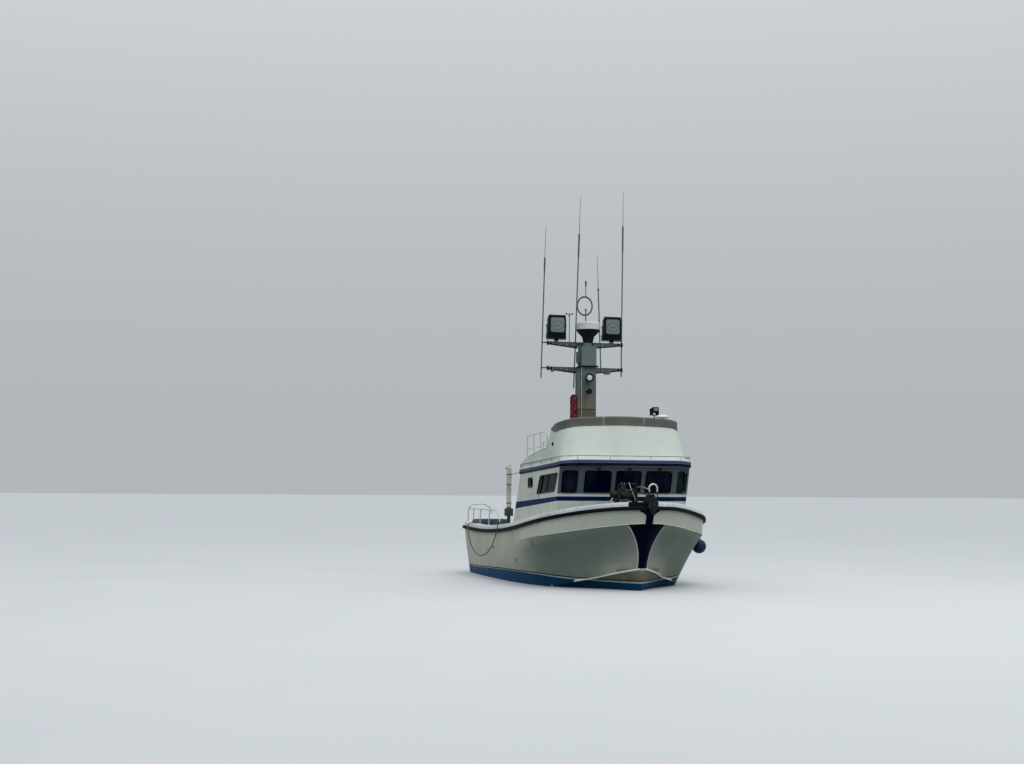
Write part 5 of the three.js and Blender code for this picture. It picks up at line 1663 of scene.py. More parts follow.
@dataclass
class FlybridgeFittings:
    """What is fixed to the flybridge: the console's instruments, levers, wing fittings and lip bead."""

    console_x: tuple[float, float] = (-0.30, 1.48)
    console_aft: float = -1.56
    console_top: float = 3.85
    wing: tuple[float, float] = (-2.21, 3.667)
    rail_x: float = 1.595
    rail_posts: Sequence[float] = (-1.35, -0.76, -0.14, 0.48)
    rail_z: tuple[float, float] = (3.65, 3.59)

    def build(self) -> None:
        """Makes them all."""
        self.wing_fittings()
        self.console()
        self.lip()
        self.rail_feet()

    def wing_fittings(self) -> None:
        """Sets a dark round fitting on each wing."""
        shape, coaming = Shape(), Skin("flybridge_coaming")
        for side in Side:
            spot, normal = coaming.beside(side, *self.wing)
            place = along(spot - normal * 0.002, spot + normal)
            disc(shape, place, 0.050, 0.014, 28)
            ring(shape, place @ at(0, 0, 0.014), 0.036, 0.007)
            bolts(shape, around(place, 0.042, 0.012, (0.8, 2.4, 3.9, 5.5)), 4 * MM, 4 * MM)
        shape.piece("wing_fittings", DARK_PAINT, "dark_paint")

    def console(self) -> None:
        """Sets gauges, a compass, levers and a locker door on the console."""
        (x0, x1), aft, top = self.console_x, self.console_aft, self.console_top
        panel, glass, door = Shape(), Shape(), Shape()
        for k in range(5):
            place = along((0.42 + 0.15 * k, aft, 3.70), (0.42 + 0.15 * k, aft + 1, 3.70))
            wide = 0.052 if k % 2 else 0.040
            disc(panel, place, wide, 0.012)
            ring(panel, place @ at(0, 0, 0.012), wide * 0.88, 0.004, 24, 6)
            disc(glass, place @ at(0, 0, 0.010), wide * 0.8, 0.003)
        base = at(0.75, -1.70, top)
        panel.turned([(AXIS, 0), (0.075, 0), (0.070, 0.03), (0.062, 0.05), (AXIS, 0.052)], base)
        dome = [(0.058 * math.cos(a), 0.05 + 0.05 * math.sin(a)) for a in (0, 0.4, 0.8, 1.2)]
        glass.turned([*dome, (AXIS, 0.10)], base)
        for k in range(2):
            foot = Vector((0.30 + 0.07 * k, -1.68, top))
            panel.block(foot + Vector((-0.022, -0.07, 0)), foot + Vector((0.022, 0.07, 0.03)))
            panel.tube([foot + Vector((0, 0, 0.02)), foot + Vector((0, -0.03 + 0.05 * k, 0.15))], 0.006, 8)
            panel.turned([(AXIS, -0.018), (0.014, -0.012), (0.018, 0), (0.014, 0.012), (AXIS, 0.018)],
                         at(foot.x, foot.y - 0.03 + 0.05 * k, top + 0.16), 14)
        for low, high in (((x0 + 0.06, 3.24), (0.52, 3.58)), ((0.60, 3.24), (x1 - 0.06, 3.58))):
            door.block((low[0], aft - 0.002, low[1]), (high[0], aft + 0.014, high[1]), 5 * MM)
            door.block((high[0] - 0.09, aft + 0.014, 3.40), (high[0] - 0.03, aft + 0.026, 3.43), 3 * MM)
        panel.piece("flybridge_instruments", DARK_PAINT, "dark_paint")
        glass.piece("flybridge_dials", LENS, "window_glass")
        door.piece("flybridge_locker_doors", WHITE_PAINT, "white_paint")

    def lip(self) -> None:
        """Runs a bead along the top of each wing's slope."""
        slope = ((1.745, 0.56, 0.100), (1.734, -0.25, 0.272), (1.722, -1.136, 0.360), (1.716, -1.60, 0.385),
                 (1.712, -1.714, 0.411), (1.690, -1.835, 0.586), (1.664, -1.975, 0.815))
        shape = Shape()
        for side in Side:
            line = [Vector((side.value * (x - 0.022), y, roof_top(y) + up + 0.004)) for x, y, up in slope]
            shape.tube(eased(line, 0.05), 0.030, 10)
        shape.piece("coaming_lip", COAMING_PAINT, "white_paint", sharp=60.0)

    def rail_feet(self) -> None:
        """Sets a flange under each foot of the flybridge rails and a collar at each joint."""
        shape = Shape()
        for side in Side:
            x = side.value * self.rail_x
            for y in self.rail_posts:
                place = at(x, y, roof_top(y))
                disc(shape, place, 0.040, 0.008)
                disc(shape, place @ at(0, 0, 0.008), 0.022, 0.014)
                bolts(shape, around(place, 0.031, 0.008, (0.8, 2.35, 3.9, 5.5)), 5 * MM, 4 * MM)
                share = (y - self.rail_posts[0]) / (self.rail_posts[-1] - self.rail_posts[0])
                rail = self.rail_z[0] + (self.rail_z[1] - self.rail_z[0]) * share
                disc(shape, at(x, y, rail - 0.018), 0.021, 0.036)
        shape.piece("flybridge_rail_flanges", RAIL_STEEL, "rail_steel")


# House


@dataclass
class Windows:
    """The frames, rubber seals and wipers of the house windows."""

    front_panes: Sequence[tuple[float, float]] = ((-1.185, -0.455), (-0.350, 0.350), (0.455, 1.185))
    pane_low: float = 2.415
    pane_high: float = 2.985
    round_by: float = 0.085
    side_round: float = 0.07
    corner_pane: tuple[float, float] = (0.070, 0.500)
    side_window: Sequence[tuple[float, float]] = (
        (-2.590, 2.450), (-1.020, 2.365), (-1.330, 2.845), (-2.870, 2.915))
    small_window: tuple[float, float, float, float] = (-0.630, 2.550, -0.220, 2.790)
    bead: float = 0.026
    proud: float = 0.009
    sink: float = 2 * MM
    seal: float = 0.012

    def holes(self) -> list[tuple[Wall, list[tuple[float, float]], float]]:
        """Each window: its wall, its corners and how round they are.

        Returns:
            One row for each window.
        """
        low, high = self.pane_low, self.pane_high
        found = [(FRONT_WALL, box_corners(a, low, b, high), self.round_by) for a, b in self.front_panes]
        near, far = self.corner_pane
        found.append((PORT_FLAT, box_corners(near, low, far, high), self.round_by))
        found.append((STARBOARD_FLAT, box_corners(-far, low, -near, high), self.round_by))
        small = box_corners(*self.small_window)
        for wall, sign in SIDE_WALLS:
            for corners in (self.side_window, small):
                found.append((wall, [(sign * run, z) for run, z in corners], self.side_round))
        return found

    def build(self) -> None:
        """Makes the frames, the seals and the wipers."""
        frames, seals = Shape(), Shape()
        for wall, corners, radius in self.holes():
            outline = wall.outline(corners, radius, -self.sink)
            middle = sum(outline, Vector()) / len(outline)
            wider = [p + (p - middle).normalized() * self.bead * 0.5 for p in outline]
            frames.frame(wider, self.bead, self.proud + self.sink, wall.out)
            inner = [p + (middle - p).normalized() * self.seal * 0.3 - wall.out * 0.030 for p in outline]
            seals.frame(inner, self.seal, 0.036, wall.out)
        for wall, sign in SIDE_WALLS:
            frames.tube([wall.spot(sign * -1.60, 2.395, -0.020), wall.spot(sign * -1.86, 2.870, -0.020)],
                        0.014, 8)
        frames.piece("window_frames", FRAME_PAINT, "grey_paint", sharp=50.0)
        seals.piece("window_seals", RUBBER, "black_rubber", sharp=50.0)
        self.wipers()

    def wipers(self) -> None:
        """Hangs a wiper from its motor over each front pane."""
        shape, blades = Shape(), Shape()
        for low, high in self.front_panes:
            middle = (low + high) / 2
            place = FRONT_WALL.place(middle, 3.030)
            shape.block((-0.045, -0.026, -0.004), (0.045, 0.026, 0.040), 8 * MM, place)
            disc(shape, place @ at(0, -0.004, 0.040), 0.013, 0.012, 16)
            top = [FRONT_WALL.spot(middle + k, 3.022, 0.046) for k in (-0.012, 0.012)]
            foot = FRONT_WALL.spot(low + 0.075, 2.72, 0.030)
            for start, shift in zip(top, (0.035, -0.035)):
                shape.tube([start, foot + Vector((0, 0, shift))], 4 * MM, 8)
            for part, ends, out, bar in ((blades, (2.50, 2.94), 0.014, 6 * MM),
                                         (shape, (2.56, 2.88), 0.024, 4 * MM)):
                part.tube([FRONT_WALL.spot(low + 0.07, z, out) for z in ends], bar, 6)
        shape.piece("wiper_arms", DARK_PAINT, "dark_paint")
        blades.piece("wiper_blades", RUBBER, "black_rubber")


@dataclass
class HouseTrim:
    """The brow's handrail, the door's furniture, the aft ladder, the stack's strut and small deck lights."""

    rail_up: float = 0.085
    rail_bar: float = 9 * MM
    rail_line: Sequence[tuple[float, float]] = ((1.780, 0.50), (1.780, -3.055), (1.338, -3.386))
    posts: Sequence[tuple[float, float]] = (
        (1.780, 0.42), (1.780, -0.50), (1.780, -1.42), (1.780, -2.30), (1.780, -2.95), (1.40, -3.34),
        (0.55, -3.386))
    ladder_x: Sequence[float] = (-1.08, -0.68)
    ladder_y: float = 0.70
    ladder_top: float = 3.80
    landing_y: float = 0.36
    rungs: int = 9
    stack: tuple[float, float] = (-1.845, 1.44)
    door_face: float = 0.545

    def build(self) -> None:
        """Makes them all."""
        self.brow_rail()
        self.ladder()
        self.door_furniture()
        self.stack_fittings()
        self.aft_lights()

    def brow_rail(self) -> None:
        """Runs a thin rail all round the roof's edge on short posts."""
        shape = Shape()
        half = [Vector((x, y, roof_top(y) + self.rail_up)) for x, y in self.rail_line]
        line = [half[0] - Vector((0, 0, self.rail_up)), *half]
        line += [Vector((-p.x, p.y, p.z)) for p in reversed(line)]
        path = [line[0]]
        for before, corner, after in zip(line, line[1:], line[2:]):
            start = corner + (before - corner).normalized() * 0.04
            end = corner + (after - corner).normalized() * 0.04
            path += [start, (start + end + corner * 2) / 4, end]
        shape.tube([*path, line[-1]], self.rail_bar, 8)
        for side in Side:
            for x, y in self.posts:
                foot = Vector((side.value * (x - 0.004), y, roof_top(y) - 0.001))
                shape.tube([foot, foot + Vector((side.value * 0.004, 0, self.rail_up))], 7 * MM, 8)
                disc(shape, Matrix.Translation(foot), 0.018, 0.006, 14)
        shape.piece("brow_handrail", GREY_STEEL, "rail_steel")

    def ladder(self) -> None:
        """Stands a ladder from the well to the flybridge at the aft wall's starboard side."""
        shape = Shape()
        top = roof_top(0.40)
        for x in self.ladder_x:
            corners = [(x, self.ladder_y, 0.601), (x, self.ladder_y, self.ladder_top),
                       (x, self.landing_y, self.ladder_top), (x, self.landing_y, top)]
            path = [Vector(corners[0])]
            for corner, before, after in zip(corners[1:-1], corners, corners[2:]):
                a, b, c = Vector(before), Vector(corner), Vector(after)
                start, end = b + (a - b).normalized() * 0.1, b + (c - b).normalized() * 0.1
                path += bend(start, b, end, 6)
            shape.tube([*path, Vector(corners[-1])], 0.016, 10)
            disc(shape, at(x, self.landing_y, top), 0.038, 0.008)
            disc(shape, at(x, self.ladder_y, 0.600), 0.038, 0.008)
            for z in (1.25, 2.55):
                shape.tube([(x, 0.484, z), (x, self.ladder_y, z)], 0.010, 8)
                disc(shape, along((x, 0.484, z), (x, 1.0, z)), 0.028, 0.007, 16)
        for k in range(self.rungs):
            z = 0.86 + 0.275 * k
            shape.tube([(x, self.ladder_y, z) for x in self.ladder_x], 0.013, 10)
        shape.piece("aft_ladder", RAIL_STEEL, "rail_steel")

    def door_furniture(self) -> None:
        """Fits the door with a lever, a port rim, hinge leaves and a kick plate."""
        shape, face = Shape(), self.door_face
        rim = rounded([(x, face - 0.001, z) for x, z in box_corners(-0.222, 2.038, 0.262, 2.562)], 0.07)
        shape.frame(rim, 0.034, 0.010, (0, 1, 0))
        heads = [along(p + Vector((0, 0.008, 0)), p + Vector((0, 1, 0))) for p in rim[::3]]
        bolts(shape, heads, 5 * MM, 4 * MM)
        shape.block((-0.37, face - 0.001, 1.72), (-0.32, face + 0.010, 1.92), 4 * MM)
        shape.tube([(-0.345, face, 1.86), (-0.345, face + 0.045, 1.86), (-0.335, face + 0.055, 1.86),
                    (-0.235, face + 0.055, 1.855)], 8 * MM, 10)
        for z in (1.10, 1.83, 2.60):
            shape.block((0.30, face - 0.001, z - 0.035), (0.444, face + 0.006, z + 0.035), 2 * MM)
            bolts(shape, (along((x, face + 0.006, z), (x, 1, z)) for x in (0.33, 0.37, 0.41)), 6 * MM, 4 * MM)
        shape.piece("door_furniture", RAIL_STEEL, "rail_steel", body="cabin_door")
        plate = Shape().block((-0.36, face - 0.001, 0.90), (0.40, face + 0.004, 1.08), 2 * MM)
        plate.piece("door_kick_plate", GREY_STEEL, "rail_steel", body="cabin_door")

    def stack_fittings(self) -> None:
        """Gives the stack a rain flap, two bands and a strut to the house."""
        shape, (x, y) = Shape(), self.stack
        for z in (2.10, 2.62, 2.90):
            shape.turned([(0.068, -0.02), (0.074, -0.016), (0.074, 0.016), (0.068, 0.02)], at(x, y, z), 28)
        flap = at(x - 0.070, y, 3.088) @ spin("Y", -28)
        disc(shape, flap @ at(0.072, 0, 0), 0.074, 0.006, 28)
        shape.tube([flap @ Vector((0, -0.03, 0)), flap @ Vector((0, 0.03, 0))], 7 * MM, 8)
        shape.block((-0.05, -0.012, -0.010), (0.0, 0.012, 0.010), 4 * MM, flap)
        shape.tube([(x + 0.05, y - 0.055, 2.90), (-1.76, 0.60, 2.96)], 0.010, 8)
        disc(shape, along((-1.76, 0.602, 2.96), (-1.80, 1.0, 2.94)), 0.026, 0.008, 16)
        shape.piece("stack_fittings", GREY_STEEL, "rail_steel")

    def aft_lights(self) -> None:
        """Hangs two deck lights from the roof's aft edge and a box for the switches below them."""
        body, lens = Shape(), Shape()
        for x in (-0.95, 0.95):
            place = at(x, 0.612, 2.985) @ spin("X", -60)
            body.block((-0.09, -0.02, -0.002), (0.09, 0.02, 0.05), 8 * MM, at(x, 0.610, 2.985)
                       @ spin("X", -90))
            body.turned([(AXIS, 0.03), (0.055, 0.03), (0.085, 0.13), (0.088, 0.15), (0.080, 0.15),
                         (AXIS, 0.14)], place, 24)
            disc(lens, place @ at(0, 0, 0.139), 0.078, 0.008)
        body.block((0.62, 0.484, 1.55), (0.86, 0.56, 1.90), 8 * MM)
        body.tube([(0.74, 0.53, 1.89), (0.74, 0.53, 2.86), (0.74, 0.55, 2.89), (0.95, 0.60, 2.95)], 8 * MM, 8)
        body.piece("aft_deck_lights", GREY_PAINT, "grey_paint")
        lens.piece("aft_deck_light_glass", LENS, "window_glass")


# Cabin


@dataclass
class Cabin:
    """The padded seat and settee, and the instruments on the dash."""

    seat_at: tuple[float, float] = (0.75, -1.53)
    settee_x: tuple[float, float] = (-1.685, -1.055)
    settee_y: tuple[float, float] = (-1.99, 0.39)
    sole: float = 0.751
    screens: Sequence[Point] = ((0.30, 0.34, 0.26), (0.95, 0.30, 0.22), (-0.30, 0.26, 0.20))

    def build(self) -> None:
        """Makes them all."""
        self.seat()
        self.settee()
        self.dash()

    def seat(self) -> None:
        """Makes the helm seat: a pedestal, a pan, and two cushions with piping."""
        x, y = self.seat_at
        post = Shape().turned([(AXIS, 0), (0.185, 0), (0.185, 0.012), (0.17, 0.024), (0.07, 0.05),
                               (0.044, 0.09), (0.044, 0.30), (0.038, 0.31), (0.038, 0.50), (0.09, 0.525),
                               (AXIS, 0.528)], at(x, y, self.sole), 28)
        post.block((x - 0.20, y - 0.19, 1.276), (x + 0.20, y + 0.20, 1.294), 6 * MM)
        post.block((x - 0.19, y + 0.205, 1.29), (x + 0.19, y + 0.222, 1.90), 6 * MM)
        for side in (-1, 1):
            post.tube([(x + side * 0.12, y + 0.10, 1.280), (x + side * 0.12, y + 0.235, 1.282),
                       (x + side * 0.12, y + 0.235, 1.60)], 0.011, 8)
        stand = post.piece("helm_seat_pedestal", GREY_PAINT, "grey_paint")
        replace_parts(stand, "helm_seat")
        seat = Shape().cushion((x, y - 0.01, 1.338), (0.235, 0.215, 0.040), 0.018)
        seat.piece("helm_seat_cushion", SEAT_VINYL, "seat_vinyl", subdivide=1)
        upright = at(x, y + 0.178, 1.66) @ spin("X", 90)
        back = Shape().cushion((0, 0, 0), (0.225, 0.27, 0.026), 0.022, upright)
        back.piece("helm_seat_back", SEAT_VINYL, "seat_vinyl", subdivide=1)

    def settee(self) -> None:
        """Makes the settee: a varnished locker with three seat and three back cushions."""
        (x0, x1), (y0, y1) = self.settee_x, self.settee_y
        base = Shape().block((x0, y0, self.sole), (x1, y1, 1.08), 6 * MM)
        base.block((x0, y0, 1.08), (x0 + 0.020, y1, 1.58), 5 * MM)
        base.block((x1 - 0.012, y0, 1.07), (x1, y1, 1.115), 4 * MM)
        wide = (y1 - y0) / 3
        for k in range(3):
            middle = y0 + wide * (k + 0.5)
            reach = wide * 0.36
            base.block((x1 - 0.001, middle - reach, 0.82), (x1 + 0.004, middle + reach, 1.02), 2 * MM)
            base.turned([(AXIS, 0), (0.012, 0), (0.016, 0.012), (AXIS, 0.016)],
                        along((x1 + 0.003, middle, 0.98), (2, middle, 0.98)), 14)
            half = (0.5 * (x1 - x0) - 0.012, wide * 0.485, 0.048)
            seat = Shape().cushion(((x0 + x1) / 2 - 0.002, middle, 1.129), half, 0.014)
            seat.piece(f"settee_seat_{k + 1}", SEAT_VINYL, "seat_vinyl", subdivide=1)
            turn = at(x0 + 0.062, middle, 1.388) @ spin("Y", 90)
            back = Shape().cushion((0, 0, 0), (0.195, wide * 0.485, 0.034), 0.012, turn)
            back.piece(f"settee_back_{k + 1}", SEAT_VINYL, "seat_vinyl", subdivide=1)
        locker = base.piece("settee_locker", PLYWOOD, "seat_vinyl")
        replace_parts(locker, "settee")

    def dash(self) -> None:
        """Sets screens, gauges, switches and levers on the dash."""
        body, glass = Shape(), Shape()
        for x, wide, high in self.screens:
            tilt = at(x, -2.46, 2.17) @ spin("X", 72)
            body.block((-wide / 2, 0, -0.05), (wide / 2, high, 0.02), 10 * MM, tilt)
            glass.block((-wide / 2 + 0.02, 0.02, 0.018), (wide / 2 - 0.02, high - 0.02, 0.022), 2 * MM, tilt)
        for k in range(6):
            place = at(-0.75 + 0.16 * k, -2.222, 1.965) @ spin("X", -73)
            ring(body, place, 0.040, 0.006, 24, 6)
            disc(glass, place @ at(0, 0, -0.002), 0.038, 0.004)
        for k in range(2):
            foot = Vector((1.08 + 0.06 * k, -2.30, 2.075))
            body.block(foot + Vector((-0.02, -0.06, -0.01)), foot + Vector((0.02, 0.06, 0.02)), 4 * MM)
            body.tube([foot, foot + Vector((0, 0.02 + 0.03 * k, 0.13))], 6 * MM, 8)
            body.turned([(AXIS, -0.016), (0.013, -0.01), (0.017, 0), (0.013, 0.01), (AXIS, 0.016)],
                        at(foot.x, foot.y + 0.02 + 0.03 * k, foot.z + 0.14), 14)
        body.piece("dash_instruments", DARK_PAINT, "dark_paint")
        glass.piece("dash_screens", LENS, "window_glass")


# Mast


@dataclass
class MastRig:
    """What is fixed to the mast and its crosstrees: lamp glass, yokes, trusses, wiring, boxes and straps."""

    mast_y: float = 0.08
    arm_y: float = 0.315
    lamp_x: Sequence[float] = (-0.830, 0.790)
    lamp_middle: float = 7.04
    lamp_front: float = 0.195
    mast_lamp_at: Point = (-0.045, -0.264, 5.56)
    hailer_at: Point = (-0.060, -0.304, 5.18)
    radar_x: float = 0.02
    arms_z: Sequence[float] = (5.85, 6.55)
    arm_x: tuple[float, float] = (0.215, 1.075)
    chord: tuple[float, float, float] = (0.130, 0.082, 0.034)

    def build(self) -> None:
        """Makes them all."""
        self.floodlights()
        self.mast_lamp()
        self.wiring()
        self.trusses()
        self.canister()
        self.radar()
        self.deck_lamp()

    def floodlights(self) -> None:
        """Gives each floodlight its glass, rim, reflector edge, cooling fins and yoke."""
        rims, glass, inner, yokes = Shape(), Shape(), Shape(), Shape()
        front, z = self.lamp_front, self.lamp_middle
        for x in self.lamp_x:
            box = [(x + u, front, z + v) for u, v in box_corners(-0.222, -0.228, 0.222, 0.228)]
            rims.frame(rounded(box, 0.09, 8), 0.046, 0.022, (0, -1, 0))
            pane = rounded([(u, v, 0) for u, v in box_corners(-0.215, -0.220, 0.215, 0.220)], 0.09, 8)
            face = at(x, front, z) @ spin("X", 90)
            rings = [[face @ Vector((p.x * s, p.y * s, h)) for p in pane]
                     for s, h in ((1, 0), (1, 0.006), (0.7, 0.010), (0.35, 0.012), (0.02, 0.0125))]
            glass.loft(rings)
            oval = [face @ Vector((0.165 * math.cos(a), 0.130 * math.sin(a) - 0.02, 0.010))
                    for a in full_turn(36)]
            inner.tube(oval, 5 * MM, 6, closed=True)
            inner.tube([face @ Vector((-0.075, -0.02, 0.012)), face @ Vector((0.075, -0.02, 0.012))],
                       lambda share: 0.006 + 0.018 * math.sin(math.pi * share), 10)
            for k in range(7):
                fin = x - 0.18 + 0.06 * k
                rims.block((fin - 0.004, 0.36, z - 0.20), (fin + 0.004, 0.432, z + 0.16), 2 * MM)
            for sign in (-1, 1):
                side = x + sign * 0.272
                yokes.block((side - 0.005, 0.285, 6.640), (side + 0.005, 0.345, 7.06), 3 * MM)
                disc(yokes, along((side, 0.315, 7.02), (side + sign, 0.315, 7.02)), 0.030, 0.022, 16)
                hook = x + sign * 0.20
                rims.tube([(hook, front - 0.01, z + 0.225), (hook, front - 0.028, z + 0.20),
                           (hook, front - 0.01, z + 0.175)], 7 * MM, 8)
            yokes.block((x - 0.277, 0.285, 6.632), (x + 0.277, 0.345, 6.644), 3 * MM)
            bolts(yokes, (at(x + u, 0.315, 6.644) for u in (-0.07, 0.07)), 12 * MM, 10 * MM)
        rims.piece("floodlight_rims", DARK_PAINT, "dark_paint")
        glass.piece("floodlight_glass", LENS, "window_glass", sharp=60.0)
        inner.piece("floodlight_reflectors", GREY_PAINT, "grey_paint")
        yokes.piece("floodlight_yokes", GREY_PAINT, "grey_paint")

    def mast_lamp(self) -> None:
        """Gives the mast lamp its rim and glass, and the loudhailer its mouth."""
        shape, glass = Shape(), Shape()
        (x, y, z), ahead = self.mast_lamp_at, -2
        lamp = along((x, y, z), (x, ahead, z))
        ring(shape, lamp, 0.098, 0.019)
        shape.turned([(0.078, 0), (0.118, -0.004), (0.121, 0.010), (0.112, 0.022), (0.084, 0.022)], lamp, 32,
                     closed=True)
        for place in around(lamp, 0.112, 0.0, (0.6, 2.2, 3.8, 5.4)):
            disc(shape, place, 0.014, 0.026, 10)
        glass.turned([(AXIS, 0), (0.080, 0), (0.080, 0.006), (0.062, 0.014), (0.036, 0.020), (AXIS, 0.023)],
                     lamp, 28)
        x, y, z = self.hailer_at
        mouth = along((x, y, z), (x, ahead, z))
        ring(shape, mouth, 0.073, 0.008)
        shape.turned([(0.068, 0), (0.064, 0.001), (0.030, -0.060), (AXIS, -0.062)][::-1]
                     + [(0.070, 0.003)], mouth, 24)
        shape.turned([(AXIS, -0.02), (0.022, -0.015), (0.026, 0.0), (0.018, 0.012), (AXIS, 0.016)], mouth, 18)
        for x, _, z in (self.mast_lamp_at, self.hailer_at):
            bolts(shape, (along((x + u, -0.157, z), (x + u, -1, z)) for u in (-0.045, 0.045)), 8 * MM, 7 * MM)
        shape.piece("mast_lamp_rims", DARK_PAINT, "dark_paint")
        glass.piece("mast_lamp_glass", LAMP_WHITE, "window_glass")

    def wiring(self) -> None:
        """Runs clipped cables up the mast and along its arms, with the boxes they join in."""
        cables, clips, boxes = Shape(), Shape(), Shape()
        side, low, high = -0.208, 3.30, 5.86
        for k, (radius, offset) in enumerate(((0.009, 0.0), (0.007, 0.019), (0.011, -0.022), (0.006, 0.034))):
            line = [(side - 0.002, -0.045 + offset, low + 0.05 * k)]
            line += [(side + 0.002 * math.sin(3 * k + n), -0.045 + offset + 0.003 * math.sin(5 * k + 2 * n),
                      low + 0.10 + (high - low - 0.1) * n / 14) for n in range(15)]
            (cables if k % 2 else clips).tube(eased(line, 0.06), radius, 8)
        for k in range(8):
            z = 3.45 + 0.32 * k
            clips.block((side - 0.016, -0.082, z), (side + 0.004, 0.004, z + 0.022), 4 * MM)
        for side_x in (-1, 1):
            y = self.arm_y - 0.03
            for z in (5.826, 6.526):
                run = [(side_x * (0.22 + 0.10 * n), y, z - 0.052 + 0.0062 * n + 0.004 * math.sin(2.1 * n))
                       for n in range(8)]
                cables.tube(eased(run, 0.04), 8 * MM, 8)
                for n in range(1, 8, 2):
                    x = side_x * (0.22 + 0.10 * n)
                    clips.block((x - 0.009, y - 0.011, z - 0.064 + 0.0062 * n), (x + 0.009, y + 0.012,
                                z - 0.006), 3 * MM)
        boxes.block((-0.292, 0.02, 5.985), (-0.211, 0.19, 6.295), 8 * MM)
        boxes.block((-0.297, 0.03, 6.0), (-0.292, 0.18, 6.28), 3 * MM)
        boxes.block((0.56, 0.255, 5.702), (0.745, 0.338, 5.800), 12 * MM)
        boxes.block((0.60, 0.285, 5.795), (0.70, 0.325, 5.835), 3 * MM)
        boxes.block((-0.99, 0.262, 5.735), (-0.90, 0.33, 5.826), 10 * MM)
        boxes.block((0.211, -0.03, 4.02), (0.262, 0.14, 4.26), 6 * MM)
        for k in range(3):
            boxes.tube([(-0.252, 0.05 + 0.05 * k, 5.93), (-0.252, 0.05 + 0.05 * k, 5.99)], 0.011, 10)
        cables.tube(eased([(-0.252, 0.05, 5.94), (-0.25, 0.03, 5.90), (-0.222, -0.02, 5.84),
                           (side, -0.045, 5.70)], 0.02), 8 * MM, 8)
        cables.piece("mast_cables", RUBBER, "black_rubber")
        clips.piece("mast_cable_clips", RAIL_STEEL, "rail_steel")
        boxes.piece("mast_boxes", GREY_PAINT, "grey_paint")

    def canister(self) -> None:
        """Straps the red canister down and gives it a capped head."""
        straps, foot = Shape(), at(-0.395, self.mast_y, 0)
        for z in (4.50, 4.66, 4.83, 4.99):
            straps.turned([(0.093, z - 0.014), (0.0985, z - 0.012), (0.0985, z + 0.012), (0.093, z + 0.014)],
                          foot, 28, closed=True)
        straps.turned([(0.060, 5.070), (0.050, 5.095), (0.022, 5.112), (AXIS, 5.114)], foot, 20)
        straps.piece("canister_straps", RED_PAINT, "red_paint")

    def trusses(self) -> None:
        """Stiffens each crosstree with a lower chord, struts and a pale upper flange."""
        dark, pale = Shape(), Shape()
        root, middle, tip = self.chord
        for z in self.arms_z:
            for side in (-1, 1):
                near, far = (side * x for x in self.arm_x)
                for y in (self.arm_y - 0.034, self.arm_y + 0.034):
                    dark.tube([(near, y, z - root), (near + (far - near) * 0.5, y, z - middle),
                               (far, y, z - tip)], 0.015, 8)
                    for k in range(6):
                        share = 0.08 + 0.155 * k
                        x = near + (far - near) * share
                        low = z - root + (root - tip) * share
                        dark.tube([(x, y, low), (x + side * 0.065, y, z - 0.012)], 8 * MM, 6)
                for y in (self.arm_y - 0.030, self.arm_y + 0.030):
                    web = [(near, z - 0.126), (far, z - 0.032), (far, z + 0.020), (near, z + 0.020)]
                    pale.prism(web, 8 * MM, at(0, y, 0) @ Matrix.Rotation(math.pi / 2, 4, "X"))
                pale.block((min(near, far), self.arm_y - 0.040, z + 0.0215),
                           (max(near, far), self.arm_y + 0.040, z + 0.031), 3 * MM)
                for x, height in ((side * 1.085, 0.075), (side * 0.98, 0.05)):
                    knob = [(AXIS, -height), (0.020, -height), (0.030, -height * 0.6),
                            (0.022, -height * 0.3), (0.030, 0), (0.022, height * 0.4),
                            (0.028, height * 0.6), (AXIS, height * 0.7)]
                    dark.turned(knob, at(x, self.arm_y - 0.030, z), 14)
        dark.block((-0.252, -0.163, 5.866), (0.252, 0.262, 5.903), 6 * MM)
        pale.block((-0.309, -0.02, 3.98), (-0.190, 0.20, 5.82), 8 * MM)
        dark.piece("crosstree_trusses", DARK_PAINT, "dark_paint")
        pale.piece("crosstree_flanges", MAST_PAINT, "mast_paint")

    def radar(self) -> None:
        """Gives the radar its seam and the bolts of its foot, and the small dome its seam."""
        shape, place = Shape(), at(self.radar_x, self.mast_y, 6.902)
        seam = [(0.322, -0.012), (0.3275, -0.009), (0.3275, 0.009), (0.322, 0.012)]
        shape.turned(seam, place, 48, closed=True)
        bolts(shape, (at(self.radar_x + 0.118 * math.cos(a), self.mast_y + 0.118 * math.sin(a), 6.541)
                      @ Matrix.Rotation(a, 4, "Z") for a in (0.4, 1.97, 3.54, 5.11)), 8 * MM, 7 * MM)
        dome = at(1.445, -1.90, 4.433)
        seam = [(0.170, -0.006), (0.1745, -0.004), (0.1745, 0.004), (0.170, 0.006)]
        shape.turned(seam, dome, 32, closed=True)
        shape.piece("radar_seam", RUBBER, "black_rubber")

    def deck_lamp(self) -> None:
        """Gives the flybridge lamp its glass, rim and knobs."""
        shape, glass = Shape(), Shape()
        face = [(1.33 + u, -1.7265, 4.65 + v) for u, v in box_corners(-0.070, -0.050, 0.070, 0.048)]
        shape.frame(rounded(face, 0.02), 0.016, 0.010, (0, -1, 0.05))
        glass.block((1.265, -1.731, 4.605), (1.395, -1.724, 4.693), 3 * MM)
        for sign in (-1, 1):
            knob = along((1.33 + sign * 0.109, -1.60, 4.64), (1.33 + sign, -1.60, 4.64))
            disc(shape, knob, 0.024, 0.020, 14)
        disc(shape, at(1.33, -1.605, 3.851), 0.045, 0.010)
        disc(shape, at(1.445, -1.90, 3.851), 0.050, 0.010)
        shape.piece("flybridge_lamp_rim", DARK_PAINT, "dark_paint")
        glass.piece("flybridge_lamp_glass", LENS, "window_glass")


# Bow


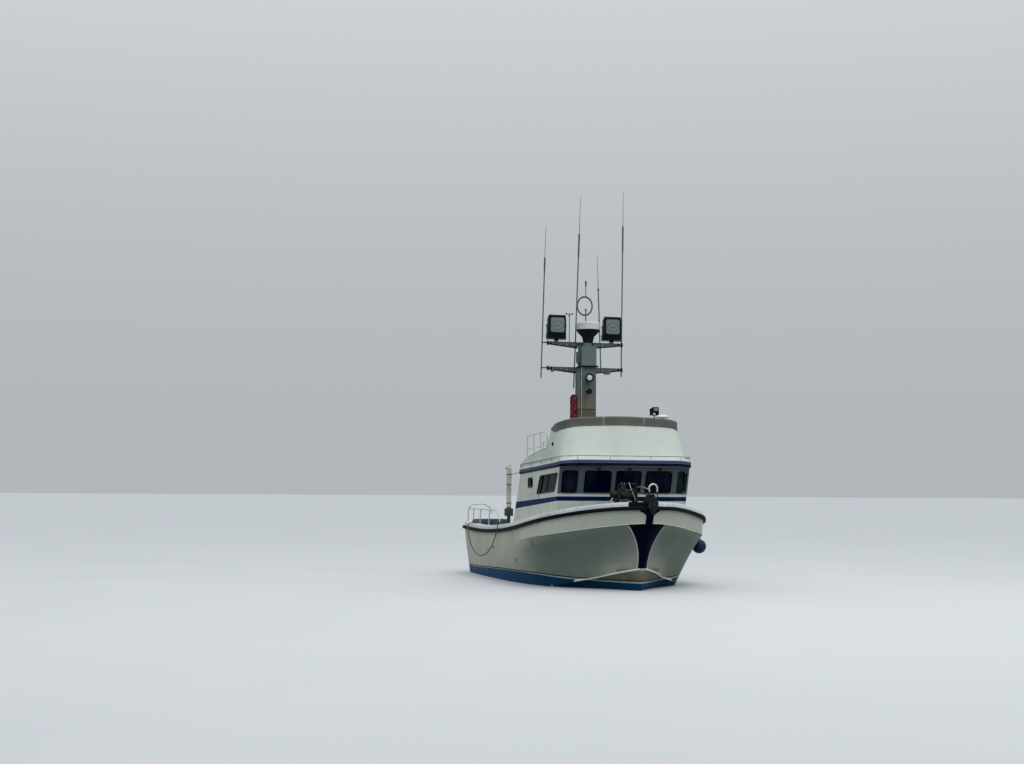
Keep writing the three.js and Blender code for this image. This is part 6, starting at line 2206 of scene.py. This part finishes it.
@dataclass
class AnchorGear:
    """The line on the winch drum, the chain to the anchor, and the winch's pipes and brake."""

    drum: Point = (-0.33, -3.96, 2.39)
    drum_x: tuple[float, float] = (-0.498, -0.162)
    line_radius: float = 0.0115
    layers: Sequence[float] = (0.0925, 0.113)
    chain_from: Point = (0.0, -4.535, 2.385)
    chain_to: Point = (-0.30, -4.045, 2.487)
    link: float = 0.046
    link_bar: float = 5.5 * MM

    def build(self) -> None:
        """Makes them all."""
        self.wound_line()
        self.chain()
        self.winch()

    def wound_line(self) -> None:
        """Winds the line on the drum in layers."""
        shape, (x0, x1), per_turn = Shape(), self.drum_x, 26
        for number, radius in enumerate(self.layers):
            turns = int((x1 - x0) / (2 * self.line_radius)) - number
            count = turns * per_turn
            line = []
            for k in range(count + 1):
                a = 2 * math.pi * k / per_turn
                share = k / count if number % 2 == 0 else 1 - k / count
                jitter = 0.0022 * noise.noise(Vector((a * 0.5, number * 7.0, 0)))
                reach = radius + jitter
                x = x0 + self.line_radius + (x1 - x0 - 2 * self.line_radius) * share
                line.append((x, self.drum[1] + reach * math.cos(a), self.drum[2] + reach * math.sin(a)))
            shape.tube(line, self.line_radius, 9, lobes=3, lay=0.08, groove=0.15)
        shape.piece("anchor_line_wound", ANCHOR_LINE, "rope_fibre", body="anchor_winch_drum", sharp=180.0)

    def chain(self) -> None:
        """Lays a taut chain from the anchor's shank to the winch, with a shackle at the shank."""
        shape, start, end = Shape(), Vector(self.chain_from), Vector(self.chain_to)
        way = (end - start).normalized()
        up = (Vector((0, 0, 1)) - way * way.z).normalized()
        flat = way.cross(up)
        count = int((end - start).length / (self.link * 0.72))
        for k in range(count):
            middle = start + way * (self.link * 0.72 * (k + 0.5))
            across = up if k % 2 else flat
            path = [middle + way * (self.link * 0.5 * math.cos(a) * 0.92) + across * (0.015 * math.sin(a))
                    for a in full_turn(14)]
            shape.tube(path, self.link_bar, 6, closed=True)
        bow = [start + Vector((0, -0.045, 0)) + Vector((x, y, z)) for x, y, z in (
            (0.022, -0.012, 0), (0.024, 0.02, 0), (0.016, 0.05, 0), (0, 0.06, 0), (-0.016, 0.05, 0),
            (-0.024, 0.02, 0), (-0.022, -0.012, 0))]
        shape.tube(eased(bow, 0.01), 7 * MM, 8)
        pin = start + Vector((0, -0.055, 0))
        shape.tube([pin - Vector((0.036, 0, 0)), pin + Vector((0.036, 0, 0))], 7 * MM, 8)
        shape.piece("anchor_chain", DARK_STEEL, "galvanised")

    def winch(self) -> None:
        """Pipes the winch's motor, bolts its bed down and gives it a brake lever, a box and a hoop ahead.

        Known fault: the lever and the box reach into the turning drum.
        """
        shape, pipes, x0 = Shape(), Shape(), -0.725
        _, middle_y, middle_z = self.drum
        disc(shape, along((x0 + 0.002, middle_y, middle_z), (-2, middle_y, middle_z)), 0.062, 0.022, 24)
        for a in QUARTERS:
            y, z = middle_y + 0.07 * math.cos(a), middle_z + 0.07 * math.sin(a)
            bolts(shape, [along((x0 + 0.001, y, z), (-2, y, z))], 8 * MM, 8 * MM)
        floor = Skin("hull_bow", "anchor_winch_frame")
        for y in (-3.935, -3.985):
            z = floor.under(x0 - 0.045, y + 0.1, 2.3).z
            pipes.tube(eased([(x0 + 0.05, y, 2.31), (x0 + 0.03, y, 2.26), (x0 - 0.02, y + 0.03, 2.20),
                              (x0 - 0.045, y + 0.1, 2.12), (x0 - 0.045, y + 0.1, z)], 0.02), 0.011, 10)
            disc(shape, at(x0 - 0.045, y + 0.1, z - 0.001), 0.024, 0.012, 6)
            disc(shape, at(x0 + 0.05, y, 2.300), 0.018, 0.024, 6)
        for x in (-0.60, -0.06):
            for y in (-4.17, -3.75):
                bolts(shape, [at(x, y, floor.under(x, y, 2.2).z - 0.001)], 14 * MM, 12 * MM)
        lever = [(-0.135, -4.10, 2.22), (-0.165, -4.10, 2.34), (-0.235, -4.09, 2.50), (-0.300, -4.085, 2.685)]
        pipes.tube(eased(lever, 0.03), 0.012, 10)
        pipes.tube(eased([(-0.097, -4.06, 2.565), (-0.100, -4.35, 2.575), (-0.112, -4.72, 2.55),
                          (-0.118, -4.965, 2.515)], 0.04), 0.014, 10)
        hoop = arc((0, -4.985, 2.535), 0.108, -14, 194, 24)
        feet = [hoop[0] - Vector((0.006, 0, 0.05)), hoop[-1] - Vector((-0.006, 0, 0.05))]
        pipes.tube([feet[0], *hoop, feet[1]], 0.0205, 12)
        shape.block((-0.505, -4.105, 2.50), (-0.385, -4.035, 2.635), 8 * MM)
        shape.block((-0.49, -4.111, 2.52), (-0.40, -4.104, 2.61), 3 * MM)
        for x in (-0.48, -0.41):
            pipes.tube([(x, -4.066, 2.62), (x, -4.066, 2.668), (x, -4.05, 2.672)], 6 * MM, 8)
        for x in (-0.086, 0.086):
            disc(shape, along((x * 0.86, -4.885, 2.295), (x * 20, -4.885, 2.295)), 0.020, 0.010, 6)
        shape.piece("winch_fittings", DARK_STEEL, "galvanised")
        pipes.piece("winch_pipes", RAIL_STEEL, "rail_steel")


@dataclass
class Fender:
    """The round fender at the port rail: a moulded ball with an eye, on a laid lanyard."""

    centre: Point = (2.4547, -2.0, 1.01)
    radius: float = 0.189
    lanyard: Sequence[Point] = (
        (2.4547, -2.0, 1.262), (2.4547, -2.0, 1.58), (2.4520, -2.0, 1.68), (2.425, -2.0, 1.752),
        (2.3947, -2.0, 1.776), (2.345, -2.0, 1.778), (2.29, -2.0, 1.768), (2.2497, -2.0, 1.7585))
    rope: float = 7.6 * MM

    def build(self) -> None:
        """Makes the ball, its ribbed neck and the lanyard with its knots."""
        x, y, z = self.centre
        sphere = [(self.radius * math.sin(a), -self.radius * math.cos(a))
                  for a in (math.pi * k / 28 for k in range(1, 25))]
        neck = [(0.062, 0.166), (0.048, 0.172), (0.042, 0.186), (0.044, 0.194), (0.038, 0.200), (0.040, 0.210),
                (0.034, 0.218), (AXIS, 0.220)]
        ball = Shape().turned([(AXIS, -self.radius), *sphere, *neck], at(x, y, z), 48)
        ball.turned([(0.188, -0.006), (0.1905, -0.002), (0.1905, 0.002), (0.188, 0.006)],
                    at(x, y, z) @ spin("X", 90), 56, closed=True)
        eye = [(x + 0.024 * math.cos(a), y, z + 0.232 + 0.020 * math.sin(a)) for a in full_turn(16)]
        ball.tube(eye, 0.010, 8, closed=True)
        made = ball.piece("fender_ball", BUOY_VINYL, "buoy_vinyl", sharp=50.0)
        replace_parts(made, "fender_buoy")
        line = Shape().tube(eased(self.lanyard, 0.008), self.rope, 9, lobes=3, lay=0.05, groove=0.16)
        for k in range(4):
            ring(line, at(x, y, 1.285 + 0.0145 * k), 0.0125, self.rope, 14, 7)
        for k in range(2):
            turn = at(2.2570 + 0.0165 * k, -2.0, 1.7605 + 0.003 * k) @ spin("Y", 90)
            ring(line, turn, 0.0125, self.rope, 14, 7)
        loop = [(x + 0.015 * math.cos(a), y + 0.012 * math.sin(a), 1.243 + 0.024 * math.sin(a))
                for a in full_turn(18)]
        line.tube(loop, self.rope, 8, closed=True)
        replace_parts(line.piece("fender_lanyard", ROPE_FIBRE, "rope_fibre", sharp=180.0), "fender_buoy")


# Working deck


@dataclass
class NetReel:
    """The reel with its plated flanges and the net wound on it."""

    axis: tuple[float, float] = (2.45, 1.43)
    flange: float = 0.519
    flange_x: float = 0.550
    core: float = 0.20
    shaft: float = 0.044
    shaft_x: tuple[float, float] = (-0.689, 0.679)
    full: float = 0.452
    half: float = 0.528
    reach: float = 0.497
    around: int = 88
    across: int = 64
    line_turns: int = 9
    line_points: int = 36
    float_every: int = 23

    def place(self) -> Matrix:
        """The reel's axis as a place whose Z axis points to port."""
        return at(0, *self.axis) @ spin("Y", 90)

    def build(self) -> None:
        """Makes the spool and the net."""
        self.spool()
        self.net()

    def spool(self) -> None:
        """Makes the shaft, the core and two flanges with ribs and a rolled rim."""
        place, shape = self.place(), Shape()
        x0, x1 = self.shaft_x
        shape.turned([(AXIS, x0), (self.shaft, x0), (self.shaft, x1), (AXIS, x1)], place, 28)
        shape.turned([(AXIS, -0.54), (self.core, -0.54), (self.core, 0.54), (AXIS, 0.54)], place, 40)
        for side in (-1, 1):
            middle = side * self.flange_x
            shape.turned([(0.040, middle - 0.005), (self.flange - 0.02, middle - 0.005),
                          (self.flange - 0.02, middle + 0.005), (0.040, middle + 0.005)], place, 56)
            rim = place @ at(0, 0, middle)
            ring(shape, rim, self.flange - 0.0125, 0.0125, 64, 10)
            shape.turned([(0.05, middle + side * 0.004), (0.105, middle + side * 0.004),
                          (0.10, middle + side * 0.0095), (0.05, middle + side * 0.0095)][::side], rim @ at(
                              0, 0, -middle), 28, closed=True)
            for a in full_turn(8):
                turn = rim @ Matrix.Rotation(a, 4, "Z")
                low, high = sorted((side * 0.004, side * 0.0095))
                shape.block((0.11, -0.014, low), (self.flange - 0.03, 0.014, high), 2 * MM, turn)
        spool = shape.piece("net_reel_spool", GALVANISED, "galvanised", body="net_reel")
        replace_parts(spool, "net_reel")

    def net(self) -> None:
        """Winds the lumpy net with its float line and its lead line."""
        place, rings = self.place(), []
        for i in range(self.across + 1):
            share = i / self.across
            x = -self.half + 2 * self.half * share
            swell = 0.040 * math.sin(math.pi * share) ** 0.5
            ring_points = []
            for a in full_turn(self.around):
                spot = Vector((x * 3.2, 2.2 * math.cos(a), 2.2 * math.sin(a)))
                fold = 0.030 * noise.noise(spot * 1.4) + 0.014 * noise.noise(spot * 4.0)
                strand = 0.006 * math.sin(58 * share * math.pi + 3 * noise.noise(spot))
                reach = min(self.full - 0.030 + swell + fold + strand, self.reach)
                ring_points.append(place @ Vector((reach * math.cos(a), reach * math.sin(a), x)))
            rings.append(ring_points)
        net = Shape().loft(rings)
        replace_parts(net.piece("net_wound", NET_TWINE, "net_twine", body="net_reel", sharp=180.0), "net_reel")
        lines, floats = Shape(), Shape()
        for start, reach, twist in ((0.0, 0.478, 1.0), (0.5, 0.470, -1.0)):
            path, count = [], self.line_turns * self.line_points
            for k in range(count + 1):
                a = 2 * math.pi * k / self.line_points
                share = 0.5 + 0.46 * math.sin(2 * math.pi * (k / count * 1.5 + start))
                x = -self.half + 0.03 + (2 * self.half - 0.06) * share
                wide = reach + 0.012 * noise.noise(Vector((a, x * 5, start)))
                path.append(place @ Vector((wide * math.cos(a * twist), wide * math.sin(a * twist), x)))
            lines.tube(path, 6 * MM, 7, lobes=3, lay=0.04, groove=0.15)
            egg = [(AXIS, -0.058), (0.016, -0.054), (0.026, -0.03), (0.029, 0), (0.026, 0.03),
                   (0.016, 0.054), (AXIS, 0.058)]
            middle = place.translation
            for k in range(9, count - 9, self.float_every if twist > 0 else count):
                way = (path[k + 1] - path[k - 1]).normalized()
                radial = path[k] - Vector((path[k].x, middle.y, middle.z))
                seat = path[k] - radial.normalized() * 0.004
                floats.turned(egg, along(seat, seat + way), 14)
        lines.piece("net_lines", ROPE_FIBRE, "rope_fibre", body="net_reel", sharp=180.0)
        floats.piece("net_floats", FLOAT_FOAM, "net_twine", body="net_reel", sharp=60.0)


@dataclass
class DeckFittings:
    """The hatches' handles and straps, the hull's beads, rails and outlets, and the deck's bolted plates."""

    hatches: Sequence[tuple[str, float, float, float, float, float]] = (
        ("fish_hatch_starboard", -1.11, 2.83, 3.60, 0.667, 0.30),
        ("fish_hatch_port", 1.11, 2.83, 3.60, 0.667, 0.30),
        ("engine_hatch", 0.0, -1.01, 0.27, 0.819, 0.34),
        ("foredeck_hatch", 0.56, -3.71, -3.25, 2.059, 0.18),
    )
    outlets: Sequence[tuple[float, float, float]] = ((1.20, 0.885, 0.034), (-0.759, 0.617, 0.026),
                                                     (2.05, 0.80, 0.022))
    plates: Sequence[tuple[float, float]] = ((2.10, -0.75), (-2.10, -0.75), (2.12, 0.10))
    knuckle: Sequence[Point] = (
        (0.040, -4.720, 1.670), (0.310, -4.650, 1.665), (0.640, -4.450, 1.635), (1.040, -4.130, 1.580),
        (1.540, -3.620, 1.485), (2.095, -3.030, 1.355), (2.300, -2.350, 1.255), (2.350, -1.430, 1.150))

    def build(self) -> None:
        """Makes them all."""
        for name, x, hinge, handle, top, half in self.hatches:
            self.hatch(name, x, hinge, handle, top, half)
        self.knuckle_bead()
        self.spray_rails()
        self.hull_outlets()
        self.deck_plates()
        self.fairleads()

    def hatch(self, name: str, x: float, hinge: float, handle: float, top: float, half: float) -> None:
        """Fits one hatch with two strap hinges and a flush ring handle.

        Args:
            name: The hatch's body.
            x: Its middle.
            hinge: Where its hinge line runs.
            handle: Where its handle is.
            top: The height of its upper face.
            half: How far the straps stand from the middle.
        """
        shape, base = Shape(), top - 0.001
        for side in (-1, 1):
            strap = x + side * half
            shape.block((strap - 0.022, hinge + 0.045, base),
                        (strap + 0.022, hinge + 0.245, base + 0.006), 2 * MM)
            bolts(shape, (at(strap, hinge + y, base + 0.006) for y in (0.08, 0.14, 0.20)), 8 * MM, 4 * MM)
        shape.block((x - 0.075, handle - 0.042, base), (x + 0.075, handle + 0.042, base + 0.005), 2 * MM)
        corners = box_corners(-0.052, -0.024, 0.052, 0.024)
        grip = rounded([(x + u, handle + v, base + 0.011) for u, v in corners], 0.02)
        shape.tube(grip, 5 * MM, 8, closed=True)
        bolts(shape, (at(x + u, handle + v, base + 0.005) for u in (-0.064, 0.064) for v in (-0.03, 0.03)),
              5 * MM, 3 * MM)
        shape.piece(f"{name}_fittings", RAIL_STEEL, "rail_steel", body=name)

    def knuckle_bead(self) -> None:
        """Runs a moulded bead along the hull's knuckle, which thins out toward the stern."""
        shape, skin = Shape(), Skin("hull_bow", "hull_sides")
        for side in Side:
            path = []
            for spot in eased(self.knuckle, 0.06):
                start = Vector((side.value * (spot.x + 0.25), spot.y - 0.25 * (spot.y < -3.6), spot.z))
                goal = Vector((side.value * (spot.x - 0.05), spot.y + 0.05 * (spot.y < -3.6), spot.z))
                found = skin.tree.ray_cast(start, (goal - start).normalized())[0]
                path.append(found or Vector((side.value * spot.x, spot.y, spot.z)))
            shape.tube(path, lambda share: 0.017 - 0.012 * share, 8)
        shape.piece("knuckle_bead", HULL_PAINT, "hull_paint", sharp=60.0)

    def spray_rails(self) -> None:
        """Runs a pale rail along each chine at the bow, which throws the spray outward."""
        shape, skin = Shape(), Skin("hull_bow", "hull_sides", "hull")
        for side in Side:
            path = []
            for k in range(18):
                y = -4.255 + 0.082 * k
                path.append(skin.beside(side, y, 0.548 - CHINE_FALL * (y - CHINE_START))[0])
            shape.tube(path, lambda share: 0.022 + 0.030 * share * (1 - share), 12)
        shape.piece("spray_rails", RAIL_CREAM, "hull_paint", sharp=60.0)

    def hull_outlets(self) -> None:
        """Sets a lipped outlet at each place in the hull's two sides, with a dark bore."""
        shape, bore, skin = Shape(), Shape(), Skin("hull", "hull_sides")
        for side in Side:
            for y, z, radius in self.outlets:
                spot, normal = skin.beside(side, y, z)
                place = along(spot - normal * 0.002, spot + normal)
                shape.turned([(radius, 0), (radius * 1.5, 0), (radius * 1.5, 0.006), (radius * 1.3, 0.012),
                              (radius, 0.012)], place, 28, closed=True)
                disc(bore, place, radius * 1.02, 0.004, 24)
        shape.piece("hull_outlets", GREY_STEEL, "rail_steel")
        bore.piece("hull_outlet_bores", RUBBER, "black_rubber")

    def deck_plates(self) -> None:
        """Sets filler caps in the side decks."""
        shape, deck = Shape(), Skin("hull_sides", "hull_bow")
        for x, y in self.plates:
            place = Matrix.Translation(deck.under(x, y, 3.0) - Vector((0, 0, 0.001)))
            disc(shape, place, 0.060, 0.006, 32)
            disc(shape, place @ at(0, 0, 0.006), 0.042, 0.003, 28)
            bolts(shape, around(place, 0.051, 0.006, (0.5, 2.6, 4.7)), 5 * MM, 3 * MM)
        shape.piece("deck_filler_caps", RAIL_STEEL, "rail_steel")

    def fairleads(self) -> None:
        """Bolts each cleat down to the cap."""
        shape, cap = Shape(), Skin("gunwale_cap")
        for side in Side:
            for x, y in ((2.3116, 0.35), (2.2355, 3.65)):
                for u, v in ((-0.034, -0.085), (0.034, -0.085), (-0.034, 0.085), (0.034, 0.085)):
                    spot = cap.under(side.value * x + u, y + v, 3.0)
                    bolts(shape, [Matrix.Translation(spot - Vector((0, 0, 0.001)))], 9 * MM, 8 * MM)
        shape.piece("cleat_bolts", GALVANISED, "galvanised")


@dataclass
class SternGear:
    """The rails' feet and joints, the bin's ribs, the stern roller's strips and the reel stand's bolts."""

    feet: Sequence[tuple[float, float]] = ((2.3125, 0.56), (2.296, 1.9), (2.265, 3.0), (2.221, 3.95),
                                           (2.175, 4.79))
    rail_z: float = 1.90
    roller: tuple[float, float] = (4.715, 1.615)
    roller_half: float = 0.466

    def build(self) -> None:
        """Makes them all."""
        self.rail_feet()
        self.bin()
        self.rollers()
        self.reel_stand()

    def rail_feet(self) -> None:
        """Sets a bolted flange under each foot and a collar under each joint of the rails."""
        shape, cap = Shape(), Skin("gunwale_cap")
        for side in Side:
            for number, (x, y) in enumerate(self.feet):
                spot = cap.under(side.value * x + 0.03 * side.value, y, 1.8)
                place = at(side.value * x, y, spot.z - 0.001)
                disc(shape, place, 0.044, 0.009, 28)
                disc(shape, place @ at(0, 0, 0.009), 0.024, 0.016, 20)
                bolts(shape, around(place, 0.034, 0.009, QUARTERS), 6 * MM, 5 * MM)
                if number in (1, 2, 3):
                    disc(shape, at(side.value * (x - 0.015), y, self.rail_z - 0.034), 0.021, 0.022, 20)
        shape.piece("stern_rail_flanges", RAIL_STEEL, "rail_steel")

    def bin(self) -> None:
        """Gives the bin its rolled lip, moulded ribs and handles."""
        shape = Shape()
        lip = rounded([(x, y, 1.580) for x, y in box_corners(-1.962, 3.823, -1.173, 4.537)], 0.03)
        shape.frame(lip, 0.042, 0.016, (0, 0, 1))
        for k in range(5):
            x = -1.90 + 0.165 * k
            shape.block((x - 0.012, 3.789, 0.70), (x + 0.012, 3.803, 1.42), 5 * MM)
        for k in range(4):
            y = 3.92 + 0.175 * k
            shape.block((-1.153, y - 0.012, 0.70), (-1.139, y + 0.012, 1.42), 5 * MM)
        shape.block((-1.985, 3.787, 1.49), (-1.15, 3.803, 1.53), 6 * MM)
        shape.block((-1.153, 3.80, 1.49), (-1.137, 4.56, 1.53), 6 * MM)
        for x in (-1.78, -1.36):
            shape.tube([(x - 0.06, 3.80, 1.455), (x - 0.06, 3.770, 1.455), (x + 0.06, 3.770, 1.455),
                        (x + 0.06, 3.80, 1.455)], 9 * MM, 8)
        shape.piece("fish_bin_ribs", BIN_PLASTIC, "black_rubber")

    def rollers(self) -> None:
        """Straps rubber strips along the stern roller and sleeves its horns."""
        y, z = self.roller
        strips, caps = Shape(), Shape()
        for a in full_turn(8):
            turn = at(0, y, z) @ Matrix.Rotation(a, 4, "X")
            strips.block((-0.465, -0.012, 0.0735), (0.465, 0.012, 0.0795), 2 * MM, turn)
        for x in (-self.roller_half, self.roller_half):
            strips.turned([(0.0735, -0.011), (0.0785, -0.009), (0.0785, 0.009), (0.0735, 0.011)],
                          at(x, y, z) @ spin("Y", 90), 32, closed=True)
        strips.piece("stern_roller_strips", RUBBER, "black_rubber", body="stern_roller")
        for side in (-1, 1):
            for low in (1.76, 1.87, 1.98):
                caps.turned([(0.028, -0.028), (0.032, -0.024), (0.032, 0.024), (0.028, 0.028)],
                            at(side * 0.54, y, low), 20, closed=True)
            bolts(caps, (at(side * 0.58, y + v, 1.5265) for v in (-0.045, 0.045)), 10 * MM, 8 * MM)
        caps.piece("stern_roller_sleeves", RUBBER, "black_rubber")

    def reel_stand(self) -> None:
        """Bolts the reel's stand down, with bearing housings and pipes to its motor."""
        shape, pipes = Shape(), Shape()
        for x in (-0.64, 0.64):
            for y in (2.14, 2.76):
                bolts(shape, [at(x + u, y, 0.600) for u in (-0.045, 0.045)], 12 * MM, 12 * MM)
        axis_y, axis_z = NetReel.axis
        place = along((-0.671, axis_y, axis_z), (-2, axis_y, axis_z))
        shape.turned([(0.050, -0.004), (0.085, -0.004), (0.085, 0.012), (0.062, 0.018), (0.050, 0.018)],
                     place, 28, closed=True)
        bolts(shape, around(place, 0.072, 0.012, (0.5, 2.1, 3.6, 5.2)), 8 * MM, 6 * MM)
        for k, y in enumerate((2.41, 2.49)):
            pipes.tube(eased([(0.75, y, 1.345), (0.75, y, 1.28), (0.735 + 0.01 * k, y, 1.0),
                              (0.735 + 0.01 * k, y, 0.602)], 0.04), 0.011, 10)
            disc(shape, at(0.735 + 0.01 * k, y, 0.600), 0.022, 0.012, 6)
            disc(shape, at(0.75, y, 1.325), 0.018, 0.024, 6)
        shape.piece("net_reel_stand_bolts", GALVANISED, "galvanised")
        pipes.piece("net_reel_pipes", RAIL_STEEL, "rail_steel")


def main() -> None:
    """Builds the boat's looks in order."""
    logging.basicConfig(level=logging.INFO, format="%(name)s: %(message)s")
    Studio().build()
    for part in (CanvasCover(), FlybridgeFittings(), Windows(), HouseTrim(), Cabin(), MastRig(), AnchorGear(),
                 Fender(), NetReel(), DeckFittings(), SternGear(), MooringRope()):
        LOG.info("building %s", type(part).__name__)
        part.build()
    FrameDressing().dress()


if __name__ == "__main__":
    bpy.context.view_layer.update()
    main()
